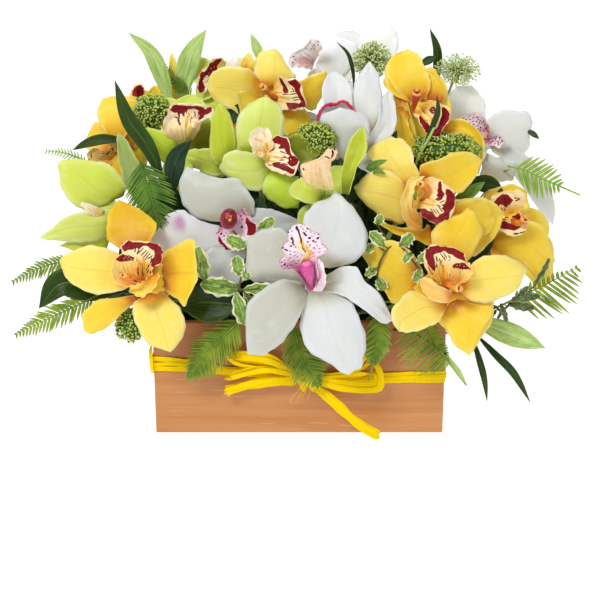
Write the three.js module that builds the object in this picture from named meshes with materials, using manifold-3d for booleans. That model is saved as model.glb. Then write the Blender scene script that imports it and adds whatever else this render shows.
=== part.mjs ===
// Florist's arrangement of cymbidium orchids in a rectangular wooden box.
// Millimetres, +Z up, +X to the viewer's right, +Y away from the viewer.
// Origin: centre of the underside of the box.
//
// Every bloom grew as one piece (five tepals, a cupped three-lobed lip, a column and its
// pedicel), so it is one solid. Fronds, leaf sprigs and bud clusters are one solid each.
// The stalks run down into the block of floral foam that fills the box.
import * as THREE from 'three';
import { mergeVertices } from 'three/addons/utils/BufferGeometryUtils.js';
import Module from 'manifold-3d';

const wasm = await Module();
wasm.setup();

// ---------------------------------------------------------------- driving dimensions
const BOX_W = 240;          // outer width of the box, X
const BOX_D = 150;          // outer depth of the box, Y
const BOX_H = 97;           // height of the box
const BOARD = 8;            // board thickness
const FOAM_TOP = 90;        // top of the foam, below the rim
const GAP = 0.3;            // clearance between neighbouring pieces
const CLEAR = 1.1;          // clearance between petals, leaves and stalks
const PETAL_T = 1.5;        // thickness of a tepal and of a lip
const LEAF_T = 1.1;         // thickness of a leaf blade
const FROND_T = 0.9;        // thickness of a frond's leaflets
const STEM_R = 2.0;         // radius of a pedicel
const COLUMN_R = 3.1;       // radius of the column in a bloom's centre
const COLUMN_L = 15;        // length of the column
const RAFFIA_T = 1.5;       // thickness of the raffia band
const RAFFIA_W = 12;        // height of the raffia band
const TAIL_W = 8;           // width of a loose raffia end
const VIEW = new THREE.Vector3(0, -0.956, 0.292);   // towards the front of the arrangement

const COLOR = {
  wood: 0xc88c5f, woodSide: 0xb97c50, foam: 0x3f6b3a, raffia: 0xf5cd10,
  Y: 0xf6cf4a, G: 0xb9cf3f, W: 0xeceae4,
  dark: 0x1d4027, blue: 0x17362f, light: 0x7fa85c, fern: 0x4f8a3c, bud: 0x7fa544, sprig: 0x6f9c4a,
};

// Blooms: o is the centre, n the way it faces, ld the side that its lip points to; tepals by tip and width;
// stem is the pedicel's route down into the foam.
const BLOOMS = [
  { name: 'yellow_front_left', kind: 'Y', o: [-110.6, -98, 136.7], n: [-0.364, -0.859, 0.36], ld: [-0.224, 0.456, 0.861], tepals: [{ tip: [-142.1, -68.8, 197.9], w: 42 }, { tip: [-190.3, -85.2, 151.1], w: 40, bow: 9 }, { tip: [-171.6, -103.1, 99.3], w: 27 }, { tip: [-101.6, -110.1, 83.3], w: 42, bow: 8 }, { tip: [-77.3, -114.6, 157.6], w: 46, cup: [0.7, 0.9] }], lip: {  }, stem: [[-110.6, -98, 136.7], [-104.8, -84.3, 130.9], [-47, -57.8, 92], [-45.6, -53.7, 58]] },
  { name: 'yellow_front_right', kind: 'Y', o: [113.5, -98, 132.5], n: [0.024, -0.989, 0.148], ld: [-0.258, 0.137, 0.957], tepals: [{ tip: [138.9, -67.3, 191.8], w: 44 }, { tip: [49, -86, 151.4], w: 46 }, { tip: [78.8, -125.2, 105], w: 40, cup: [0.8, 0.9] }, { tip: [143.3, -109.9, 79.8], w: 44 }, { tip: [182.2, -92.7, 149.9], w: 42, bow: 8 }], lip: {  }, stem: [[113.5, -98, 132.5], [113.1, -82.2, 130.2], [56.7, -53.9, 92], [55, -50.1, 58]] },
  { name: 'yellow_mid_right', kind: 'Y', o: [90.7, -58, 198], n: [0.167, -0.911, 0.377], ld: [0.891, -0.025, -0.454], tepals: [{ tip: [44, -55.6, 205.7], w: 42 }, { tip: [56, -33.4, 237.5], w: 38 }, { tip: [146.4, -41.9, 230], w: 40 }, { tip: [67.8, -59.7, 171.9], w: 22 }, { tip: [167.3, -43.4, 177.2], w: 32 }], lip: {  }, stem: [[90.7, -58, 198], [88.1, -43.4, 191.9], [45.4, -31.9, 92], [44, -29.7, 58]] },
  { name: 'yellow_right', kind: 'Y', o: [161.3, -30, 155.2], n: [0.438, -0.662, 0.608], ld: [0.232, 0.737, 0.635], tepals: [{ tip: [214, -34, 128.5], w: 50, side: -6 }, { tip: [181.9, -8.2, 199.2], w: 40 }, { tip: [127.3, -11.6, 181], w: 30 }, { tip: [173.2, -38, 108.6], w: 32 }, { tip: [212.2, -6.1, 165], w: 34 }], lip: { L: 40 }, stem: [[161.3, -30, 155.2], [154.3, -19.4, 145.5], [80.6, -16.5, 92], [78.2, -15.3, 58]] },
  { name: 'yellow_top_right', kind: 'Y', o: [97, -12, 267.8], n: [0.161, -0.926, 0.342], ld: [0.675, -0.15, -0.723], tepals: [{ tip: [89.3, 6.6, 308.2], w: 36 }, { tip: [123.8, 4.4, 287.1], w: 30 }, { tip: [72, 2.3, 287.4], w: 24 }, { tip: [93.4, -20, 221], w: 22, side: -5 }, { tip: [149.8, -20.5, 219.4], w: 34, side: 12 }], lip: { L: 40 }, stem: [[97, -12, 267.8], [94.4, 2.8, 262.4], [48.5, -6.6, 92], [47, -6.1, 58]] },
  { name: 'yellow_top_left', kind: 'Y', o: [-26.3, 8, 270.1], n: [0.156, -0.874, 0.461], ld: [0.984, 0.178, 0.005], tepals: [{ tip: [-23.1, 26.1, 308.8], w: 38 }, { tip: [-74.4, 15, 279.2], w: 36 }, { tip: [25.3, 28.8, 283.4], w: 34 }, { tip: [9, 2.2, 237.3], w: 30 }, { tip: [-51.6, 5.1, 253.7], w: 30 }], lip: { L: 40 }, stem: [[-26.3, 8, 270.1], [-28.8, 22, 262.7], [-13.1, 4.4, 92], [-12.7, 4.1, 58]] },
  { name: 'yellow_left_back', kind: 'Y', o: [-153.4, -8, 227.2], n: [-0.571, -0.716, 0.402], ld: [-0.812, 0.418, -0.408], tepals: [{ tip: [-168.3, 9.2, 269.9], w: 38 }, { tip: [-134.3, 19, 267.8], w: 36 }, { tip: [-156.8, -16.3, 200], w: 26 }, { tip: [-176.9, 6.9, 241.6], w: 26 }, { tip: [-128.4, 3.4, 216.7], w: 28 }], lip: { L: 32 }, stem: [[-153.4, -8, 227.2], [-144.3, 3.5, 220.8], [-76.7, -4.4, 92], [-74.4, -4.1, 58]] },
  { name: 'yellow_far_left', kind: 'Y', o: [-122.8, 45, 265.1], n: [-0.336, -0.719, 0.608], ld: [-0.898, 0.439, 0.023], tepals: [{ tip: [-111.3, 61, 296.9], w: 22 }, { tip: [-139.8, 61.7, 285.6], w: 22 }, { tip: [-103.7, 43, 258.5], w: 24 }, { tip: [-129.8, 38.4, 243.5], w: 24 }, { tip: [-149.8, 46.9, 251], w: 24 }], lip: { L: 30, W: 28 }, stem: [[-122.8, 45, 265.1], [-117.5, 56.5, 255.4], [-61.4, 24.8, 92], [-59.6, 23, 58]] },
  { name: 'lime_top_left', kind: 'G', o: [-63.2, 38, 272.9], n: [-0.471, -0.711, 0.522], ld: [-0.731, 0.646, 0.221], tepals: [{ tip: [-96.1, 46.3, 293.3], w: 24 }, { tip: [-73.3, 26.4, 248.8], w: 26 }, { tip: [-53.4, 55.2, 295], w: 26 }, { tip: [-89.4, 40, 265.8], w: 26 }, { tip: [-38.5, 44, 265.3], w: 26 }], lip: { L: 34, W: 30 }, stem: [[-63.2, 38, 272.9], [-55.7, 49.4, 264.6], [-31.6, 20.9, 92], [-30.7, 19.4, 58]] },
  { name: 'lime_left', kind: 'G', o: [-153.3, -40, 181.5], n: [-0.627, -0.713, 0.314], ld: [-0.777, 0.541, -0.322], tepals: [{ tip: [-199.8, -23, 216.5], w: 48 }, { tip: [-215.5, -44.3, 160.5], w: 36 }, { tip: [-150.6, -16.5, 244.6], w: 24, side: 4 }, { tip: [-196.9, -40.4, 152.7], w: 22 }, { tip: [-132.9, -34.6, 151.2], w: 28 }], lip: { L: 24, W: 20 }, stem: [[-153.3, -40, 181.5], [-143.3, -28.6, 176.4], [-76.7, -22, 92], [-74.4, -20.5, 58]] },
  { name: 'lime_upper_left', kind: 'G', o: [-94.2, -15, 226.8], n: [0.085, -0.76, 0.644], ld: [0.163, 0.648, 0.744], tepals: [{ tip: [-131.9, -7.9, 243.2], w: 34 }, { tip: [-80, 9.6, 273.2], w: 34 }, { tip: [-62.5, -21.8, 211.3], w: 26 }, { tip: [-117, 8.2, 268.4], w: 28 }, { tip: [-105.3, -30.1, 197.8], w: 26 }], lip: {  }, stem: [[-94.2, -15, 226.8], [-95.6, -2.8, 216.5], [-47.1, -8.3, 92], [-45.7, -7.7, 58]] },
  { name: 'lime_centre', kind: 'G', o: [-31.6, -50, 231.4], n: [0.232, -0.877, 0.421], ld: [0.964, 0.151, -0.218], tepals: [{ tip: [-27.7, -31.1, 272.9], w: 46 }, { tip: [-65.8, -29.8, 270.3], w: 24, side: 4 }, { tip: [-61.8, -58.2, 218.4], w: 38 }, { tip: [3.8, -68.6, 191.3], w: 42 }, { tip: [19.2, -41.1, 233.1], w: 28 }], lip: { L: 40 }, stem: [[-31.6, -50, 231.4], [-35.3, -36, 224.7], [-15.8, -27.5, 92], [-15.3, -25.6, 58]] },
  { name: 'lime_centre_right', kind: 'G', o: [20.4, -72, 196.1], n: [-0.094, -0.732, 0.674], ld: [-0.108, 0.681, 0.724], tepals: [{ tip: [53.7, -41.7, 254.3], w: 24, side: 6 }, { tip: [-7.4, -68.1, 209], w: 26 }, { tip: [41, -46.1, 219.3], w: 24 }, { tip: [42, -77.7, 170.6], w: 26 }, { tip: [5.4, -75.8, 170.1], w: 26 }], lip: { L: 40, W: 36 }, stem: [[20.4, -72, 196.1], [21.9, -60.3, 185.3], [10.2, -39.6, 92], [9.9, -36.8, 58]] },
  { name: 'white_front', kind: 'W', o: [6.8, -108, 131.4], n: [-0.006, -0.975, 0.22], ld: [-0.07, 0.22, 0.973], tepals: [{ tip: [28.3, -72.2, 207.5], w: 56 }, { tip: [-41.8, -92.2, 169.3], w: 54 }, { tip: [-32.2, -124.3, 85], w: 46, bow: 8 }, { tip: [38.9, -126.5, 70.8], w: 54, bow: 8 }, { tip: [77.5, -112, 104.7], w: 30, side: 4 }], lip: { L: 54, W: 44 }, stem: [[6.8, -108, 131.4], [6.9, -92.4, 127.9], [3.4, -56, 92], [3.3, -52.1, 58]] },
  { name: 'white_mid_left', kind: 'W', o: [-54.5, -72, 179], n: [-0.149, -0.891, 0.428], ld: [0.55, -0.434, -0.713], tepals: [{ tip: [-68.8, -47.6, 224.5], w: 60 }, { tip: [-118.7, -72.9, 169.3], w: 36 }, { tip: [-58.5, -86.5, 131.6], w: 40 }, { tip: [-10.7, -59.8, 177.7], w: 34 }, { tip: [-30.3, -45.4, 204.3], w: 34 }], lip: {  }, stem: [[-54.5, -72, 179], [-52.2, -57.7, 172.1], [-27.3, -39.6, 92], [-26.5, -36.8, 58]] },
  { name: 'white_centre_back', kind: 'W', o: [43.9, -34, 223.6], n: [-0.024, -0.3, 0.954], ld: [-0.148, 0.945, 0.293], tepals: [{ tip: [59, -4, 301.2], w: 34 }, { tip: [30.2, -4.2, 293.9], w: 30 }, { tip: [78.4, -15.7, 276.5], w: 24 }, { tip: [27, -43.6, 267.4], w: 46, cup: [0.8, 0.9] }, { tip: [66.6, -53.6, 214.2], w: 30 }], lip: { L: 46, W: 42 }, stem: [[43.9, -34, 223.6], [44.3, -29.2, 208.3], [22, -18.7, 92], [21.3, -17.4, 58]] },
  { name: 'white_right_back', kind: 'W', o: [164, 28, 227.8], n: [0.258, -0.829, 0.496], ld: [-0.652, 0.23, 0.723], tepals: [{ tip: [140.8, 50.2, 273.1], w: 38 }, { tip: [201.5, 41.3, 250.9], w: 46 }, { tip: [180.8, 17.8, 187.7], w: 40 }, { tip: [221.4, 20.9, 156.7], w: 26, side: 6 }, { tip: [136, 27.4, 212.2], w: 28 }], lip: { L: 38 }, stem: [[164, 28, 227.8], [159.9, 41.3, 219.9], [82, 15.4, 92], [79.5, 14.3, 58]] },
  { name: 'white_top_back', kind: 'W', o: [32.1, 58, 273.9], n: [-0.255, -0.782, 0.569], ld: [-0.736, 0.538, 0.41], tepals: [{ tip: [18.2, 76.9, 315.3], w: 40 }, { tip: [73.2, 82.1, 318.4], w: 38 }, { tip: [4.1, 58, 266.9], w: 30 }, { tip: [60.3, 52.8, 250.1], w: 30 }, { tip: [46.8, 86.1, 318], w: 30 }], lip: { L: 38 }, stem: [[32.1, 58, 273.9], [36.2, 70.5, 264.8], [16.1, 31.9, 92], [15.6, 29.7, 58]] },
  { name: 'yellow_back', kind: 'Y', o: [-78, 72, 160], n: [-0.322, 0.919, 0.23], ld: [-0.206, 0.169, -0.964], tepals: [{ tip: [-65.6, 59.2, 211.1], w: 37.4, bow: 7 }, { tip: [-117.6, 46.5, 184.6], w: 35.3, bow: 7 }, { tip: [-27, 81.6, 171.3], w: 35.3, bow: 7 }, { tip: [-121.8, 66.8, 136.7], w: 33.2, bow: 7 }, { tip: [-49.4, 94.8, 126.1], w: 33.2, bow: 7 }], lip: {  }, stem: [[-78, 72, 160], [-72.9, 57.3, 156.3], [-39, 39.6, 92], [-37.8, 36.8, 58]] },
  { name: 'white_back', kind: 'W', o: [6, 86, 198], n: [0.019, 0.958, 0.287], ld: [0.11, 0.284, -0.953], tepals: [{ tip: [-0.2, 66.3, 250.2], w: 38.8, bow: 7 }, { tip: [-46.9, 77.9, 211.1], w: 36.6, bow: 7 }, { tip: [54.2, 72.8, 221.2], w: 36.6, bow: 7 }, { tip: [-30.8, 100.9, 164.9], w: 34.5, bow: 7 }, { tip: [49.9, 96.8, 173], w: 34.5, bow: 7 }], lip: {  }, stem: [[6, 86, 198], [5.7, 70.7, 193.4], [3, 47.3, 92], [2.9, 44, 58]] },
  { name: 'lime_back', kind: 'G', o: [88, 70, 158], n: [0.348, 0.916, 0.201], ld: [-0.01, 0.219, -0.976], tepals: [{ tip: [87.2, 54.5, 209.9], w: 37.4, bow: 7 }, { tip: [40.5, 77.6, 180.5], w: 35.3, bow: 7 }, { tip: [132.5, 44.5, 172.1], w: 35.3, bow: 7 }, { tip: [52.4, 93.6, 132.3], w: 33.2, bow: 7 }, { tip: [125.8, 67.1, 125.6], w: 33.2, bow: 7 }], lip: {  }, stem: [[88, 70, 158], [82.4, 55.4, 154.8], [44, 38.5, 92], [42.7, 35.8, 58]] },
];
// Leaf sprigs: one or more blades on a stalk.
const LEAVES = [
  { name: 'ruscus_left', blades: [{ tone: 'dark', w: 14, path: [[-108.6, -58, 207], [-119.6, -52, 235], [-137, -46, 259.8], [-147, -40, 288.4]] }, { tone: 'dark', w: 9, path: [[-141.4, -20, 236.8], [-160, -22, 238.8], [-173.8, -24, 235.9], [-186.5, -24, 230.1]] }], stem: [[-108.6, -58, 207], [-102.9, -61.1, 192.3], [-49.4, -36.7, 92], [-47.9, -34.1, 58]] },
  { name: 'ruscus_left_light', blades: [{ tone: 'light', w: 14, path: [[-108.5, 20, 254.9], [-115.7, 24, 281.5], [-125.5, 20, 305.3], [-141.7, 14, 321.4]] }, { tone: 'light', w: 19, path: [[-103, 34, 256.3], [-99, 36, 280], [-90.5, 34, 303.9], [-78.8, 30, 322.6]] }], stem: [[-108.5, 20, 254.9], [-104.3, 17.7, 239.6], [-54.3, 11, 92], [-52.6, 10.2, 58]] },
  { name: 'ruscus_centre_left', blades: [{ tone: 'blue', w: 16, path: [[-102.5, -58, 198.8], [-101, -60, 215.5], [-96.3, -62, 232], [-84.9, -62, 244.8]] }], stem: [[-102.5, -58, 198.8], [-103.9, -56.1, 182.9], [-51.2, -31.9, 92], [-49.7, -29.7, 58]] },
  { name: 'ruscus_top_right', blades: [{ tone: 'dark', w: 8, path: [[118.1, 48, 268.2], [119.5, 50, 285.2], [118.7, 48, 304.2], [111.7, 44, 322.3]] }], stem: [[118.1, 48, 268.2], [116.8, 46.1, 252.4], [59.1, 26.4, 92], [57.3, 24.6, 58]] },
  { name: 'ruscus_top_thin', blades: [{ tone: 'dark', w: 7, path: [[48.7, 34, 266.6], [45.1, 34, 280.3], [41.4, 32, 297.4], [31, 30, 311.8]] }], stem: [[48.7, 34, 266.6], [52.8, 34, 251.1], [24.4, 18.7, 92], [23.6, 17.4, 58]] },
  { name: 'ruscus_bottom_left', blades: [{ tone: 'dark', w: 24, path: [[-145.6, -72, 122.3], [-165.2, -76, 125.2], [-190.7, -80, 132.2], [-209.6, -84, 112.4]] }], stem: [[-145.6, -72, 122.3], [-130.1, -68.8, 120], [-81, -40.9, 92], [-78.5, -38, 58]] },
  { name: 'ruscus_front_left', blades: [{ tone: 'dark', w: 32, path: [[-98.9, -86, 117.3], [-82.6, -90, 116], [-64.9, -92, 115.8], [-45.7, -94, 114.7]] }], stem: [[-98.9, -86, 117.3], [-114.4, -82.2, 118.5], [-49.5, -47.3, 92], [-48, -44, 58]] },
  { name: 'ruscus_mid_right', blades: [{ tone: 'light', w: 6, path: [[96.1, -30, 212.9], [101.9, -32, 233.1], [110.6, -36, 253.4], [110.5, -38, 276.2]] }, { tone: 'dark', w: 15, path: [[138.7, -22, 201.2], [148.4, -24, 202.4], [158.4, -24, 200.8], [169.5, -24, 195.7]] }], stem: [[96.1, -30, 212.9], [91.7, -28.5, 197.6], [48, -16.5, 92], [46.6, -15.3, 58]] },
  { name: 'ruscus_low_right', blades: [{ tone: 'light', w: 22, path: [[139.8, -70, 99.5], [159.7, -76, 92.8], [180.2, -78, 84.9], [201.1, -78, 76.3]] }, { tone: 'dark', w: 9, path: [[143.6, -70, 87.4], [160.9, -80, 70.9], [175.8, -84, 55.8], [190.2, -84, 31.2]] }, { tone: 'dark', w: 8, path: [[139.2, -78, 90.1], [144.7, -84, 74.9], [150.7, -88, 53.8], [154.1, -88, 33.7]] }], stem: [[139.8, -70, 99.5], [137.7, -79, 112], [97.9, -64, 111], [69.9, -38.5, 92], [67.8, -35.8, 58]] },
  { name: 'ruscus_back', blades: [{ tone: 'dark', w: 22, path: [[-20, 60, 112], [-30, 74, 150], [-38, 80, 190], [-44, 78, 236]] }, { tone: 'light', w: 22, path: [[-27, 68, 134], [-10, 92, 140], [8, 104, 138], [30, 112, 128]] }, { tone: 'dark', w: 22, path: [[-27, 68, 134], [-44, 92, 128], [-56, 108, 112], [-64, 118, 88]] }, { tone: 'light', w: 20, path: [[-22, 62, 118], [-14, 90, 112], [-8, 108, 96], [-6, 118, 70]] }, { tone: 'dark', w: 20, path: [[-22, 62, 118], [24, 84, 116], [48, 104, 106], [62, 118, 84]] }, { tone: 'light', w: 20, path: [[-36, 79, 180], [-62, 90, 200], [-84, 94, 216], [-104, 92, 228]] }, { tone: 'dark', w: 18, path: [[36, 96, 112], [76, 104, 112], [100, 98, 116], [122, 90, 118]] }], stem: [[-20, 60, 112], [-17.5, 56.5, 102.4], [-10, 33, 92], [-9.7, 30.7, 58]] },
];
// Fern fronds: path of the midrib, number of leaflet pairs, leaflet lengths on the two sides.
const FERNS = [
  { name: 'fern_left_upper', path: [[-175.4, -62, 144.8], [-192.5, -66, 145.9], [-209.9, -70, 140.3], [-231.3, -72, 129.1]], n: 13, len: 14, d0: 9, d1: 9, stem: [[-175.4, -62, 144.8], [-167.6, -60.2, 144.3], [-132, -56.4, 123.1], [-104, -45.3, 108], [-87.7, -34.1, 92], [-85.1, -31.7, 58]] },
  { name: 'fern_left_lower', path: [[-152.7, -78, 125.8], [-173.1, -84, 116.7], [-198.9, -88, 103.6], [-228.8, -88, 90]], n: 14, len: 22, d0: 17, d1: 13, stem: [[-152.7, -78, 125.8], [-138.6, -73.9, 132.1], [-76.4, -42.9, 92], [-74.1, -39.9, 58]] },
  { name: 'fern_centre_left', path: [[-93.4, -62, 220.7], [-104.2, -68, 213.9], [-118.4, -72, 203.4], [-136.3, -72, 192.9]], n: 15, len: 26, d0: 12, d1: 34, stem: [[-93.4, -62, 220.7], [-81.2, -55.2, 228.5], [-46.7, -34.1, 92], [-45.3, -31.7, 58]] },
  { name: 'fern_right_upper', path: [[171.7, 10, 206.8], [186.9, 8, 205.4], [205.6, 6, 200.6], [239.8, 2, 186.7]], n: 12, len: 17, d0: 18, d1: 13, stem: [[171.7, 10, 206.8], [155.9, 12.1, 208.2], [85.9, 5.5, 92], [83.3, 5.1, 58]] },
  { name: 'fern_right_lower', path: [[173, -40, 105.7], [192.4, -46, 114.5], [211.6, -50, 129.6], [233, -52, 137]], n: 13, len: 26, d0: 14, d1: 34, stem: [[173, -40, 105.7], [166, -37.8, 102.6], [132, -36.4, 116], [104, -29.2, 108], [86.5, -22, 92], [83.9, -20.5, 58]] },
  { name: 'fern_front_left', path: [[-44.6, -86, 102.9], [-54.2, -92, 88], [-68.8, -94, 73.3], [-84, -92, 53.6]], n: 14, len: 22, d0: 20, d1: 20, stem: [[-44.6, -86, 102.9], [-43.9, -79, 112], [-31.2, -64, 111], [-22.3, -47.3, 92], [-21.6, -44, 58]] },
  { name: 'fern_front_centre', path: [[-14, -86, 92.7], [-5.9, -90, 78.7], [3.8, -92, 65.7], [19.3, -92, 47.5]], n: 14, len: 22, d0: 19, d1: 19, stem: [[-14, -86, 92.7], [-13.8, -79, 112], [-9.8, -64, 111], [-7, -47.3, 92], [-6.8, -44, 58]] },
  { name: 'fern_front_right', path: [[61.8, -86, 104.6], [63.5, -90, 89], [60.5, -90, 71.9], [56.1, -88, 50.4]], n: 12, len: 18, d0: 14, d1: 12, stem: [[61.8, -86, 104.6], [60.2, -82.1, 120.1], [60.7, -76, 112], [39.1, -64, 111], [24, -46, 92], [23.3, -42.7, 58]] },
  { name: 'fern_front_far_right', path: [[95.5, -88, 101.9], [106.9, -92, 86.3], [118.5, -94, 69.9], [135.7, -92, 48.4]], n: 14, len: 20, d0: 34, d1: 20, stem: [[95.5, -88, 101.9], [94.1, -79, 112], [66.9, -64, 111], [47.8, -48.4, 92], [46.3, -45, 58]] },
  { name: 'fern_back', path: [[20, 74, 100], [24, 96, 104], [30, 112, 88], [34, 120, 58]], n: 14, len: 26, d0: 20, d1: 20, stem: [[20, 74, 100], [20, 74, 112], [15, 62, 108], [10, 40.7, 92], [9.7, 37.9, 58]] },
];
// Dense clusters of small green buds.
const BUDS = [
  { name: 'buds_left', c: [-121.9, -10, 259.3], rx: 17, rz: 15, stem: [[-121.9, -10, 259.3], [-61, -5.5, 92], [-59.1, -5.1, 58]] },
  { name: 'buds_centre', c: [13.5, -42, 242.2], rx: 17, rz: 14, stem: [[13.5, -42, 242.2], [6.7, -23.1, 92], [6.5, -21.5, 58]] },
  { name: 'buds_top', c: [62.7, 46, 295.9], rx: 17, rz: 16, stem: [[62.7, 46, 295.9], [31.3, 25.3, 92], [30.4, 23.5, 58]] },
  { name: 'buds_right', c: [120.6, -26, 230.4], rx: 30, rz: 14, stem: [[120.6, -26, 230.4], [60.3, -14.3, 92], [58.5, -13.3, 58]] },
  { name: 'buds_top_right', c: [135.1, 36, 288.5], rx: 21, rz: 14, stem: [[135.1, 36, 288.5], [67.5, 19.8, 92], [65.5, 18.4, 58]] },
  { name: 'buds_low_left', c: [-135, -86, 98.7], rx: 14, rz: 14, stem: [[-135, -86, 98.7], [-133, -79, 112], [-94.5, -64, 111], [-67.5, -47.3, 92], [-65.5, -44, 58]] },
];
// Variegated sprigs: small cream-edged leaves on a woody stem.
const SPRIGS = [
  { name: 'pittosporum_left', path: [[-48.2, -104, 128.6], [-46.4, -104, 140], [-44, -102, 150.9], [-41.7, -100, 158.4]], leaves: [{ a: [-46.8, -98, 131.7], t: [-78, -101, 137.5], w: 16 }, { a: [-49.6, -106, 132.5], t: [-42, -109, 105.4], w: 13 }, { a: [-43.8, -112, 135.9], t: [-17.3, -115, 139.2], w: 10 }, { a: [-43.2, -108, 133.1], t: [-35.4, -111, 123.3], w: 9 }, { a: [-46.4, -102, 146], t: [-49.2, -105, 161.4], w: 13 }, { a: [-74.4, -96, 139.4], t: [-80.6, -99, 167.8], w: 15 }, { a: [-41.3, -104, 169.1], t: [-56.6, -107, 176.3], w: 12 }, { a: [-32.1, -100, 179.3], t: [-19.5, -103, 191.2], w: 11 }, { a: [-41.6, -104, 151.4], t: [-40.8, -107, 142.5], w: 9 }], stem: [[-48.2, -104, 128.6], [-50.6, -104, 112.8], [-13.6, -43.7, 92], [-13.2, -40.6, 58]] },
  { name: 'pittosporum_right', path: [[61, -92, 128.3], [63.5, -96, 154.1], [77.1, -98, 168.4], [100, -112, 142.4]], leaves: [{ a: [66.3, -96, 167.1], t: [55, -99, 179.1], w: 11 }, { a: [61.6, -92, 182.2], t: [62.8, -95, 192.5], w: 9 }, { a: [78.5, -100, 168.1], t: [87.4, -103, 178.5], w: 12 }, { a: [87.6, -104, 164.3], t: [81.4, -107, 157.1], w: 9 }, { a: [91.9, -110, 157.9], t: [100.7, -113, 166.7], w: 9 }, { a: [60.5, -94, 148.6], t: [52.6, -97, 142.9], w: 9 }, { a: [62.1, -96, 141], t: [66.8, -99, 132], w: 10 }, { a: [93.9, -108, 150.9], t: [89.2, -111, 142.1], w: 8 }, { a: [58.7, -92, 167.7], t: [52.4, -95, 161.9], w: 8 }], stem: [[61, -92, 128.3], [59.5, -89.6, 112.5], [30.5, -50.6, 92], [29.6, -47.1, 58]] },
  { name: 'pittosporum_low_right', path: [[161.8, -76, 101.4], [168.3, -82, 113.5], [177, -86, 119.8], [188.7, -88, 133.7]], leaves: [{ a: [169.9, -90, 121], t: [191.4, -93, 125.3], w: 13 }, { a: [167.2, -88, 117.1], t: [187.6, -91, 114.6], w: 12 }, { a: [188.3, -90, 134.3], t: [196.7, -93, 156.5], w: 9 }, { a: [161.1, -86, 116.4], t: [167, -89, 102.2], w: 8 }, { a: [158.8, -82, 110.1], t: [152.2, -85, 102.6], w: 8 }, { a: [174.6, -90, 122.7], t: [181.4, -93, 133.5], w: 9 }], stem: [[161.8, -76, 101.4], [159.3, -79, 112], [113.2, -64, 111], [80.9, -41.8, 92], [78.5, -38.9, 58]] },
];
// ---------------------------------------------------------------- small helpers
const V = (a) => new THREE.Vector3(a[0], a[1], a[2]);

// Straight-sided closed geometry -> solid for cutting and joining.
function solidOf(geometry) {
  let g = geometry.clone();
  for (const k of Object.keys(g.attributes)) if (k !== 'position') g.deleteAttribute(k);
  g = mergeVertices(g, 1e-4);
  const p = g.attributes.position.array;
  const idx = Array.from(g.index.array);
  const tri = [];
  let vol = 0;
  for (let i = 0; i < idx.length; i += 3) {
    const [a, b, c] = [idx[i], idx[i + 1], idx[i + 2]];
    if (a === b || b === c || a === c) continue;
    tri.push(a, b, c);
    const A = V(p.slice(3 * a, 3 * a + 3)), B = V(p.slice(3 * b, 3 * b + 3)), C = V(p.slice(3 * c, 3 * c + 3));
    vol += A.dot(B.cross(C));
  }
  if (vol < 0) for (let i = 0; i < tri.length; i += 3) [tri[i + 1], tri[i + 2]] = [tri[i + 2], tri[i + 1]];
  return new wasm.Manifold(new wasm.Mesh({
    numProp: 3, vertProperties: new Float32Array(p), triVerts: new Uint32Array(tri),
  }));
}

// A slab of nv by nu cells whose points are placed by f(u, v, side): u 0..1 along, v -1..1
// across, side -1 or +1 for the two faces.
function slab(nu, nv, f) {
  const g = mergeVertices(stripped(new THREE.BoxGeometry(2, 1, 1, nv, nu, 1)), 1e-5);
  const pos = g.attributes.position;
  for (let i = 0; i < pos.count; i++) {
    const q = f(pos.getY(i) + 0.5, pos.getX(i), pos.getZ(i) * 2);
    pos.setXYZ(i, q.x, q.y, q.z);
  }
  return solidOf(g);
}
function stripped(g) {
  for (const k of Object.keys(g.attributes)) if (k !== 'position') g.deleteAttribute(k);
  return g;
}

// Round rod along points, closed at both ends: a cylinder whose rings are moved to the route.
function rod(points, r, sides = 5, steps = null) {
  let pts = points;
  if (steps && points.length > 2) {
    const cv = new THREE.CatmullRomCurve3(points.map((p) => p.clone()), false, 'centripetal');
    pts = Array.from({ length: steps + 1 }, (_, i) => cv.getPoint(i / steps));
  }
  const n = pts.length - 1, frames = [];
  let side = new THREE.Vector3(0.37, 0.81, 0.45);
  for (let i = 0; i <= n; i++) {
    const t = new THREE.Vector3();
    if (i > 0) t.add(pts[i].clone().sub(pts[i - 1]).normalize());
    if (i < n) t.add(pts[i + 1].clone().sub(pts[i]).normalize());
    t.normalize();
    side = side.clone().addScaledVector(t, -side.dot(t)).normalize();
    frames.push({ a: side, b: t.clone().cross(side) });
  }
  const g = mergeVertices(stripped(new THREE.CylinderGeometry(1, 1, n, sides, n)), 1e-5);
  const pos = g.attributes.position;
  for (let i = 0; i < pos.count; i++) {
    const k = Math.min(n, Math.max(0, Math.round(n / 2 - pos.getY(i)))), f = frames[k];
    const q = pts[k].clone().addScaledVector(f.a, pos.getX(i) * r).addScaledVector(f.b, pos.getZ(i) * r);
    pos.setXYZ(i, q.x, q.y, q.z);
  }
  return solidOf(g);
}

// Frame along a path: point, tangent and the face normal nearest to n0.
function along(points, n0) {
  const curve = new THREE.CatmullRomCurve3(points.map((p) => p.clone()), false, 'centripetal');
  return (u) => {
    const c = curve.getPoint(u), t = curve.getTangent(u).normalize();
    const n = n0.clone().addScaledVector(t, -n0.dot(t)).normalize();
    return { c, t, n, b: t.clone().cross(n) };
  };
}

const union = (list) => list.reduce((a, b) => a.add(b));
const lighter = (s, t = 0.7) => s.asOriginal().simplify(t);

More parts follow.
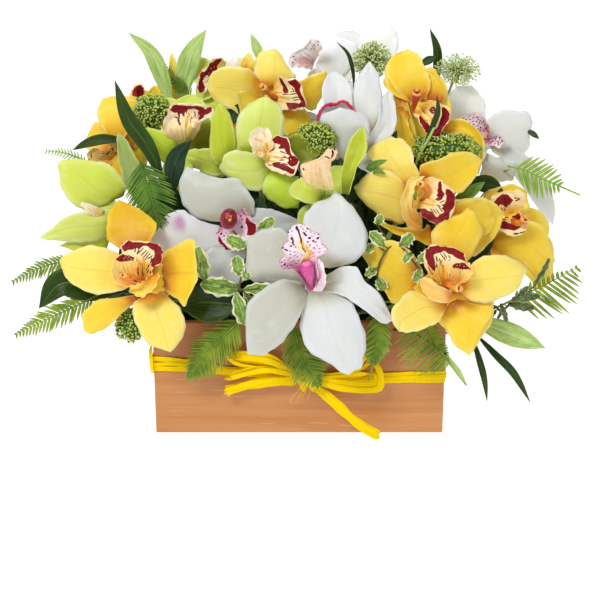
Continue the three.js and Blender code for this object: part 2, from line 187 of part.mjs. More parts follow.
// Points on a 0.001 mm grid; null unless every edge still joins exactly two triangles.
function welded(solid) {
  const m = solid.getMesh(), key = new Map(), pos = [], at = [];
  for (let i = 0; i < m.vertProperties.length; i += 3) {
    const q = [0, 1, 2].map((k) => Math.round(m.vertProperties[i + k] * 1000));
    const id = q.join();
    if (!key.has(id)) { key.set(id, pos.length / 3); pos.push(q[0] / 1000, q[1] / 1000, q[2] / 1000); }
    at.push(key.get(id));
  }
  const tri = [], edges = new Set();
  for (let i = 0; i < m.triVerts.length; i += 3) {
    const t = [0, 1, 2].map((k) => at[m.triVerts[i + k]]);
    if (t[0] === t[1] || t[1] === t[2] || t[0] === t[2]) continue;
    for (let k = 0; k < 3; k++) {
      const e = t[k] + '_' + t[(k + 1) % 3];
      if (edges.has(e)) return null;
      edges.add(e);
    }
    tri.push(...t);
  }
  for (const e of edges) if (!edges.has(e.split('_').reverse().join('_'))) return null;
  return { pos, tri };
}
// Fewest triangles that still weld into one closed surface.
function tidy(solid, tries = [0.7, 0.6, 0.8, 0.5, 0.65, 0.55, 0.4, 0.45, 0.35, 0.3, 0.25, 0.2, 0.15, 0.1, 0.05]) {
  for (const t of tries) {
    const s = biggest(lighter(solid, t)), w = welded(s);
    if (!w) continue;
    const again = new wasm.Manifold(new wasm.Mesh({ numProp: 3, vertProperties: new Float32Array(w.pos), triVerts: new Uint32Array(w.tri) }));
    if (again.decompose().length === 1 && again.volume() > 0) return w;
  }
  throw new Error('a piece does not close');
}

// ---------------------------------------------------------------- bloom
// Half-width of a tepal along its length: narrow at the base, widest near the middle, blunt tip.
function profile(u, b = 0.3, m = 0.5, p = 2.0, q = 0.62) {
  return u < m ? b + (1 - b) * Math.sin((Math.PI / 2) * (u / m))
    : Math.pow(Math.max(0, 1 - Math.pow((u - m) / (1 - m), p)), q);
}

function tepal(o, n, t, grow) {
  const tip = V(t.tip), e0 = tip.clone().sub(o).normalize();
  const base = o.clone().addScaledVector(e0, 3);
  const q = tip.clone().sub(base), len = q.length(), e = q.clone().divideScalar(len);
  const n0 = n.clone().addScaledVector(e, -n.dot(e)).normalize();
  const et = n0.clone().cross(e);
  const bow = t.bow ?? 6, side = t.side ?? 0, cup = t.cup ?? [0.5, 0.5];
  const at = (u) => base.clone().addScaledVector(q, u)
    .addScaledVector(n0, 4 * u * (1 - u) * bow).addScaledVector(et, 4 * u * (1 - u) * side);
  return slab(3, 2, (u0, v, s) => {
    const u = u0 < 0.01 ? 0 : (u0 > 0.99 ? 0.985 : u0);
    const c = at(u), d = at(Math.min(1, u + 0.01)).sub(at(Math.max(0, u - 0.01))).normalize();
    const nn = n0.clone().addScaledVector(d, -n0.dot(d)).normalize();
    const b = d.clone().cross(nn);
    const w = Math.max((t.w / 2) * profile(u), 1.2) + grow;
    const k = cup[0] + (cup[1] - cup[0]) * u;
    const th = (PETAL_T / 2 + grow) * (u < 0.3 ? 1.15 : 1);
    const ang = k * v;
    // cross section is an arc; the two faces are offset along the arc's own normal
    const x = (w * Math.sin(ang)) / k, z = (w * (1 - Math.cos(ang))) / k;
    return c.addScaledVector(b, x - s * th * Math.sin(ang)).addScaledVector(nn, z + s * th * Math.cos(ang))
      .addScaledVector(d, u0 < 0.01 ? -grow : (u0 > 0.99 ? grow : 0));
  });
}

function lip(o, n, ld, opt, grow) {
  const L = opt.L ?? 44, W = opt.W ?? 38, NU = 3;
  const bv0 = n.clone().cross(ld).normalize();
  const dir = (u) => {
    const a = ((22 + 83 * Math.pow(u, 1.6)) * Math.PI) / 180;
    return n.clone().multiplyScalar(Math.cos(a)).addScaledVector(ld, Math.sin(a));
  };
  const centre = (u) => {
    const c = o.clone().addScaledVector(ld, 5);
    const m = 24;
    for (let i = 0; i < m; i++) c.addScaledVector(dir(((i + 0.5) / m) * u), (L * u) / m);
    return c;
  };
  const table = (xs, ys, u) => {
    for (let i = 1; i < xs.length; i++) if (u <= xs[i]) {
      return ys[i - 1] + ((ys[i] - ys[i - 1]) * (u - xs[i - 1])) / (xs[i] - xs[i - 1]);
    }
    return ys[ys.length - 1];
  };
  return slab(NU, 4, (u, v, s) => {
    const d = dir(u), c = centre(u);
    let nn = d.clone().cross(bv0);
    const flip = nn.dot(n.clone().addScaledVector(ld, -0.2)) < 0 ? -1 : 1;
    nn.multiplyScalar(flip);
    const b = d.clone().cross(nn);
    const hw = Math.max((table([0, 0.12, 0.3, 0.45, 0.58, 0.72, 0.86, 0.95, 1], [0.3, 0.62, 0.95, 0.95, 0.7, 0.8, 0.78, 0.55, 0.3], u) * W) / 2, 1.5) + grow;
    let k = table([0, 0.15, 0.35, 0.55, 0.7, 0.85, 1], [1.7, 1.6, 1.3, 0.9, 0.35, -0.2, -0.5], u);
    if (Math.abs(k) < 1e-3) k = 1e-3;
    const ang = k * v, th = PETAL_T / 2 + grow;
    return c.addScaledVector(b, (hw * Math.sin(ang)) / k - s * th * Math.sin(ang))
      .addScaledVector(nn, (hw * (1 - Math.cos(ang))) / k + s * th * Math.cos(ang))
      .addScaledVector(d, u < 0.01 ? -grow : (u > 0.99 ? grow : 0));
  });
}

function bloomItem(f) {
  const o = V(f.o), n = V(f.n), ld = V(f.ld), stem = f.stem.map(V);
  const core = (g) => {
    const knot = new THREE.IcosahedronGeometry(5.2 + g, 0); knot.translate(o.x, o.y, o.z);
    const c1 = o.clone().addScaledVector(n, COLUMN_L * 0.6).addScaledVector(ld, 0.5);
    const c2 = o.clone().addScaledVector(n, COLUMN_L + g).addScaledVector(ld, 3.5);
    return union([solidOf(knot), rod([o, c1, c2], COLUMN_R + g, 5, 1), rod(stem, STEM_R + g, 4)]);
  };
  const body = (g) => union([...f.tepals.map((t) => tepal(o, n, t, g)), lip(o, n, ld, f.lip, g)]);
  return { name: f.name, color: COLOR[f.kind], at: o, core, body };
}

// ---------------------------------------------------------------- leaves, fronds, buds, sprigs
function blade(points, w, g, t, shape = (u) => Math.max(0.12, Math.pow(Math.sin(Math.PI * Math.min(1, 0.12 + 0.88 * u)), 0.75)), nu = 6, fold = 0.16) {
  const fr = along(points, VIEW);
  return slab(nu, 2, (u, v, s) => {
    const { c, t: d, n, b } = fr(u);
    const hw = (w / 2) * shape(u) + g;
    return c.addScaledVector(b, v * hw).addScaledVector(n, Math.abs(v) * hw * fold + s * (t / 2 + g))
      .addScaledVector(d, u < 0.01 ? -g : (u > 0.99 ? g : 0));
  });
}

function leafItem(f) {
  const at = V(f.blades[0].path[1]);
  const core = (g) => union([rod(f.stem.map(V), 1.2 + g, 4),
    ...f.blades.map((b) => rod(b.path.map(V), 0.9 + g, 4, 5))]);
  const body = (g) => union(f.blades.map((b) => blade(b.path.map(V), b.w, g, LEAF_T)));
  return { name: f.name, color: COLOR[f.blades[0].tone], at, core, body };
}

function fernItem(f) {
  const path = f.path.map(V), fr = along(path, VIEW), n = Math.round(f.n * 0.48);
  const at = path[1];
  const core = (g) => union([rod(f.stem.map(V), 1.0 + g, 4), rod(path, 0.85 + g, 3, 4)]);
  const body = (g) => {
    const parts = [];
    for (let i = 0; i < n; i++) {
      const u = 0.1 + (0.86 * i) / (n - 1);
      const env = Math.sin(Math.PI * Math.min(1, 0.2 + 0.8 * u) * 0.93) * 0.75 + 0.25 * (1 - u);
      for (const sgn of [-1, 1]) {
        const { c, t, n: nn, b } = fr(u);
        const len = Math.max(4, (sgn > 0 ? f.d0 : f.d1) * env) + g;
        const dir = b.clone().multiplyScalar(sgn * 0.86).addScaledVector(t, 0.5).normalize();
        const wd = t.clone().addScaledVector(dir, -t.dot(dir)).normalize();
        parts.push(slab(1, 1, (uu, v, s) => c.clone().addScaledVector(dir, -0.4 - g + uu * (len + 0.4 + g))
          .addScaledVector(wd, v * ((uu < 0.5 ? 1.7 : 0.7) + g)).addScaledVector(nn, s * (FROND_T / 2 + g) - uu * 1.2)));
      }
    }
    return union(parts);
  };
  return { name: f.name, color: COLOR.fern, at, core, body };
}

function budItem(f) {
  const c = V(f.c);
  const core = (g) => union([rod(f.stem.map(V), 1.3 + g, 4)]);
  const body = (g) => {
    const b = stripped(new THREE.IcosahedronGeometry(1, 1));
    const m = mergeVertices(b, 1e-5), p = m.attributes.position;
    for (let i = 0; i < p.count; i++) {
      const x = p.getX(i), y = p.getY(i), z = p.getZ(i);
      const k = 1 + 0.09 * Math.sin(9 * x + 4 * z) * Math.cos(8 * y + 5 * z + 1);
      p.setXYZ(i, c.x + x * (f.rx * k + g), c.y + y * (0.8 * f.rx * k + g), c.z + z * (f.rz * k + g));
    }
    return solidOf(m);
  };
  return { name: f.name, color: COLOR.bud, at: c, core, body };
}

function sprigItem(f) {
  const core = (g) => union([rod(f.stem.map(V), 1.1 + g, 4), rod(f.path.map(V), 0.9 + g, 4, 4)]);
  const spine = f.path.map(V);
  const near = (p) => {
    let best = spine[0], bd = Infinity;
    const cv = new THREE.CatmullRomCurve3(spine, false, 'centripetal');
    for (let i = 0; i <= 24; i++) { const q = cv.getPoint(i / 24), d = q.distanceTo(p); if (d < bd) { bd = d; best = q; } }
    return best;
  };
  const body = (g) => union(f.leaves.map((l) => {
    const a = V(l.a), t = V(l.t), root = near(a);
    const mid = a.clone().lerp(t, 0.5).addScaledVector(VIEW, 1.5);
    return union([rod([root, a, mid], 0.6 + g, 4, 2), blade([a, mid, t], l.w, g, LEAF_T, undefined, 3, 0.12)]);
  }));
  return { name: f.name, color: COLOR.sprig, at: V(f.path[2]), core, body };
}

// ---------------------------------------------------------------- box, foam, raffia
const placed = [];          // { name, solid, color, rough }
function board(name, w, d, h, x, y, z, color) {
  const g = new THREE.BoxGeometry(w, d, h);
  g.translate(x, y, z + h / 2);
  placed.push({ name, solid: solidOf(g), color, rough: 0.6 });
}
const inW = BOX_W - 2 * BOARD, inD = BOX_D - 2 * BOARD;
board('box_front', BOX_W, BOARD, BOX_H, 0, -(BOX_D - BOARD) / 2, 0, COLOR.wood);
board('box_back', BOX_W, BOARD, BOX_H, 0, (BOX_D - BOARD) / 2, 0, COLOR.wood);
board('box_left', BOARD, inD - 2 * GAP, BOX_H, -(BOX_W - BOARD) / 2, 0, 0, COLOR.woodSide);
board('box_right', BOARD, inD - 2 * GAP, BOX_H, (BOX_W - BOARD) / 2, 0, 0, COLOR.woodSide);
board('box_bottom', inW - 2 * GAP, inD - 2 * GAP, BOARD, 0, 0, 0, COLOR.woodSide);
const boards = union(placed.map((p) => p.solid));

// Flat ribbon along points, its face towards n0.
function ribbon(points, w, t, nu, g = 0, n0 = new THREE.Vector3(0, -1, 0), taper = () => 1) {
  const fr = along(points, n0);
  return slab(nu, 1, (u, v, s) => {
    const { c, t: d, n, b } = fr(u);
    return c.addScaledVector(b, v * ((w / 2) * taper(u) + g)).addScaledVector(n, s * (t / 2 + g))
      .addScaledVector(d, u < 0.01 ? -g : (u > 0.99 ? g : 0));
  });
}
// Band right round the box, a little higher at its left end than at its right end.
function raffiaBand(g) {
  const rounded = (s, hx, hy, r) => {
    s.moveTo(-hx + r, -hy); s.lineTo(hx - r, -hy); s.absarc(hx - r, -hy + r, r, -Math.PI / 2, 0);
    s.lineTo(hx, hy - r); s.absarc(hx - r, hy - r, r, 0, Math.PI / 2);
    s.lineTo(-hx + r, hy); s.absarc(-hx + r, hy - r, r, Math.PI / 2, Math.PI);
    s.lineTo(-hx, -hy + r); s.absarc(-hx + r, -hy + r, r, Math.PI, 1.5 * Math.PI);
    return s;
  };
  const a = GAP - g, b = GAP + RAFFIA_T + g;
  const outer = rounded(new THREE.Shape(), BOX_W / 2 + b, BOX_D / 2 + b, 2.2);
  outer.holes.push(rounded(new THREE.Path(), BOX_W / 2 + a, BOX_D / 2 + a, 0.3));
  const geo = new THREE.ExtrudeGeometry(outer, { depth: RAFFIA_W + 2 * g, bevelEnabled: false, curveSegments: 3 });
  const p = geo.attributes.position;
  for (let i = 0; i < p.count; i++) {
    const x = p.getX(i);
    p.setZ(i, p.getZ(i) - g + 48.5 - 0.042 * x + 0.00018 * x * x - RAFFIA_W / 2);
  }
  return solidOf(geo);
}
const BOW_L = [[4, -80.6, 51], [-22, -84, 60], [-46, -87, 65], [-60, -87, 60], [-48, -83.5, 52], [-20, -81.5, 50], [4, -80.6, 49]].map(V);
const BOW_R = [[10, -80.6, 53], [36, -84, 60], [58, -87, 63], [66.5, -87, 54], [58, -84.5, 45], [34, -82, 46], [10, -80.6, 47]].map(V);
const TAIL_L = [[-2.8, -81.4, 48.6], [-14.2, -82.2, 49], [-38.9, -83.2, 46.7], [-61.1, -83.6, 40.7]].map(V);
const TAIL_R = [[13.2, -82.2, 42.4], [18.7, -83.0, 39.5], [30.2, -85.5, 30.1], [41.8, -88.5, 19.8], [53.3, -91.5, 11.6], [65.5, -94.5, 5.6]].map(V);
function bow(g) {
  const knot = stripped(new THREE.IcosahedronGeometry(1, 1));
  const m = mergeVertices(knot, 1e-5), p = m.attributes.position;
  for (let i = 0; i < p.count; i++) p.setXYZ(i, 6.5 + p.getX(i) * (9.5 + g), -80.4 + p.getY(i) * (3.1 + g), 50 + p.getZ(i) * (8.2 + g));
  return union([solidOf(m), ribbon(BOW_L, 8.5, 1.4, 12, g), ribbon(BOW_R, 8.5, 1.4, 12, g)]);
}
const bandSolid = raffiaBand(0), bandWide = raffiaBand(CLEAR);
placed.push({ name: 'raffia_band', tries: [0.1, 0.15, 0.05, 0.2], solid: bandSolid, color: COLOR.raffia, rough: 0.7 });
const bowSolid = bow(0).subtract(bandWide), bowWide = bow(CLEAR);
placed.push({ name: 'raffia_bow', solid: biggest(bowSolid), tries: [0.1, 0.15, 0.05, 0.2, 0.02], color: COLOR.raffia, rough: 0.7 });
const blocked = union([bandWide, bowWide]);
const tailL = (g) => ribbon(TAIL_L, TAIL_W, 1.3, 6, g), tailR = (g) => ribbon(TAIL_R, TAIL_W, 1.3, 9, g);
placed.push({ name: 'raffia_tail_left', tries: [0.1, 0.15, 0.05, 0.2], solid: biggest(tailL(0).subtract(blocked)), color: COLOR.raffia, rough: 0.7 });
placed.push({ name: 'raffia_tail_right', tries: [0.1, 0.15, 0.05, 0.2], solid: biggest(tailR(0).subtract(union([blocked, tailL(CLEAR)]))), color: COLOR.raffia, rough: 0.7 });
const raffiaWide = union([blocked, tailL(CLEAR), tailR(CLEAR)]);

function biggest(solid) {
  const list = solid.decompose();
  let best = list[0], vol = -1;
  for (const s of list) { const v = s.volume(); if (v > vol) { vol = v; best = s; } }
  return best;
}

// ---------------------------------------------------------------- planting
const items = [
  ...BLOOMS.map(bloomItem), ...LEAVES.map(leafItem), ...FERNS.map(fernItem), ...BUDS.map(budItem), ...SPRIGS.map(sprigItem),
];
for (const it of items) {
  it.c0 = it.core(0); it.c1 = it.core(CLEAR); it.b0 = it.body(0); it.b1 = it.body(CLEAR);
  it.front = it.at.dot(VIEW) + (SPRIGS.some((s) => s.name === it.name) ? 60 : 0);
}
items.sort((a, b) => b.front - a.front);
const apart = (a, b) => {
  const p = a.boundingBox(), q = b.boundingBox();
  for (let k = 0; k < 3; k++) if (p.min[k] > q.max[k] + 0.5 || q.min[k] > p.max[k] + 0.5) return true;
  return false;
};
const boxWide = (() => {
  const g = new THREE.BoxGeometry(BOX_W + 2 * CLEAR, BOX_D + 2 * CLEAR, BOX_H + CLEAR + 30);
  g.translate(0, 0, (BOX_H + CLEAR - 30) / 2);
  return solidOf(g);
})();
for (let i = 0; i < items.length; i++) {
  const it = items[i];
  let s = it.b0;
  for (let j = 0; j < items.length; j++) {
    if (j === i) continue;
    const o = items[j];
    if (!apart(s, o.c1)) s = s.subtract(o.c1);
    if (j < i && !apart(s, o.b1)) s = s.subtract(o.b1);
  }
  s = s.subtract(boxWide).subtract(raffiaWide);
  s = biggest(s.add(it.c0));
  placed.push({ name: it.name, solid: s, color: it.color, rough: 0.55 });
}
// Foam block that holds every stalk.
{
  const h = FOAM_TOP - BOARD - GAP;
  const g = new THREE.BoxGeometry(inW - 2 * GAP - 1, inD - 2 * GAP - 1, h);
  g.translate(0, 0, BOARD + GAP + h / 2);
  let foam = solidOf(g);
  for (const it of items) if (!apart(foam, it.c1)) foam = foam.subtract(it.c1);
  placed.push({ name: 'floral_foam', solid: biggest(foam), tries: [0.2, 0.1, 0.15, 0.05], color: COLOR.foam, rough: 0.95 });
}

// ---------------------------------------------------------------- scene graph
const group = new THREE.Group();
group.name = 'cymbidium_arrangement';
for (const p of placed) {
  const w = tidy(p.solid, p.tries);
  const geo = new THREE.BufferGeometry();
  geo.setAttribute('position', new THREE.BufferAttribute(new Float32Array(w.pos), 3));
  geo.setIndex(w.tri);
  geo.computeVertexNormals();
  const mesh = new THREE.Mesh(geo, new THREE.MeshStandardMaterial({ color: p.color, roughness: p.rough, metalness: 0, flatShading: true }));
  mesh.name = p.name;
  group.add(mesh);
}
export default group;
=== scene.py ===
import math
import bpy
import numpy as np
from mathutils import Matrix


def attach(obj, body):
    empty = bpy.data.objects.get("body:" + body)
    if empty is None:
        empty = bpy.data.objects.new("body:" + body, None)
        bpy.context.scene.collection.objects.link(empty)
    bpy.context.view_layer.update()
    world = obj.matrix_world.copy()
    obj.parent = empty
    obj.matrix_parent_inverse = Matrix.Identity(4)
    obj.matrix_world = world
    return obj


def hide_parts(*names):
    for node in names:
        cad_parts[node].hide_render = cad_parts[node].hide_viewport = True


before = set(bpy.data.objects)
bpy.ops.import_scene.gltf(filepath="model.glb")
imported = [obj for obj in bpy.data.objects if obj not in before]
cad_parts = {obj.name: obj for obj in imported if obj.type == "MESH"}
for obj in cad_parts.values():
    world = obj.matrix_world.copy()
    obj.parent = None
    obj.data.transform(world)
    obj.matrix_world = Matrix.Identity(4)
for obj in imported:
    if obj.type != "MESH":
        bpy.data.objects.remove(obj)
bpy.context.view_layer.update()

MM = 0.001
RNG = np.random.default_rng(11)


def arr(p):
    return np.array(p, float)


def unit(v):
    v = np.asarray(v, float)
    return v / max(np.linalg.norm(v), 1e-12)


def lin(r, g, b):
    """8-bit display colour to linear."""
    out = []
    for c in (r, g, b):
        c = c / 255
        out.append(c / 12.92 if c <= 0.04045 else ((c + 0.055) / 1.055) ** 2.4)
    return (*out, 1.0)


# ------------------------------------------------------------------ camera, light, floor
CAM = arr((0.57, -1031.3, 408.8))
TILT = math.radians(17.0)
VIEW = unit((0, -math.cos(TILT), math.sin(TILT)))

cam = bpy.data.cameras.new("camera")
cam.lens = 73.956
cam.sensor_width = 36.0
cam.clip_start, cam.clip_end = 0.05, 20
cam_o = bpy.data.objects.new("camera", cam)
cam_o.location = CAM * MM
cam_o.rotation_euler = (math.radians(90) - TILT, 0, 0)
bpy.context.scene.collection.objects.link(cam_o)
bpy.context.scene.camera = cam_o

scene = bpy.context.scene
scene.view_settings.view_transform = "Standard"
scene.view_settings.look = "None"
scene.view_settings.exposure = 0.0

world = bpy.data.worlds.new("studio")
scene.world = world
world.use_nodes = True
bg = world.node_tree.nodes["Background"]
bg.inputs["Color"].default_value = (1, 1, 1, 1)
bg.inputs["Strength"].default_value = 0.31


def area(name, loc, target, size, power, color=(1, 1, 1)):
    d = bpy.data.lights.new(name, "AREA")
    d.shape = "RECTANGLE"
    d.size, d.size_y = size
    d.energy = power
    d.color = color
    o = bpy.data.objects.new(name, d)
    o.location = loc
    from mathutils import Vector
    o.rotation_euler = (Vector(target) - Vector(loc)).to_track_quat("-Z", "Y").to_euler()
    scene.collection.objects.link(o)
    return o


area("key", (-0.7, -1.1, 1.35), (0, 0, 0.15), (0.5, 0.5), 18)
area("fill", (1.2, -1.0, 0.75), (0, 0, 0.15), (0.8, 0.8), 3.6)
area("top", (0.1, 0.45, 1.5), (0, 0, 0.15), (0.9, 0.9), 7.5)


# ------------------------------------------------------------------ materials
class Mat:
    def __init__(self, name, rough=0.5, spec=0.5, sss=0.0, radius=(0.004, 0.0025, 0.001), coat=0.0, sheen=0.0):
        self.m = bpy.data.materials.new(name)
        self.m.use_nodes = True
        self.t = self.m.node_tree
        self.b = self.t.nodes["Principled BSDF"]
        self.b.inputs["Roughness"].default_value = rough
        self.b.inputs["Specular IOR Level"].default_value = spec
        self.b.inputs["Subsurface Weight"].default_value = sss
        self.b.inputs["Subsurface Radius"].default_value = (1.0, radius[1] / radius[0], radius[2] / radius[0])
        self.b.inputs["Subsurface Scale"].default_value = radius[0]
        self.b.inputs["Coat Weight"].default_value = coat
        self.b.inputs["Coat Roughness"].default_value = 0.25
        self.b.inputs["Sheen Weight"].default_value = sheen

    def node(self, kind, **kw):
        n = self.t.nodes.new(kind)
        for k, v in kw.items():
            setattr(n, k, v)
        return n

    def link(self, a, b):
        self.t.links.new(a, b)

    def attr(self, name="fp"):
        n = self.node("ShaderNodeAttribute", attribute_name=name)
        return n

    def xyz(self, vec):
        n = self.node("ShaderNodeSeparateXYZ")
        self.link(vec, n.inputs[0])
        return n.outputs

    def comb(self, x, y, z):
        n = self.node("ShaderNodeCombineXYZ")
        for i, v in enumerate((x, y, z)):
            if isinstance(v, (int, float)):
                n.inputs[i].default_value = v
            else:
                self.link(v, n.inputs[i])
        return n.outputs[0]

    def math(self, op, a, b=None, c=None, clamp=False):
        n = self.node("ShaderNodeMath", operation=op, use_clamp=clamp)
        for i, v in enumerate((a, b, c)):
            if v is None:
                continue
            if isinstance(v, (int, float)):
                n.inputs[i].default_value = v
            else:
                self.link(v, n.inputs[i])
        return n.outputs[0]

    def step(self, x, lo, hi, a=0.0, b=1.0, kind="SMOOTHSTEP"):
        n = self.node("ShaderNodeMapRange", interpolation_type=kind)
        self.link(x, n.inputs["Value"])
        n.inputs["From Min"].default_value = lo
        n.inputs["From Max"].default_value = hi
        n.inputs["To Min"].default_value = a
        n.inputs["To Max"].default_value = b
        return n.outputs[0]

    def mix(self, f, a, b, mode="MIX"):
        n = self.node("ShaderNodeMix", data_type="RGBA", blend_type=mode)
        ins = [i for i in n.inputs if i.type == "RGBA"]
        fac = n.inputs[0]
        if isinstance(f, (int, float)):
            fac.default_value = f
        else:
            self.link(f, fac)
        for i, v in zip(ins, (a, b)):
            if isinstance(v, tuple):
                i.default_value = v
            else:
                self.link(v, i)
        return [o for o in n.outputs if o.type == "RGBA"][0]

    def noise(self, vec, scale, detail=3, rough=0.5, dist=0.0, dims="3D"):
        n = self.node("ShaderNodeTexNoise", noise_dimensions=dims)
        self.link(vec, n.inputs["Vector"])
        n.inputs["Scale"].default_value = scale
        n.inputs["Detail"].default_value = detail
        n.inputs["Roughness"].default_value = rough
        n.inputs["Distortion"].default_value = dist
        return n.outputs["Fac"]

    def voronoi(self, vec, scale, feature="F1", rand=1.0):
        n = self.node("ShaderNodeTexVoronoi", feature=feature)
        self.link(vec, n.inputs["Vector"])
        n.inputs["Scale"].default_value = scale
        n.inputs["Randomness"].default_value = rand
        return n.outputs["Distance"]

    def mapping(self, vec, scale=(1, 1, 1), loc=(0, 0, 0), rot=(0, 0, 0)):
        n = self.node("ShaderNodeMapping")
        self.link(vec, n.inputs["Vector"])
        n.inputs["Scale"].default_value = scale
        n.inputs["Location"].default_value = loc
        n.inputs["Rotation"].default_value = rot
        return n.outputs[0]

    def obj(self):
        return self.node("ShaderNodeTexCoord").outputs["Object"]

    def ramp(self, x, stops, interp="LINEAR"):
        n = self.node("ShaderNodeValToRGB")
        n.color_ramp.interpolation = interp
        el = n.color_ramp.elements
        while len(el) > 1:
            el.remove(el[-1])
        el[0].position, el[0].color = stops[0]
        for p, c in stops[1:]:
            e = el.new(p)
            e.color = c
        self.link(x, n.inputs[0])
        return n.outputs["Color"]

    def color(self, c):
        self.link(c, self.b.inputs["Base Color"])

    def rough(self, r):
        self.link(r, self.b.inputs["Roughness"])

    def bump(self, h, strength=0.3, dist=0.001, prev=None):
        n = self.node("ShaderNodeBump")
        n.inputs["Strength"].default_value = strength
        n.inputs["Distance"].default_value = dist
        self.link(h, n.inputs["Height"])
        if prev is not None:
            self.link(prev, n.inputs["Normal"])
        self.link(n.outputs[0], self.b.inputs["Normal"])
        return n.outputs[0]


def petal_material(name, base, mid, tip, edge, vein, base_len=0.25, sss=0.3, rough=0.42, blush=None, deep=None):
    """Waxy petal: colour runs from base to tip and to the margin, fine veins run lengthwise. The darker base colour is
    partly the petal's own colour and partly painted shade at its foot; deep, where given, darkens the foot further as
    painted shade.
    The attribute fp holds (along, across, seed); fs is 0 on the inner face and 1 on the outer."""
    M = Mat(name, rough=rough, spec=0.35, sss=sss)
    a = M.attr("fp").outputs["Vector"]
    u, v, s = M.xyz(a)
    av = M.math("ABSOLUTE", v)
    seedv = M.comb(M.math("MULTIPLY", s, 17.0), M.math("MULTIPLY", s, 9.0), 0.0)
    obj = M.obj()
    add = M.node("ShaderNodeVectorMath", operation="ADD")
    M.link(obj, add.inputs[0]); M.link(seedv, add.inputs[1])
    big = M.noise(add.outputs[0], 38, 3, 0.55)
    roll = M.noise(add.outputs[0], 26, 2, 0.5)
    col = M.ramp(M.math("ADD", u, M.math("MULTIPLY", M.math("SUBTRACT", big, 0.5), 0.28)),
                 [(0.0, base), (base_len, mid), (0.72, mid), (1.0, tip)], "EASE")
    # painted shade: near the foot the colour turns to deep, as if the heart of the bloom were in shade
    if deep is not None:
        throat = M.math("ADD", u, M.math("MULTIPLY", M.math("SUBTRACT", big, 0.5), 0.16))
        col = M.mix(M.math("MULTIPLY", M.step(throat, 0.20, 0.03), 0.8), col, deep)
    col = M.mix(M.math("MULTIPLY", M.step(av, 0.72, 1.0), 0.55), col, edge)
    col = M.mix(M.math("MULTIPLY", M.step(M.noise(add.outputs[0], 75, 4, 0.65), 0.52, 0.75), 0.35), col, edge)
    # veins: thin lines of constant v, split by noise
    vv = M.comb(M.math("MULTIPLY", v, 7.5), M.math("MULTIPLY", u, 1.1), M.math("MULTIPLY", s, 31.0))
    wob = M.noise(vv, 1.2, 2, 0.5)
    lines = M.math("SINE", M.math("ADD", M.math("MULTIPLY", v, 46.0), M.math("MULTIPLY", wob, 9.0)))
    fine = M.noise(M.comb(M.math("MULTIPLY", v, 40.0), M.math("MULTIPLY", u, 2.0), s), 2.0, 3, 0.6)
    lm = M.math("MULTIPLY", M.step(lines, 0.2, 1.0), M.step(av, 1.0, 0.5))
    col = M.mix(M.math("MULTIPLY", lm, 0.09), col, vein)
    col = M.mix(M.math("MULTIPLY", M.step(fine, 0.5, 0.75), 0.14), col, vein)
    mid_line = M.step(av, 0.055, 0.0)
    col = M.mix(M.math("MULTIPLY", mid_line, 0.30), col, vein)
    if blush is not None:
        bm = M.math("MULTIPLY", M.step(big, 0.52, 0.72), M.step(u, 0.75, 0.1))
        col = M.mix(M.math("MULTIPLY", bm, 0.5), col, blush)
    M.color(col)
    h = M.math("ADD", M.math("MULTIPLY", lines, 0.12), M.math("MULTIPLY", fine, 0.7))
    cell = M.noise(obj, 900, 2, 0.5)
    h = M.math("ADD", h, M.math("MULTIPLY", cell, 0.5))
    h = M.math("ADD", h, M.math("MULTIPLY", roll, 9.0))
    M.bump(h, 0.30, 0.0006)
    M.rough(M.step(fine, 0.3, 0.8, rough - 0.06, rough + 0.1))
    return M.m


# In every look below, deep is painted shade at the foot of the petal, and the darker base colour is partly painted
# shade too.
PET = {
    "Y": petal_material("petal_yellow", lin(222, 142, 2), lin(248, 205, 52), lin(251, 217, 92), lin(253, 228, 128), lin(232, 176, 30), base_len=0.40, blush=lin(234, 170, 8), deep=lin(176, 78, 6)),
    "G": petal_material("petal_lime", lin(160, 178, 18), lin(200, 214, 82), lin(216, 225, 126), lin(234, 237, 174), lin(172, 192, 50), base_len=0.32, blush=lin(176, 198, 30), deep=lin(120, 138, 10)),
    "W": petal_material("petal_white", lin(202, 202, 186), lin(219, 221, 218), lin(223, 225, 223), lin(236, 237, 236), lin(206, 207, 202), blush=lin(212, 211, 198), sss=0.3, deep=lin(176, 170, 130)),
}


def blotch_material():
    """White petal with one soft mauve patch."""
    M = Mat("petal_white_mauve", rough=0.42, spec=0.35, sss=0.35)
    u, v, s = M.xyz(M.attr("fp").outputs["Vector"])
    n = M.noise(M.obj(), 90, 3, 0.6)
    du = M.math("DIVIDE", M.math("SUBTRACT", u, 0.52), 0.12)
    dv = M.math("DIVIDE", M.math("ADD", v, 0.45), 0.42)
    r = M.math("SQRT", M.math("ADD", M.math("MULTIPLY", du, du), M.math("MULTIPLY", dv, dv)))
    r = M.math("ADD", r, M.math("MULTIPLY", M.math("SUBTRACT", n, 0.5), 0.7))
    col = M.mix(n, lin(240, 239, 236), lin(230, 228, 226))
    col = M.mix(M.step(r, 1.15, 0.2, 0.0, 0.85), col, lin(206, 140, 196))
    M.color(col)
    M.bump(n, 0.2, 0.0006)
    return M.m


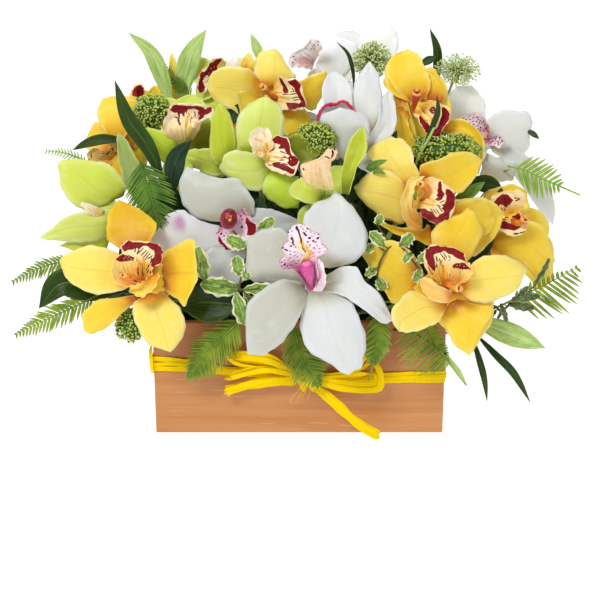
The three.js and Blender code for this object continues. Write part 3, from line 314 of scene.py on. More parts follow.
PET["M"] = blotch_material()
PET["YD"] = petal_material("petal_yellow_deep", lin(206, 112, 2), lin(240, 186, 26), lin(246, 202, 54), lin(250, 216, 96), lin(206, 136, 6), base_len=0.42, blush=lin(226, 154, 4), deep=lin(168, 66, 4))
PET["YE"] = petal_material("petal_yellow_amber", lin(200, 110, 2), lin(228, 174, 4), lin(236, 188, 12), lin(246, 206, 56), lin(206, 144, 4), base_len=0.45, blush=lin(216, 140, 2), deep=lin(160, 60, 4))
PET["GD"] = petal_material("petal_lime_deep", lin(146, 160, 10), lin(182, 196, 44), lin(204, 214, 84), lin(230, 234, 140), lin(140, 160, 20), base_len=0.35, blush=lin(150, 172, 14), deep=lin(110, 126, 8))
# GB: a brighter copy of the lime petal, painted light for petals that stand in full light
PET["GB"] = petal_material("petal_lime_painted_light", lin(176, 206, 20), lin(200, 226, 60), lin(214, 234, 96), lin(236, 242, 160), lin(160, 190, 30), base_len=0.3, blush=lin(184, 214, 30), deep=lin(140, 164, 10))
# YB: its very dark base and deep colours are painted shade at the foot of the petal, beside the throat
PET["YB"] = petal_material("petal_yellow_painted_base_shade", lin(120, 34, 2), lin(246, 196, 34), lin(250, 210, 66), lin(253, 224, 110), lin(206, 130, 6), base_len=0.5, blush=lin(214, 120, 4), deep=lin(92, 24, 2))
PET["GS"] = petal_material("petal_sage", lin(140, 160, 60), lin(152, 172, 92), lin(172, 190, 112), lin(196, 210, 140), lin(112, 136, 56), base_len=0.3, blush=lin(126, 150, 66), deep=lin(110, 130, 40))
PET["GO"] = petal_material("petal_olive", lin(96, 112, 14), lin(126, 142, 30), lin(150, 166, 44), lin(178, 190, 74), lin(92, 110, 16), base_len=0.3, blush=lin(100, 120, 14), deep=lin(80, 92, 8))
PET["WG"] = petal_material("petal_shaded_white", lin(176, 176, 156), lin(196, 197, 184), lin(206, 208, 202), lin(222, 224, 220), lin(186, 186, 174), base_len=0.35, blush=lin(186, 186, 168), deep=lin(160, 162, 140))
PET["PL"] = petal_material("petal_peach_lobe", lin(238, 166, 84), lin(250, 204, 112), lin(246, 192, 118), lin(252, 226, 160), lin(232, 162, 70), base_len=0.3, blush=lin(240, 184, 104), deep=lin(216, 126, 54))
# WB: an almost pure white copy of the white petal, painted light for petals washed out by the light
PET["WB"] = petal_material("petal_white_painted_light", lin(246, 246, 236), lin(253, 253, 251), lin(254, 254, 253), lin(255, 255, 255), lin(240, 240, 234), blush=lin(250, 250, 244), sss=0.3, rough=0.6)
PET["YP"] = petal_material("petal_yellow_pale", lin(232, 166, 20), lin(252, 222, 104), lin(253, 229, 140), lin(254, 238, 170), lin(226, 168, 30), base_len=0.34, blush=lin(242, 190, 40), deep=lin(190, 100, 10))
PET["GP"] = petal_material("petal_lime_pale", lin(176, 192, 44), lin(214, 225, 116), lin(226, 233, 158), lin(240, 242, 200), lin(160, 182, 50), base_len=0.3, blush=lin(190, 208, 60), deep=lin(140, 160, 24))


def red_lip_material(name, ground, throat, side, red):
    """Cream lip; the front lobe is edged in dark red, and the cream runs into it in streaks.
    Side lobes are peach with fine red lines; two yellow keels run down the middle."""
    M = Mat(name, rough=0.36, spec=0.4, sss=0.12)
    a = M.attr("fp").outputs["Vector"]
    u, v, s = M.xyz(a)
    av = M.math("ABSOLUTE", v)
    p = M.comb(M.math("MULTIPLY", u, 3.0), M.math("MULTIPLY", v, 3.0), M.math("MULTIPLY", s, 23.0))
    n1 = M.noise(p, 2.2, 3, 0.6)
    fan = M.math("ADD", M.math("MULTIPLY", v, 15.0), M.math("MULTIPLY", M.math("MULTIPLY", v, u), 4.0))
    n2 = M.noise(M.comb(M.math("MULTIPLY", u, 3.4), fan, M.math("MULTIPLY", s, 7.0)), 1.25, 3, 0.6)
    col = M.mix(M.step(u, 0.45, 0.10), ground, throat)
    sl = M.math("MULTIPLY", M.step(av, 0.38, 0.78), M.step(u, 0.66, 0.50))
    col = M.mix(sl, col, side)
    st = M.math("SINE", M.math("ADD", M.math("MULTIPLY", u, 58.0), M.math("MULTIPLY", n1, 16.0)))
    col = M.mix(M.math("MULTIPLY", M.math("MULTIPLY", M.step(st, 0.45, 0.95), sl), 0.40), col, lin(214, 96, 40))
    # red: whole margin of the front lobe, broken into streaks towards the throat
    front = M.math("ADD", u, M.math("MULTIPLY", av, 0.17))
    field = M.math("ADD", front, M.math("MULTIPLY", M.math("SUBTRACT", n1, 0.5), 0.16))
    solid = M.step(field, 0.865, 0.885)
    streak = M.math("ADD", front, M.math("MULTIPLY", M.math("SUBTRACT", n2, 0.5), 0.95))
    streak = M.math("MULTIPLY", M.step(streak, 0.80, 0.83), M.step(front, 0.58, 0.66))
    patch = M.math("MULTIPLY", M.step(M.noise(p, 1.5, 2), 0.50, 0.55), M.math("MULTIPLY", M.step(av, 0.40, 0.52), M.step(u, 0.52, 0.60)))
    red_m = M.math("MAXIMUM", M.math("MAXIMUM", solid, streak), patch)
    inlet = M.math("MULTIPLY", M.step(n2, 0.60, 0.66), M.step(front, 1.02, 0.90))
    rim = M.math("MULTIPLY", M.step(av, 0.965, 0.985), 0.8)
    keel = M.math("MULTIPLY", M.step(M.math("ABSOLUTE", M.math("SUBTRACT", av, 0.10)), 0.05, 0.02), M.step(u, 0.70, 0.60))
    red_m = M.math("MULTIPLY", red_m, M.math("SUBTRACT", 1.0, M.math("MAXIMUM", M.math("MAXIMUM", rim, keel), inlet), clamp=True))
    redc = M.mix(n2, red, lin(92, 4, 16))
    col = M.mix(red_m, col, redc)
    dots = M.voronoi(M.comb(M.math("MULTIPLY", u, 2.2), M.math("MULTIPLY", v, 1.6), s), 9.0)
    dm = M.math("MULTIPLY", M.step(dots, 0.17, 0.12), M.math("MULTIPLY", M.step(u, 0.28, 0.40), M.step(u, 0.66, 0.56)))
    col = M.mix(M.math("MULTIPLY", dm, 0.8), col, lin(120, 20, 24))
    col = M.mix(M.math("MULTIPLY", keel, 0.7), col, lin(253, 200, 50))
    M.color(col)
    M.bump(M.math("ADD", n2, M.math("MULTIPLY", M.noise(M.obj(), 700, 2), 0.5)), 0.3, 0.0008)
    return M.m


def spotted_lip_material(name, ground, edge, spots, size=0.21, freq=6.4):
    """Pale pink lip with purple spots, a thin maroon margin and a cream keel between dark lines."""
    M = Mat(name, rough=0.38, spec=0.4, sss=0.2)
    a = M.attr("fp").outputs["Vector"]
    u, v, s = M.xyz(a)
    av = M.math("ABSOLUTE", v)
    p = M.comb(M.math("MULTIPLY", u, 2.6), M.math("MULTIPLY", v, 1.9), M.math("MULTIPLY", s, 23.0))
    n1 = M.noise(p, 2.0, 3, 0.6)
    col = M.mix(M.step(n1, 0.35, 0.65), ground, lin(238, 206, 224))
    col = M.mix(M.step(av, 0.60, 1.0, 0.0, 0.55), col, edge)
    centre = M.math("MULTIPLY", M.step(av, 0.30, 0.10), M.step(u, 0.95, 0.62))
    col = M.mix(centre, col, lin(247, 222, 160))
    col = M.mix(M.step(u, 0.40, 0.10), col, lin(188, 50, 112))
    warp = M.math("ADD", M.math("MULTIPLY", u, 2.3), M.math("MULTIPLY", n1, 0.25))
    dist = M.voronoi(M.comb(warp, M.math("ADD", M.math("MULTIPLY", v, 1.35), M.math("MULTIPLY", n1, 0.2)), M.math("MULTIPLY", s, 3.0)), freq, rand=0.75)
    big = M.noise(p, 5.0, 2)
    spot = M.step(M.math("SUBTRACT", dist, M.math("MULTIPLY", M.math("SUBTRACT", big, 0.3), 0.42)), size + 0.03, size - 0.03)
    spot = M.math("MULTIPLY", spot, M.step(av, 0.14, 0.26))
    spot = M.math("MULTIPLY", spot, M.step(u, 0.22, 0.34))
    col = M.mix(spot, col, spots)
    rim = M.math("MULTIPLY", M.step(M.math("ADD", av, M.math("MULTIPLY", n1, 0.06)), 0.965, 0.99), M.step(u, 0.3, 0.45))
    col = M.mix(M.math("MULTIPLY", rim, 0.85), col, lin(110, 14, 56))
    lines = M.math("MULTIPLY", M.step(M.math("ABSOLUTE", M.math("SUBTRACT", av, 0.15)), 0.040, 0.015), M.math("MULTIPLY", M.step(u, 0.86, 0.70), M.step(u, 0.30, 0.42)))
    col = M.mix(M.math("MULTIPLY", lines, 0.9), col, lin(70, 12, 34))
    keel = M.math("MULTIPLY", M.step(M.math("ABSOLUTE", M.math("SUBTRACT", av, 0.06)), 0.06, 0.02), M.math("MULTIPLY", M.step(u, 0.72, 0.55), M.step(u, 0.30, 0.42)))
    col = M.mix(M.math("MULTIPLY", keel, 0.85), col, lin(247, 196, 70))
    M.color(col)
    M.bump(M.math("ADD", n1, M.math("MULTIPLY", M.noise(M.obj(), 700, 2), 0.5)), 0.25, 0.0008)
    return M.m


def cup_material():
    """Lip seen from outside: white, with a magenta line inside its mouth."""
    M = Mat("lip_white_cup", rough=0.4, spec=0.35, sss=0.3)
    u, v, s = M.xyz(M.attr("fp").outputs["Vector"])
    av = M.math("ABSOLUTE", v)
    n = M.noise(M.obj(), 160, 3, 0.6)
    e = M.math("MAXIMUM", av, M.step(u, 0.80, 1.0))
    e = M.math("ADD", e, M.math("MULTIPLY", M.math("SUBTRACT", n, 0.5), 0.06))
    col = M.mix(n, lin(238, 232, 232), lin(226, 214, 220))
    col = M.mix(M.step(e, 0.80, 0.90), col, lin(186, 14, 78))
    col = M.mix(M.step(e, 0.975, 0.995), col, lin(236, 214, 224))
    M.color(col)
    M.bump(n, 0.25, 0.0008)
    return M.m


LIP = {
    "Y": red_lip_material("lip_yellow", lin(255, 232, 168), lin(250, 190, 70), lin(249, 190, 104), lin(136, 8, 24)),
    "G": red_lip_material("lip_lime", lin(251, 236, 190), lin(250, 214, 130), lin(246, 204, 158), lin(134, 8, 26)),
    "W": spotted_lip_material("lip_white", lin(247, 226, 238), lin(226, 160, 196), lin(74, 8, 44)),
    "C": cup_material(),
}


def drawn_lip_material(name, ground, throat, rim, second, warm, freckle=0.0):
    """Lip whose markings come from the attribute fm: x is the depth in mm inside a dark red area, y
    inside a second, softer one. Both margins are ragged, as the pigment follows the fine veins."""
    M = Mat(name, rough=0.42, spec=0.22, sss=0.08)
    u, v, s = M.xyz(M.attr("fp").outputs["Vector"])
    x, y, z = M.xyz(M.attr("fm").outputs["Vector"])
    av = M.math("ABSOLUTE", v)
    n1 = M.noise(M.comb(M.math("MULTIPLY", u, 4.0), M.math("MULTIPLY", v, 3.0), M.math("MULTIPLY", s, 23.0)), 2.2, 3, 0.6)
    n2 = M.noise(M.comb(M.math("MULTIPLY", u, 5.0), M.math("MULTIPLY", v, 15.0), M.math("MULTIPLY", s, 7.0)), 1.6, 3, 0.6)
    col = M.mix(M.step(u, 0.55, 0.12), ground, throat)
    col = M.mix(M.math("MULTIPLY", M.step(n1, 0.45, 0.7), 0.55), col, warm)
    col = M.mix(M.math("MULTIPLY", M.step(n2, 0.55, 0.75), 0.30), col, warm)
    col = M.mix(M.math("MULTIPLY", M.step(av, 0.84, 0.97), 0.55), col, rim)
    soft = M.step(M.math("ADD", y, M.math("MULTIPLY", M.math("SUBTRACT", n1, 0.5), 3.0)), -0.6, 1.2)
    col = M.mix(M.math("MULTIPLY", soft, 0.85), col, second)
    if freckle:
        dist = M.voronoi(M.comb(M.math("MULTIPLY", u, 3.4), M.math("MULTIPLY", v, 2.0), M.math("MULTIPLY", s, 3.0)), 9.0, rand=0.9)
        f = M.math("MULTIPLY", M.step(dist, 0.16, 0.10), M.math("MULTIPLY", M.step(av, 0.3, 0.5), M.step(u, 0.2, 0.4)))
        col = M.mix(M.math("MULTIPLY", f, freckle), col, lin(130, 30, 80))
    edge = M.math("ADD", x, M.math("MULTIPLY", M.math("SUBTRACT", n2, 0.5), 1.1))
    redc = M.mix(M.step(n1, 0.35, 0.7), lin(146, 2, 22), lin(98, 0, 12))
    redc = M.mix(M.math("MULTIPLY", M.step(n2, 0.6, 0.8), 0.5), redc, lin(56, 0, 8))
    col = M.mix(M.step(edge, -0.10, 0.14), col, redc)
    M.color(col)
    M.bump(M.math("ADD", n2, M.math("MULTIPLY", M.noise(M.obj(), 700, 2), 0.5)), 0.3, 0.0008)
    return M.m


def plain_mark(name, a, b, rough=0.4):
    """Small mark on a lip: one pigment with a little variation."""
    M = Mat(name, rough=rough, spec=0.4)
    n = M.noise(M.obj(), 900, 3, 0.6)
    M.color(M.mix(n, a, b))
    M.bump(n, 0.3, 0.0003)
    return M.m


MARK = {
    "r": plain_mark("mark_red", lin(132, 2, 16), lin(84, 0, 8)), "k": plain_mark("mark_keel", lin(250, 196, 40), lin(238, 160, 20)),
    "o": plain_mark("mark_orange", lin(246, 176, 90), lin(238, 146, 64)), "p": plain_mark("mark_peach", lin(248, 208, 160), lin(244, 190, 140)), "g": plain_mark("mark_magenta", lin(208, 18, 86), lin(168, 6, 58)), "w": plain_mark("mark_pale", lin(244, 224, 226), lin(236, 206, 212)), "b": plain_mark("mark_brown", lin(120, 50, 14), lin(84, 30, 8)),
    "d": plain_mark("mark_purple", lin(66, 6, 34), lin(36, 2, 20)), "m": plain_mark("mark_maroon", lin(138, 16, 66), lin(100, 8, 44)),
    "c": plain_mark("mark_cream", lin(252, 226, 190), lin(248, 210, 160)), "y": plain_mark("mark_callus", lin(248, 206, 50), lin(232, 170, 20)),
}
INK = {
    ("W", "soft"): drawn_lip_material("lip_white_pale", lin(244, 236, 238), lin(232, 206, 212), lin(240, 226, 232), lin(232, 184, 194), lin(242, 228, 232)),
    ("Y", "lip"): drawn_lip_material("lip_yellow_front", lin(253, 232, 178), lin(250, 200, 60), lin(252, 206, 160), lin(238, 140, 60), lin(252, 214, 130)),
    ("Y", "outside"): drawn_lip_material("lip_tawny", lin(240, 196, 130), lin(236, 170, 60), lin(250, 216, 170), lin(150, 84, 30), lin(214, 150, 80)),
    ("G", "lip"): drawn_lip_material("lip_lime_front", lin(251, 234, 194), lin(250, 216, 140), lin(248, 206, 180), lin(244, 190, 140), lin(250, 214, 170)),
    ("G", "outside"): drawn_lip_material("lip_peach", lin(250, 214, 168), lin(238, 226, 150), lin(246, 190, 150), lin(244, 176, 140), lin(246, 180, 140)),
    ("W", "lip"): drawn_lip_material("lip_white_front", lin(246, 224, 234), lin(206, 90, 146), lin(226, 170, 196), lin(251, 226, 184), lin(240, 206, 222), 0.3),
    ("Y", "side"): drawn_lip_material("lobe_peach", lin(251, 224, 132), lin(244, 176, 70), lin(252, 230, 170), lin(240, 150, 70), lin(248, 196, 100)),
    ("Y", "deep"): drawn_lip_material("lobe_gold", lin(252, 220, 100), lin(234, 160, 20), lin(254, 234, 150), lin(226, 140, 30), lin(246, 196, 60)),
    ("G", "side"): drawn_lip_material("lobe_lime_side", lin(248, 238, 200), lin(246, 214, 120), lin(250, 244, 220), lin(246, 196, 150), lin(250, 214, 170)),
    ("W", "side"): drawn_lip_material("lobe_white", lin(250, 244, 246), lin(244, 218, 228), lin(246, 230, 236), lin(240, 204, 218), lin(248, 234, 240)),
}


def side_lobe_material():
    """Pale side lobe with a few fine lines."""
    M = Mat("lip_side", rough=0.4, spec=0.35, sss=0.25)
    u, v, s = M.xyz(M.attr("fp").outputs["Vector"])
    n = M.noise(M.comb(M.math("MULTIPLY", u, 3.0), M.math("MULTIPLY", v, 8.0), s), 2.0, 3, 0.6)
    col = M.mix(M.step(u, 0.1, 0.9), lin(250, 222, 150), lin(247, 240, 206))
    col = M.mix(M.step(n, 0.55, 0.7, 0.0, 0.4), col, lin(246, 196, 130))
    M.color(col)
    M.bump(n, 0.25, 0.0006)
    return M.m


LIP["S"] = side_lobe_material()


def column_material(name, base, mid, tip, streak):
    M = Mat(name, rough=0.35, spec=0.45, sss=0.2)
    a = M.attr("fp").outputs["Vector"]
    u, v, s = M.xyz(a)
    n = M.noise(M.comb(M.math("MULTIPLY", u, 3.0), M.math("MULTIPLY", v, 9.0), s), 2.4, 3, 0.6)
    col = M.ramp(u, [(0.0, base), (0.55, mid), (0.86, mid), (0.93, tip), (1.0, tip)], "EASE")
    col = M.mix(M.math("MULTIPLY", M.step(n, 0.52, 0.62), M.step(u, 0.9, 0.8)), col, streak)
    M.color(col)
    M.bump(n, 0.25, 0.0006)
    return M.m


COL = {
    "Y": column_material("column_yellow", lin(196, 92, 20), lin(240, 150, 50), lin(250, 196, 110), lin(178, 44, 20)),
    "G": column_material("column_lime", lin(200, 190, 70), lin(240, 214, 120), lin(252, 236, 190), lin(176, 96, 40)),
    "W": column_material("column_white", lin(150, 30, 70), lin(190, 60, 120), lin(246, 226, 190), lin(110, 14, 44)),
    "pink": column_material("column_magenta", lin(150, 30, 60), lin(214, 84, 156), lin(236, 130, 190), lin(170, 40, 100)),
    "ring": column_material("column_maroon", lin(150, 20, 50), lin(132, 10, 36), lin(108, 4, 22), lin(186, 70, 90)),
    "tip": column_material("column_orange", lin(222, 140, 50), lin(176, 62, 24), lin(246, 176, 84), lin(150, 34, 16)),
}


def stem_material():
    M = Mat("pedicel", rough=0.45, spec=0.4, sss=0.1)
    n = M.noise(M.mapping(M.obj(), (1, 1, 0.15)), 260, 3)
    M.color(M.mix(n, lin(150, 176, 78), lin(118, 142, 60)))
    M.bump(n, 0.3, 0.0006)
    return M.m


STEM = stem_material()


def leaf_material(name, dark, light, rib, rough=0.3, sss=0.08, under=None):
    """Strap leaf: midrib, close parallel veins, duller underside."""
    M = Mat(name, rough=rough, spec=0.26, sss=sss)
    a = M.attr("fp").outputs["Vector"]
    side = M.attr("fs").outputs["Fac"]
    u, v, s = M.xyz(a)
    av = M.math("ABSOLUTE", v)
    n = M.noise(M.comb(M.math("MULTIPLY", u, 2.5), M.math("MULTIPLY", v, 1.4), M.math("MULTIPLY", s, 13.0)), 2.0, 4, 0.6)
    vn = M.noise(M.comb(M.math("MULTIPLY", u, 1.2), M.math("MULTIPLY", v, 26.0), M.math("MULTIPLY", s, 5.0)), 1.4, 3, 0.6)
    col = M.mix(M.step(n, 0.3, 0.72), dark, light)
    col = M.mix(M.math("MULTIPLY", M.step(vn, 0.48, 0.7), 0.35), col, rib)
    col = M.mix(M.math("MULTIPLY", M.step(av, 0.07, 0.015), 0.75), col, rib)
    col = M.mix(M.math("MULTIPLY", M.step(av, 0.9, 1.0), 0.35), col, rib)
    if under is not None:
        col = M.mix(M.math("MULTIPLY", side, 0.7), col, under)
    M.color(col)
    h = M.math("ADD", M.math("MULTIPLY", vn, 0.8), M.step(av, 0.08, 0.0, 0.0, -0.8))
    M.bump(h, 0.35, 0.0008)
    M.rough(M.step(vn, 0.3, 0.8, rough, rough + 0.16))
    return M.m


LEAF = {
    "dark": leaf_material("leaf_dark", lin(16, 42, 1), lin(38, 68, 4), lin(84, 112, 26), 0.24, under=lin(44, 80, 30)),
    "blue": leaf_material("leaf_blue", lin(6, 34, 14), lin(14, 50, 24), lin(52, 94, 50), 0.22, under=lin(34, 74, 46)),
    "mid": leaf_material("leaf_mid", lin(62, 108, 26), lin(104, 148, 52), lin(160, 190, 96), 0.4, sss=0.15, under=lin(110, 150, 70)),
    "light": leaf_material("leaf_light", lin(136, 176, 84), lin(186, 216, 130), lin(218, 232, 180), 0.42, sss=0.2, under=lin(150, 186, 120)),
    # fill: dark leaves inside the bunch; their darkness is partly the leaves' own colour, partly painted shade of the
    # interior
    "fill": leaf_material("leaf_fill", lin(18, 40, 14), lin(34, 66, 24), lin(66, 98, 44), 0.45, under=lin(40, 70, 32)),
}


def frond_material(name, dark, light, tip):
    M = Mat(name, rough=0.5, spec=0.3, sss=0.12)
    a = M.attr("fp").outputs["Vector"]
    u, v, s = M.xyz(a)
    n = M.noise(M.obj(), 60, 3, 0.6)
    f = M.noise(M.comb(M.math("MULTIPLY", u, 4.0), M.math("MULTIPLY", v, 6.0), M.math("MULTIPLY", s, 9.0)), 2.0, 3)
    col = M.mix(M.step(n, 0.35, 0.7), dark, light)
    col = M.mix(M.math("MULTIPLY", M.step(M.math("ABSOLUTE", v), 0.25, 0.0), 0.4), col, tip)
    col = M.mix(M.math("MULTIPLY", M.step(u, 0.45, 1.0), 0.4), col, tip)
    col = M.mix(M.math("MULTIPLY", f, 0.35), col, dark)
    M.color(col)
    M.bump(f, 0.4, 0.0006)
    return M.m


FROND = {
    "dark": frond_material("frond_dark", lin(50, 92, 16), lin(96, 142, 34), lin(158, 190, 78)),
    "mid": frond_material("frond_mid", lin(90, 128, 26), lin(150, 174, 48), lin(192, 208, 86)),
    "pale": frond_material("frond_pale", lin(116, 160, 50), lin(160, 194, 80), lin(196, 218, 120)),
}


def bud_material():
    M = Mat("buds", rough=0.5, spec=0.3, sss=0.15)
    a = M.attr("fp").outputs["Vector"]
    u, v, s = M.xyz(a)
    n = M.noise(M.obj(), 300, 2)
    # each bud darkens towards its root, painted shade of the gaps between buds, and pales to its own yellowish top
    col = M.ramp(u, [(0.0, lin(84, 116, 20)), (0.40, lin(140, 168, 44)), (0.75, lin(192, 208, 90)), (1.0, lin(226, 230, 150))])
    col = M.mix(M.step(s, 0.1, 0.9, 0.0, 0.5), col, lin(140, 166, 56))
    col = M.mix(M.math("MULTIPLY", n, 0.2), col, lin(76, 104, 32))
    M.color(col)
    M.bump(n, 0.4, 0.0004)
    return M.m


BUD = bud_material()


def pale_bud_material():
    M = Mat("pale_buds", rough=0.55, spec=0.25, sss=0.15)
    a = M.attr("fp").outputs["Vector"]
    u, v, s = M.xyz(a)
    n = M.noise(M.obj(), 300, 2)
    # the near-white tips are partly the buds' pale colour, partly a painted highlight
    col = M.ramp(u, [(0.0, lin(150, 176, 76)), (0.45, lin(198, 214, 130)), (0.8, lin(232, 238, 196)), (1.0, lin(250, 250, 236))])
    col = M.mix(M.step(s, 0.1, 0.9, 0.0, 0.6), col, lin(160, 186, 84))
    col = M.mix(M.math("MULTIPLY", n, 0.15), col, lin(110, 140, 50))
    M.color(col)
    M.bump(n, 0.4, 0.0004)
    return M.m


BUD_PALE = pale_bud_material()


def core_material():
    M = Mat("bud_core", rough=0.8, spec=0.2)
    n = M.noise(M.obj(), 500, 3)
    # painted shade: the core only shows in the gaps between the buds, and its dark colour stands in for their shade
    M.color(M.mix(n, lin(40, 64, 24), lin(84, 118, 46)))
    M.bump(n, 0.8, 0.001)
    return M.m


CORE = core_material()


def pittosporum_material():
    M = Mat("variegated_leaf", rough=0.4, spec=0.4, sss=0.12)
    a = M.attr("fp").outputs["Vector"]
    u, v, s = M.xyz(a)
    av = M.math("ABSOLUTE", v)
    n = M.noise(M.comb(M.math("MULTIPLY", u, 3.0), M.math("MULTIPLY", v, 1.6), M.math("MULTIPLY", s, 19.0)), 2.4, 3, 0.6)
    green = M.mix(M.step(n, 0.4, 0.65), lin(96, 136, 44), lin(150, 178, 78))
    edge = M.math("ADD", av, M.math("MULTIPLY", M.math("SUBTRACT", n, 0.5), 0.55))
    edge = M.math("MAXIMUM", edge, M.step(u, 0.88, 1.0))
    col = M.mix(M.step(edge, 0.70, 0.78), green, lin(228, 228, 186))
    col = M.mix(M.math("MULTIPLY", M.step(av, 0.08, 0.02), 0.6), col, lin(196, 212, 150))
    M.color(col)
    M.bump(n, 0.3, 0.0008)
    return M.m


PITTO = pittosporum_material()


def dusky_leaf_material():
    M = Mat("dusky_leaf", rough=0.5, spec=0.3, sss=0.08)
    a = M.attr("fp").outputs["Vector"]
    u, v, s = M.xyz(a)
    n = M.noise(M.comb(M.math("MULTIPLY", u, 3.0), M.math("MULTIPLY", v, 1.6), M.math("MULTIPLY", s, 19.0)), 2.4, 3, 0.6)
    col = M.mix(M.step(n, 0.35, 0.65), lin(40, 66, 26), lin(104, 122, 72))
    col = M.mix(M.math("MULTIPLY", M.step(M.math("ABSOLUTE", v), 0.8, 0.95), 0.7), col, lin(170, 178, 132))
    M.color(col)
    M.bump(n, 0.35, 0.0008)
    return M.m


DUSKY = dusky_leaf_material()


def twig_material():
    M = Mat("twig", rough=0.7, spec=0.3)
    n = M.noise(M.obj(), 300, 3)
    M.color(M.mix(n, lin(74, 72, 44), lin(112, 116, 66)))
    M.bump(n, 0.5, 0.0006)
    return M.m


TWIG = twig_material()


def raffia_material():
    """Flattened palm fibre: long fine streaks of varying tone. The colour runs darker orange where the bump is low and
    paler where it is high: painted shade in the creases and painted light on the ridges, over the fibre's own streaks.
    """
    M = Mat("raffia", rough=0.62, spec=0.08, sss=0.12)
    a = M.attr("fp").outputs["Vector"]
    u, v, s = M.xyz(a)
    p = M.comb(M.math("MULTIPLY", u, 9.0), M.math("MULTIPLY", v, 11.0), M.math("MULTIPLY", s, 31.0))
    fine = M.noise(p, 2.6, 4, 0.6)
    wide = M.noise(M.comb(M.math("MULTIPLY", u, 3.0), M.math("MULTIPLY", v, 2.2), M.math("MULTIPLY", s, 11.0)), 1.7, 3, 0.5)
    # colour and bump share this noise: low creases are painted darker as shade, high ridges paler as light
    col = M.ramp(M.math("ADD", M.math("MULTIPLY", fine, 0.6), M.math("MULTIPLY", wide, 0.4)),
                 [(0.20, lin(250, 176, 0)), (0.36, lin(255, 208, 0)), (0.60, lin(255, 218, 0)), (0.85, lin(255, 232, 8))])
    M.color(col)
    h = M.math("ADD", M.math("MULTIPLY", fine, 1.0), M.math("MULTIPLY", wide, 0.6))
    M.bump(h, 0.3, 0.0004)
    return M.m


RAFFIA = raffia_material()


def wood_material(name, axis, tone=1.0):
    """Smooth stained softwood; the grain runs along axis 0 (X) or 1 (Y). Towards the top the boards are darkened, a
    painted shadow of the flowers above.
    """
    M = Mat(name, rough=0.5, spec=0.35, coat=0.08)
    along, across = (2.2, 46.0)
    sc = [across, across, across]
    sc[axis] = along
    o = M.obj()
    warp = M.noise(M.mapping(o, tuple(6.0 if i != axis else 3.0 for i in range(3))), 1.0, 2, 0.5)
    add = M.node("ShaderNodeVectorMath", operation="ADD")
    M.link(M.mapping(o, tuple(sc)), add.inputs[0])
    M.link(M.comb(0.0, 0.0, M.math("MULTIPLY", warp, 1.3)), add.inputs[1])
    g1 = M.noise(add.outputs[0], 1.0, 5, 0.62)
    sc2 = [420.0] * 3; sc2[axis] = 9.0
    g2 = M.noise(M.mapping(o, tuple(sc2)), 1.0, 4, 0.6)
    sc3 = [9.0] * 3; sc3[axis] = 2.6
    g3 = M.noise(M.mapping(o, tuple(sc3), (3.1, 0.4, 1.7)), 1.0, 2, 0.5)
    t = tone
    col = M.ramp(g1, [(0.25, lin(178 * t, 108 * t, 54 * t)), (0.45, lin(200 * t, 132 * t, 74 * t)), (0.6, lin(208 * t, 144 * t, 86 * t)), (0.8, lin(220 * t, 162 * t, 106 * t))])
    col = M.mix(M.step(g2, 0.35, 0.75, 0.0, 0.34), col, lin(168 * t, 98 * t, 50 * t))
    col = M.mix(M.step(g3, 0.45, 0.75, 0.0, 0.4), col, lin(216 * t, 154 * t, 98 * t))
    sc4 = [620.0] * 3; sc4[axis] = 26.0
    g4 = M.noise(M.mapping(o, tuple(sc4), (0.7, 2.2, 5.1)), 1.0, 2, 0.5)
    col = M.mix(M.step(g4, 0.66, 0.72, 0.0, 0.45), col, lin(232 * t, 190 * t, 140 * t))
    # painted shadow: from 52 mm up the wood blends towards a darker brown, the shade the flowers cast on the top of the
    # box
    z = M.xyz(o)[2]
    col = M.mix(M.step(z, 0.052, 0.085, 0.0, 0.42), col, lin(172 * t, 98 * t, 50 * t))
    M.color(col)
    h = M.math("ADD", M.math("MULTIPLY", g2, 0.7), M.math("MULTIPLY", g1, 0.5))
    M.bump(h, 0.22, 0.0006)
    M.rough(M.step(g2, 0.3, 0.8, 0.42, 0.58))
    return M.m


WOOD_X = wood_material("wood_long_boards", 0, 0.97)
WOOD_Y = wood_material("wood_end_boards", 1, 0.91)


def foam_material():
    M = Mat("foam", rough=0.95, spec=0.1)
    n = M.noise(M.obj(), 700, 3, 0.7)
    w = M.noise(M.obj(), 22, 2)
    M.color(M.mix(n, lin(26, 54, 34), M.mix(w, lin(58, 96, 54), lin(44, 80, 50))))
    M.bump(n, 0.9, 0.0015)
    return M.m


FOAM = foam_material()

floor_m = Mat("studio_floor", rough=0.9, spec=0.0)
floor_m.b.inputs["Base Color"].default_value = (0.35, 0.35, 0.35, 1)
floor_m.b.inputs["Emission Color"].default_value = (1, 1, 1, 1)
floor_m.b.inputs["Emission Strength"].default_value = 0.92
FLOOR = floor_m.m


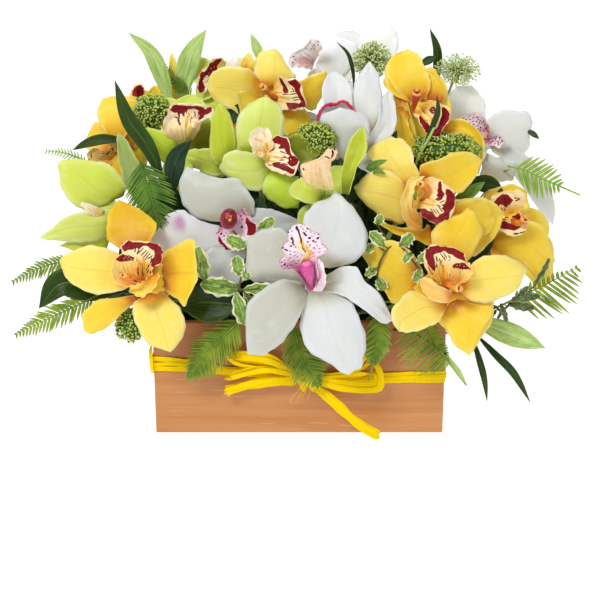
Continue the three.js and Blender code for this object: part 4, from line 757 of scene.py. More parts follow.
# ------------------------------------------------------------------ mesh making
class Piece:
    """Collects closed sub-meshes of one visible piece, in millimetres."""

    def __init__(self, name):
        self.name, self.v, self.f, self.m, self.fp, self.fs, self.fm, self.mats, self.n = name, [], [], [], [], [], [], [], 0

    def slot(self, mat):
        if mat not in self.mats:
            self.mats.append(mat)
        return self.mats.index(mat)

    def add(self, verts, faces, mat, fp, fs=None, fm=None):
        k = self.slot(mat)
        verts = np.asarray(verts, float)
        self.v.append(verts)
        self.f.extend([tuple(int(i) + self.n for i in q) for q in faces])
        self.m.extend([k] * len(faces))
        self.fp.append(np.asarray(fp, float))
        self.fs.append(np.zeros(len(verts)) if fs is None else np.asarray(fs, float))
        self.fm.append(np.full((len(verts), 3), -9.0) if fm is None else np.asarray(fm, float))
        self.n += len(verts)

    def sheet(self, P, th, mat, seed=0.0, U=None, V=None, fm=None):
        """Thin closed solid from a grid P[i][j]; th is half the thickness (number or grid)."""
        nu, nv = P.shape[:2]
        du = np.gradient(P, axis=0)
        dv = np.gradient(P, axis=1)
        N = np.cross(dv, du)
        ln = np.linalg.norm(N, axis=2, keepdims=True)
        N = N / np.maximum(ln, 1e-9)
        th = np.broadcast_to(np.asarray(th, float), (nu, nv))[:, :, None]
        top, bot = P + N * th, P - N * th
        u = np.linspace(0, 1, nu) if U is None else U
        v = np.linspace(-1, 1, nv) if V is None else V
        uu, vv = np.meshgrid(u, v, indexing="ij")
        fp = np.stack([uu, vv, np.full_like(uu, seed)], -1).reshape(-1, 3)
        idx = np.arange(nu * nv).reshape(nu, nv)
        a, b, c, d = idx[:-1, :-1].ravel(), idx[:-1, 1:].ravel(), idx[1:, 1:].ravel(), idx[1:, :-1].ravel()
        o = nu * nv
        faces = list(zip(a, b, c, d)) + list(zip(a + o, d + o, c + o, b + o))
        ring = list(idx[0, :]) + list(idx[1:, -1]) + list(idx[-1, -2::-1]) + list(idx[-2:0:-1, 0])
        for i in range(len(ring)):
            p, q = ring[i], ring[(i + 1) % len(ring)]
            faces.append((q, p, p + o, q + o))
        self.add(np.vstack([top.reshape(-1, 3), bot.reshape(-1, 3)]), faces, mat,
                 np.vstack([fp, fp]), np.concatenate([np.zeros(o), np.ones(o)]),
                 None if fm is None else np.vstack([fm.reshape(-1, 3)] * 2))

    def tube(self, pts, r, mat, sides=8, seed=0.0, flat=1.0, cap=True):
        """Round rod along pts; r is a number or one radius a point."""
        pts = np.asarray(pts, float)
        n = len(pts)
        r = np.broadcast_to(np.asarray(r, float), (n,))
        T = np.gradient(pts, axis=0)
        T /= np.linalg.norm(T, axis=1)[:, None]
        s = np.cross(T[0], (0.3, 0.2, 0.93)); s /= np.linalg.norm(s)
        rings, fp = [], []
        ang = np.linspace(0, 2 * np.pi, sides, endpoint=False)
        for i in range(n):
            s = s - T[i] * (s @ T[i]); s /= np.linalg.norm(s)
            b = np.cross(T[i], s)
            rings.append(pts[i] + r[i] * (np.cos(ang)[:, None] * s + flat * np.sin(ang)[:, None] * b))
            fp.append(np.stack([np.full(sides, i / (n - 1)), np.cos(ang), np.full(sides, seed)], -1))
        V = np.vstack(rings + [pts[:1] - T[:1] * r[0] * 0.4, pts[-1:] + T[-1:] * r[-1] * 0.5])
        F = []
        for i in range(n - 1):
            for j in range(sides):
                k = (j + 1) % sides
                F.append((i * sides + j, i * sides + k, (i + 1) * sides + k, (i + 1) * sides + j))
        e0, e1 = n * sides, n * sides + 1
        for j in range(sides):
            k = (j + 1) % sides
            F.append((e0, k, j))
            F.append((e1, (n - 1) * sides + j, (n - 1) * sides + k))
        self.add(V, F, mat, np.vstack(fp + [[[0, 0, seed]], [[1, 0, seed]]]))

    def blob(self, c, axis, rx, rz, mat, seed=0.0, nu=6, nv=8, point=0.0):
        """Egg shape on axis; fp.x runs from its root to its tip."""
        axis = unit(axis)
        s = unit(np.cross(axis, (0.31, 0.87, 0.38))); b = np.cross(axis, s)
        V, fp = [], []
        for i in range(1, nu):
            t = math.pi * i / nu
            z, r = -math.cos(t), math.sin(t)
            zz = z * rz * (1 + point * max(0, z))
            for j in range(nv):
                a = 2 * math.pi * j / nv
                V.append(c + axis * zz + rx * r * (math.cos(a) * s + math.sin(a) * b))
                fp.append(((z + 1) / 2, math.cos(a), seed))
        V.append(c - axis * rz); fp.append((0, 0, seed))
        V.append(c + axis * rz * (1 + point)); fp.append((1, 0, seed))
        F = []
        for i in range(nu - 2):
            for j in range(nv):
                k = (j + 1) % nv
                F.append((i * nv + j, i * nv + k, (i + 1) * nv + k, (i + 1) * nv + j))
        e0, e1 = (nu - 1) * nv, (nu - 1) * nv + 1
        for j in range(nv):
            k = (j + 1) % nv
            F.append((e0, k, j))
            F.append((e1, (nu - 2) * nv + j, (nu - 2) * nv + k))
        self.add(np.array(V), F, mat, np.array(fp))

    def done(self, nodes=(), smooth=True):
        me = bpy.data.meshes.new(self.name)
        V = np.vstack(self.v) * MM
        me.from_pydata(V.tolist(), [], self.f)
        for m in self.mats:
            me.materials.append(m)
        me.polygons.foreach_set("material_index", np.array(self.m, np.int32))
        me.polygons.foreach_set("use_smooth", np.full(len(self.f), smooth))
        at = me.attributes.new("fp", "FLOAT_VECTOR", "POINT")
        at.data.foreach_set("vector", np.vstack(self.fp).astype(np.float32).ravel())
        at = me.attributes.new("fs", "FLOAT", "POINT")
        at.data.foreach_set("value", np.concatenate(self.fs).astype(np.float32))
        at = me.attributes.new("fm", "FLOAT_VECTOR", "POINT")
        at.data.foreach_set("vector", np.vstack(self.fm).astype(np.float32).ravel())
        me.update()
        o = bpy.data.objects.new(self.name, me)
        scene.collection.objects.link(o)
        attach(o, "root")
        if nodes:
            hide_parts(*nodes)
        return o


def smooth_path(P, n):
    """Catmull-Rom curve through P, n + 1 points evenly spaced."""
    P = np.asarray(P, float)
    Q = np.vstack([2 * P[0] - P[1], P, 2 * P[-1] - P[-2]])
    out = []
    for i in range(1, len(Q) - 2):
        a, b, c, d = Q[i - 1:i + 3]
        for t in np.linspace(0, 1, 14, endpoint=False):
            out.append(0.5 * (2 * b + (c - a) * t + (2 * a - 5 * b + 4 * c - d) * t * t + (3 * b - a - 3 * c + d) * t ** 3))
    out.append(P[-1])
    out = np.array(out)
    s = np.concatenate([[0], np.cumsum(np.linalg.norm(np.diff(out, axis=0), axis=1))])
    w = np.linspace(0, s[-1], n + 1)
    return np.stack([np.interp(w, s, out[:, k]) for k in range(3)], 1)


def frames(C, n0):
    T = np.gradient(C, axis=0)
    T /= np.linalg.norm(T, axis=1)[:, None]
    n0 = np.asarray(n0, float)
    N = n0 - (T @ n0)[:, None] * T
    N /= np.linalg.norm(N, axis=1)[:, None]
    return T, N, np.cross(T, N)


# ------------------------------------------------------------------ bloom
def profile(u, b=0.28, m=0.5, p=2.0, q=0.62):
    a = b + (1 - b) * np.sin(np.pi / 2 * np.minimum(u / m, 1))
    c = (1 - np.clip((u - m) / (1 - m), 0, 1) ** p) ** q
    return np.where(u < m, a, c)


def tepal(pc, o, n, t, mat, rng, broad):
    NU, NV = 22, 12
    tip = arr(t["tip"])
    e = unit(tip - o)
    B = o + e * 3.0
    q = tip - B
    L = np.linalg.norm(q)
    e = q / L
    n0 = unit(n - (n @ e) * e)
    et = np.cross(n0, e)
    u = np.linspace(0, 1, NU + 1) ** 0.92
    bow, side = t.get("bow", 6), t.get("side", 0)
    k0, k1 = t.get("cup", (0.55, 0.45))
    k0 += rng.uniform(-0.08, 0.08); k1 += rng.uniform(-0.15, 0.1)
    bend = t.get("tipbend", rng.uniform(-1.5, 2.5))
    c = B + np.outer(u, q) + np.outer(4 * u * (1 - u) * bow, n0) + np.outer(4 * u * (1 - u) * side, et) \
        - np.outer(np.clip(u - 0.62, 0, 1) ** 2 / 0.144 * bend, n0)
    T = np.gradient(c, u, axis=0)
    T /= np.linalg.norm(T, axis=1)[:, None]
    N = n0 - (T @ n0)[:, None] * T
    N /= np.linalg.norm(N, axis=1)[:, None]
    Bv = np.cross(T, N)
    tw = math.radians(t.get("twist", rng.uniform(-7, 7)))
    a = (tw * u)[:, None]
    B2 = Bv * np.cos(a) + N * np.sin(a)
    N2 = -Bv * np.sin(a) + N * np.cos(a)
    pm = t.get("m", 0.5 + rng.uniform(-0.03, 0.04))
    pq = t.get("q", 0.60 + rng.uniform(-0.04, 0.06))
    w = t["w"] / 2 * profile(u, m=pm, q=pq)
    tipw = np.clip((u - 0.90) / 0.10, 0, 1)
    w = np.maximum(w * (1 - 0.18 * tipw), 0.25)
    v = np.linspace(-1, 1, NV + 1)
    k = (k0 + (k1 - k0) * u)[:, None]
    k = np.where(np.abs(k) < 1e-3, 1e-3, k)
    W = w[:, None]
    X = W * np.sin(k * v) / k
    Z = W * (1 - np.cos(k * v)) / k
    ph = rng.uniform(0, 6.28)
    amp = t.get("wave", 0.045)
    uu = u[:, None]
    env = np.sin(np.pi * np.clip(uu, 0, 1)) ** 0.5
    Z = Z + amp * W * np.abs(v) ** 3 * env * np.sin(2 * np.pi * 1.6 * uu + ph + np.where(v > 0, 2.1, 0))
    Z = Z + 0.5 * amp * W * np.abs(v) ** 4 * env * np.sin(2 * np.pi * 4.3 * uu + 2 * ph + np.where(v > 0, 0.7, 0))
    # margins roll slightly back near the tip, the midrib is a shallow groove
    Z = Z - 0.10 * W * np.abs(v) ** 4 * np.clip((uu - 0.35) / 0.5, 0, 1)
    Z = Z - 0.55 * np.exp(-(v / 0.09) ** 2) * (1 - uu) ** 0.6
    Z = Z + 0.5 * np.sin(uu * 7 + ph) * np.cos(v * 2.2 + ph * 0.5)
    P = c[:, None, :] + X[:, :, None] * B2[:, None, :] + Z[:, :, None] * N2[:, None, :]
    th = 0.55 * (1 - 0.75 * np.abs(v) ** 3)[None, :] * (1 - 0.5 * uu)
    pc.sheet(P, np.maximum(th, 0.12), mat, rng.uniform(0, 1), u, v)


def rails(spec, t):
    """Three control lines of a petal, sampled at t: left margin, midrib, right margin."""
    out = []
    for key in ("L", "M", "R"):
        P = arr(spec[key])
        Q = np.vstack([2 * P[0] - P[1], P, 2 * P[-1] - P[-2]])
        x = np.clip(t, 0, 1) * (len(P) - 1)
        i = np.minimum(x.astype(int), len(P) - 2)
        f = (x - i)[:, None]
        a, b, c, d = Q[i], Q[i + 1], Q[i + 2], Q[i + 3]
        out.append(0.5 * (2 * b + (c - a) * f + (2 * a - 5 * b + 4 * c - d) * f * f + (3 * b - a - 3 * c + d) * f ** 3))
    return out


def depth_in(poly, X):
    """Signed distance of points X to a closed polygon, positive inside."""
    A = np.asarray(poly, float)
    B = np.roll(A, -1, axis=0)
    d = np.full(len(X), 1e9)
    inside = np.zeros(len(X), bool)
    for a, b in zip(A, B):
        e = b - a
        t = np.clip(((X - a) @ e) / max(e @ e, 1e-12), 0, 1)
        d = np.minimum(d, np.linalg.norm(X - a - t[:, None] * e, axis=1))
        if abs(b[1] - a[1]) > 1e-12:
            cross = (a[1] > X[:, 1]) != (b[1] > X[:, 1])
            inside ^= cross & (X[:, 0] < (b[0] - a[0]) * (X[:, 1] - a[1]) / (b[1] - a[1]) + a[0])
    return np.where(inside, d, -d)


def railed(pc, spec, mat, rng, ruffle=False):
    """Petal or lip whose margins and midrib follow given lines, with fine relief added.
    Areas of pigment are kept as depths in the attribute fm; strips and dots of pigment are laid on top."""
    NU, NV = (52, 38) if ruffle else (30, 16)
    u = 1 - (1 - np.linspace(0, 1, NU + 1)) ** (1.1 if ruffle else 1.25)
    v = np.linspace(-1, 1, NV + 1)
    Lr, Mr, Rr = rails(spec, u)
    L, M, R = Lr[:, None, :], Mr[:, None, :], Rr[:, None, :]
    vv = v[None, :, None]
    P = M + vv * (R - L) / 2 + vv ** 2 * ((R + L) / 2 - M)
    du, dv = np.gradient(P, axis=0), np.gradient(P, axis=1)
    N = np.cross(dv, du)
    N /= np.maximum(np.linalg.norm(N, axis=2, keepdims=True), 1e-9)
    flip = (N[: NU // 2] @ VIEW).sum() < 0
    if flip:
        N = -N
    W = np.linalg.norm(R - L, axis=2) / 2
    uu, v2 = u[:, None], v[None, :]
    ph = rng.uniform(0, 6.28, 4)
    av = np.abs(v2)
    fade = np.clip(W / 6.0, 0, 1)
    side = np.where(v2 > 0, 2.3, 0.0)
    if ruffle:
        drawn = "strips" in spec or "areas" in spec or "dots" in spec
        k = 0.55 if drawn else 1.0
        front = np.clip((uu - 0.45) / 0.2, 0, 1)
        th = np.arctan2(v2, (0.80 - uu) * 2.4)
        rad = np.clip(np.sqrt(v2 ** 2 + ((uu - 0.72) * 2.6) ** 2), 0, 1.15)
        H = front * (1.6 * rad ** 4 * np.sin(7 * th + ph[0]) + 0.8 * rad ** 6 * np.sin(15 * th + ph[1])) * k
        H = H + (1 - front) * 0.7 * av ** 5 * np.sin(2 * np.pi * 6 * uu + ph[2])
        H = H + 1.2 * np.exp(-((av - 0.11) / 0.05) ** 2) * np.clip((0.68 - uu) / 0.12, 0, 1) * np.clip(uu / 0.1, 0, 1)
        H = H + 0.4 * np.sin(9 * uu + ph[3]) * np.cos(7 * v2 + ph[1]) + 0.18 * np.sin(23 * uu + ph[0]) * np.cos(17 * v2 + ph[2])
        edge = 1 + front * (0.030 * np.sin(2 * np.pi * 6.5 * uu + ph[0]) + 0.025 * np.sin(2 * np.pi * 13 * uu + ph[2] + side)) * av ** 3
    else:
        H = -0.5 * np.exp(-(v2 / 0.07) ** 2) * (1 - uu) ** 0.5
        H = H + spec.get("wave", 1.0) * (1.0 * av ** 3 * np.sin(2 * np.pi * 1.9 * uu + ph[0] + side) + 0.45 * av ** 5 * np.sin(2 * np.pi * 4.7 * uu + ph[1] + side))
        H = H + 1.0 * np.sin(4.5 * uu + ph[2]) * np.cos(2.6 * v2 + ph[3]) + 0.35 * np.sin(11 * uu + ph[1]) * np.cos(6 * v2 + ph[0])
        H = H - 1.3 * av ** 5 * np.clip((uu - 0.3) / 0.6, 0, 1)
        edge = 1 + (0.018 * np.sin(2 * np.pi * 3.1 * uu + ph[0] + side) + 0.016 * np.sin(2 * np.pi * 7.3 * uu + ph[3] + 2 * side)) * av ** 3
    P = M + (P - M) * edge[:, :, None] + N * (H * fade)[:, :, None]
    th = (0.42 if ruffle else 0.5) * (1 - 0.72 * av ** 3) * (1 - 0.45 * uu)
    half = np.linalg.norm(Rr - Lr, axis=1) / 2
    length = np.concatenate([[0], np.cumsum(np.linalg.norm(np.diff(Mr, axis=0), axis=1))])
    flat = lambda a, c: np.stack([np.interp(a, u, length), c * np.interp(a, u, half)], -1)
    fm = None
    if ruffle:
        X = flat(np.repeat(u, NV + 1), np.tile(v, NU + 1))
        fm = np.full((len(X), 3), -9.0)
        for key, polys in spec.get("areas", {}).items():
            j = 0 if key == "red" else 1
            for poly in polys:
                if len(poly) > 2:
                    q = np.asarray(poly, float)
                    fm[:, j] = np.maximum(fm[:, j], depth_in(flat(q[:, 0], q[:, 1]), X))
    thick = np.maximum(th, 0.13)
    pc.sheet(P, thick, mat, rng.uniform(0, 1), u, v, fm)
    if not ruffle:
        return
    def on(a, c, lift):
        """Points of the visible face at (a, c), lifted by so many mm."""
        a, c = np.clip(a, 0.002, 0.998), np.clip(c, -0.99, 0.99)
        i = np.clip(np.searchsorted(u, a) - 1, 0, NU - 1)
        j = np.clip(((c + 1) / 2 * NV).astype(int), 0, NV - 1)
        f = ((a - u[i]) / (u[i + 1] - u[i]))[..., None]
        g = ((c - v[j]) / (v[j + 1] - v[j]))[..., None]
        mixed = lambda G: (G[i, j] * (1 - f) + G[i + 1, j] * f) * (1 - g) + (G[i, j + 1] * (1 - f) + G[i + 1, j + 1] * f) * g
        nn = mixed(NF)
        nn /= np.maximum(np.linalg.norm(nn, axis=-1, keepdims=True), 1e-9)
        return mixed(P) + nn * (mixed(TH[:, :, None]) + np.asarray(lift)[..., None])
    du, dv = np.gradient(P, axis=0), np.gradient(P, axis=1)
    NF = np.cross(dv, du)
    NF /= np.maximum(np.linalg.norm(NF, axis=2, keepdims=True), 1e-9)
    if flip:
        NF = -NF
    TH = np.broadcast_to(thick, P.shape[:2])
    def stroke(key, path, w, n):
        q = np.asarray(path, float)
        t = np.linspace(0, len(q) - 1, n)
        a = np.interp(t, np.arange(len(q)), q[:, 0]); c = np.interp(t, np.arange(len(q)), q[:, 1])
        X = flat(a, c)
        T = np.gradient(X, axis=0)
        T /= np.maximum(np.linalg.norm(T, axis=1, keepdims=True), 1e-9)
        S = np.stack([-T[:, 1], T[:, 0]], 1)
        s = np.linspace(-1, 1, n)
        ww = w * np.maximum(1 - np.abs(s) ** 3, 0.0) ** 0.5 * (1 + 0.16 * np.sin(9 * s + ph[1])) + 0.03
        rows = []
        for e, lift in ((-1, 0.0), (-0.5, 0.09), (0, 0.13), (0.5, 0.09), (1, 0.0)):
            Y = X + S * (ww * e)[:, None]
            aa = np.interp(Y[:, 0], length, u)
            cc = Y[:, 1] / np.maximum(np.interp(aa, u, half), 0.2)
            rows.append(on(aa, cc, np.full(n, lift) - 0.02))
        G = np.stack(rows, 1)
        idx = np.arange(n * 5).reshape(n, 5)
        F = [(idx[i, j], idx[i, j + 1], idx[i + 1, j + 1], idx[i + 1, j]) for i in range(n - 1) for j in range(4)]
        pc.add(G.reshape(-1, 3), F, MARK[key], np.zeros((n * 5, 3)))
    for key, w, *path in spec.get("strips", []):
        stroke(key, path, w, 6 + 5 * len(path))
    for key, r, cu, cv in spec.get("dots", []):
        X = flat(np.array([cu]), np.array([cv]))[0]
        k = rng.uniform(0.85, 1.25)
        ang = rng.uniform(0, 3.14)
        q = X + np.array([[-1, -1], [1, 1]]) * (np.array([math.cos(ang), math.sin(ang)]) * r * k)
        aa = np.interp(q[:, 0], length, u)
        cc = q[:, 1] / np.maximum(np.interp(aa, u, half), 0.2)
        stroke(key, np.stack([aa, cc], 1), r / k, 7)


def lip(pc, o, n, ld, opt, mat, rng, kind):
    NU, NV = 34, 28
    L, Wd = opt.get("L", 44), opt.get("W", 38)
    u = np.linspace(0, 1, NU + 1)
    v = np.linspace(-1, 1, NV + 1)
    a0, a1 = opt.get("a0", 18), opt.get("a1", 112)
    al = np.radians(a0 + (a1 - a0) * u ** 1.55)
    D = np.cos(al)[:, None] * n + np.sin(al)[:, None] * ld
    c = np.vstack([np.zeros(3), np.cumsum((D[1:] + D[:-1]) / 2 * (L / NU), axis=0)]) + o + ld * 4.5
    Bv = unit(np.cross(n, ld))
    N = np.cross(D, Bv)
    if (N @ (n - ld * 0.2)).sum() < 0:
        N = -N
    Bw = np.cross(D, N)
    hw = np.interp(u, [0, 0.08, 0.2, 0.34, 0.46, 0.54, 0.60, 0.70, 0.82, 0.91, 0.965, 1.0],
                   [0.34, 0.55, 0.92, 1.08, 1.02, 0.80, 0.70, 0.86, 0.90, 0.74, 0.48, 0.22]) * Wd / 2
    for _ in range(2):
        hw[1:-1] = (hw[:-2] + 2 * hw[1:-1] + hw[2:]) / 4
    k = np.interp(u, [0, 0.15, 0.35, 0.5, 0.6, 0.72, 0.86, 1], [1.8, 1.75, 1.5, 1.15, 0.55, 0.05, -0.35, -0.6])
    k = np.where(np.abs(k) < 1e-3, 1e-3, k)[:, None]
    W = hw[:, None]
    X = W * np.sin(k * v) / k
    Z = W * (1 - np.cos(k * v)) / k
    ph = rng.uniform(0, 6.28)
    front = np.clip((u - 0.52) / 0.2, 0, 1)[:, None]
    uu = u[:, None]
    # ruffled margin all round the front lobe
    theta = np.arctan2(v * 1.0, (uu - 0.74) * 3.2)
    rad = np.clip(np.sqrt(v ** 2 + ((uu - 0.74) * 3.2) ** 2), 0, 1.2)
    Z = Z + front * 1.9 * rad ** 3 * np.sin(6.0 * theta + ph)
    Z = Z + front * 0.9 * rad ** 4 * np.sin(13.0 * theta + 1.7 * ph)
    # side lobes: upper edge slightly frilled
    Z = Z + (1 - front) * 0.8 * np.abs(v) ** 5 * np.sin(2 * np.pi * 5 * uu + ph)
    # two keels down the middle of the throat
    keel = np.exp(-((np.abs(v) - 0.10) / 0.055) ** 2) * np.clip((0.62 - uu) / 0.15, 0, 1) * np.clip(uu / 0.12, 0, 1)
    Z = Z + 1.7 * keel
    P = c[:, None, :] + X[:, :, None] * Bw[:, None, :] + Z[:, :, None] * N[:, None, :]
    th = 0.5 * (1 - 0.7 * np.abs(v) ** 3)[None, :] * (1 - 0.4 * uu)
    pc.sheet(P, np.maximum(th, 0.14), mat, rng.uniform(0, 1), u, v)


def column(pc, o, n, ld, kind, mat, rng, L=24):
    """Curved column arching over the lip, with its cap at the tip."""
    k = np.linspace(0, 1, 13)
    c = o + np.outer(k * L, n) + np.outer(4.5 * k ** 2.2, ld) + np.outer(-2.5 * np.sin(np.pi * k), ld)
    r = np.interp(k, [0, 0.15, 0.5, 0.8, 0.93, 1.0], [5.2, 4.2, 3.3, 4.1, 3.9, 2.2])
    pc.tube(c, r, mat, 14, rng.uniform(0, 1), flat=0.85)
    d = unit(c[-1] - c[-2])
    pc.blob(c[-1] + d * 0.4 + ld * 0.7, unit(d + 0.5 * ld), 3.0, 2.6, mat, 0.5, 7, 10)


def bloom(b):
    rng = np.random.default_rng(sum(ord(ch) for ch in b["name"]))
    o, n, ld = arr(b["o"]), unit(b["n"]), unit(b["ld"])
    kind = b["kind"]
    drawn = RAILS.get(b["name"], {"skip": [], "petals": [], "lips": [], "col": None})
    pc = Piece(b["name"] + "_bloom")
    for i, t in enumerate(b["tepals"]):
        if i not in drawn["skip"]:
            tepal(pc, o + n * (0.6 if i % 2 else -0.4), n, t, PET[kind], rng, i > 1)
    for t in drawn["petals"]:
        railed(pc, t, PET["M"] if t.get("blotch") else PET[t["look"]] if t.get("look") else PET["GS"] if t.get("sage") else PET[kind + "P"] if t.get("pale") else PET[kind], rng)
    if drawn["lips"]:
        for t in drawn["lips"]:
            look = t.get("tone", "side") if t["kind"] == "side" else "outside" if t.get("outside") else "lip"
            if b["name"] == "white_top_back":
                look = "soft"
            m = LIP["C"] if b["name"] == "white_centre_back" else INK.get((kind, look), INK.get((kind, t["kind"])))
            railed(pc, t, m, rng, True)
    else:
        lip(pc, o, n, ld, b["lip"], LIP[kind], rng, kind)
    for key, w, path in drawn.get("ribbons", []):
        c = smooth_path(path, 40)
        pc.tube(c, w * np.interp(np.linspace(0, 1, 41), [0, 0.08, 0.92, 1], [0.4, 1, 1, 0.4]) * (1 + 0.14 * np.sin(np.arange(41) * 1.9)), MARK[key], 8, 0.5)
    if drawn["col"] == "none":
        pass
    elif drawn["col"]:
        c = smooth_path(drawn["col"]["p"], 14)
        k = drawn["col"]["r"]
        look = COL[drawn["col"].get("key", kind)]
        rad = k * np.interp(np.linspace(0, 1, 15), [0, 0.15, 0.5, 0.8, 0.93, 1.0], [4.4, 3.6, 3.1, 3.9, 4.2, 3.4])
        if drawn["col"].get("key") == "tip":
            rad = k * np.interp(np.linspace(0, 1, 15), [0, 0.3, 0.6, 0.8, 0.93, 1.0], [1.6, 2.3, 3.0, 4.0, 4.2, 3.0])
        if drawn["col"].get("key") == "pink":
            rad = k * np.interp(np.linspace(0, 1, 15), [0, 0.25, 0.5, 0.72, 0.86, 0.95, 1.0], [1.0, 1.8, 3.0, 4.5, 4.7, 3.6, 1.2])
        if not drawn["col"].get("hood"):
            pc.tube(c, rad, look, 18, 0.3, flat=0.85)
        e = unit(c[-1] - c[-2])
        side = unit(np.cross(e, VIEW))
        if drawn["col"].get("key") == "pink":
            pc.blob(c[-2] - e * 0.6, e, 4.3 * k, 3.4 * k, look, 0.3, 12, 20)
        if drawn["col"].get("hood"):
            q = c[-1] - arr((0, 0, 1.6))
            pc.blob(q - VIEW * 1.0, (0.25, -0.2, 1.0), 6.8, 8.6, look, 0.5, 14, 22)
            pc.blob(q + VIEW * 4.4 + arr((0.6, 0, -1.2)), VIEW, 4.6, 3.0, MARK["r"], 0.5, 9, 18)
            pc.blob(q + VIEW * 6.6 + arr((0.3, 0, 1.0)), (0.9, -0.3, 0.2), 1.7, 2.6, COL["tip"], 0.5, 8, 14)
            pc.blob(q + VIEW * 6.6 + arr((1.2, 0, -1.4)), (0.6, -0.3, 0.5), 1.3, 2.0, MARK["o"], 0.5, 8, 14)
        elif drawn["col"].get("key") == "ring":
            pc.blob(c[-1] + e * 0.4, e, 3.0 * k, 0.9 * k, MARK["d"], 0.5, 8, 16)
            pc.blob(c[-1] + e * 1.6 * k, e, 1.7 * k, 1.0 * k, MARK["o"], 0.5, 8, 14)
            pc.blob(c[-1] + e * 2.2 * k + side * 0.5 * k, e, 0.9 * k, 0.7 * k, MARK["c"], 0.5, 7, 10)
        elif drawn["col"].get("key") != "pink":
            cap = unit(e + VIEW * 0.5)
            pc.blob(c[-1] + e * 0.5 * k, cap, 3.3 * k, 2.2 * k, look, 0.9, 8, 14)
            if kind != "W":
                pc.blob(c[-1] + e * 0.9 * k + cap * 1.3 * k, cap, 1.6 * k, 1.3 * k, MARK["o"], 0.95, 7, 12)
                pc.blob(c[-1] - e * 1.5 * k + VIEW * 3.0 * k, VIEW, 1.7 * k, 0.8 * k, MARK["b" if kind == "Y" else "o"], 0.5, 6, 10)
    elif b["name"] != "white_centre_back":
        column(pc, o, n, ld, kind, COL[kind], rng)
    # receptacle and pedicel
    back = smooth_path(b["stem"], 26)
    r = np.interp(np.linspace(0, 1, 27), [0, 0.05, 0.12, 1], [4.6, 3.6, 2.1, 1.9])
    pc.tube(back, r, STEM, 10)
    core = {"white_front": 11.0, "yellow_front_left": 11.0, "yellow_front_right": 12.0, "yellow_mid_right": 11.0}.get(b["name"], 6.2)
    pc.blob(o - n * (4.0 if core > 7 else 1.0), n, core, 3.4, PET["YD" if kind == "Y" and core > 7 else kind], 0.3, 9, 20)
    pc.done([b["name"]])


# ------------------------------------------------------------------ leaves, fronds, buds, sprigs
def blade(pc, path, w, mat, rng, fold=0.22, nu=26, nv=8, n0=VIEW, shape=None, th=0.35, wave=0.02, undulate=0.6, frill=0.0):
    C = smooth_path(path, nu)
    T, N, B = frames(C, n0)
    u = np.linspace(0, 1, nu + 1)
    v = np.linspace(-1, 1, nv + 1)
    if shape is None:
        hw = np.interp(u, [0, 0.06, 0.2, 0.42, 0.6, 0.8, 0.92, 1.0], [0.10, 0.2, 0.66, 0.98, 1.0, 0.66, 0.30, 0.02])
        for _ in range(2):
            hw[1:-1] = (hw[:-2] + 2 * hw[1:-1] + hw[2:]) / 4
    else:
        hw = shape(u)
    W = (w / 2 * hw)[:, None]
    ph = rng.uniform(0, 6.28)
    X = W * v
    Z = fold * W * (np.sqrt(v ** 2 + 0.02) - 0.14) + wave * w * np.abs(v) ** 2 * np.sin(2 * np.pi * 1.3 * u[:, None] + ph + np.where(v > 0, 1.5, 0)) \
        + undulate * np.sin(5 * u[:, None] + ph)
    if frill:
        e = np.where(v > 0, 1.9, 0.0)
        Z = Z + frill * w * np.abs(v) ** 3 * np.sin(2 * np.pi * 3.4 * u[:, None] + ph + e)
        X = X * (1 + 0.11 * np.abs(v) ** 2 * np.sin(2 * np.pi * 3.4 * u[:, None] + 1.3 + ph + e))
    P = C[:, None, :] + X[:, :, None] * B[:, None, :] + Z[:, :, None] * N[:, None, :]
    pc.sheet(P, np.maximum(th * (1 - 0.6 * np.abs(v)), 0.1)[None, :], mat, rng.uniform(0, 1), u, v)
    return C


def leaf_sprig(f):
    rng = np.random.default_rng(sum(ord(ch) for ch in f["name"]))
    pc = Piece(f["name"] + "_sprig")
    pc.tube(smooth_path(f["stem"], 24), 1.1, LEAF["fill"] if f["blades"][0]["tone"] != "light" else LEAF["light"], 8)
    for b in f["blades"]:
        mat = LEAF[b["tone"]]
        C = blade(pc, b["path"], b["w"], mat, rng)
        pc.tube(C[: int(len(C) * 0.55)] - VIEW * 0.2, np.linspace(0.9, 0.35, int(len(C) * 0.55)), mat, 6)
    pc.done([f["name"]])


FERN_STYLE = {  # tone, leaflet spacing mm, leaflet half width mm, forward lean, droop mm, first and last leaflet
    "fern_left_upper": ("mid", 3.1, 0.95, 0.75, 2.5, 0.0, 1.0), "fern_left_lower": ("mid", 3.3, 1.05, 0.8, 3, 0.0, 1.0),
    "fern_centre_left": ("dark", 1.75, 0.72, 0.62, 3.0, 0.0, 1.0), "fern_right_upper": ("pale", 4.0, 1.30, 0.60, 0.5, 0.10, 0.74),
    "fern_right_lower": ("mid", 4.0, 1.30, 0.42, 2, 0, 1), "fern_front_left": ("mid", 1.25, 0.60, 0.62, 5, 0.0, 1.0),
    "fern_front_centre": ("mid", 1.25, 0.60, 0.60, 5, 0.0, 1.0), "fern_front_right": ("mid", 2.2, 1.35, 0.7, 3, 0.0, 0.74),
    "fern_front_far_right": ("mid", 1.0, 0.50, 0.15, 3, 0.0, 0.66), "fern_back": ("mid", 2.4, 1.0, 0.75, 3, 0.0, 1.0),
}


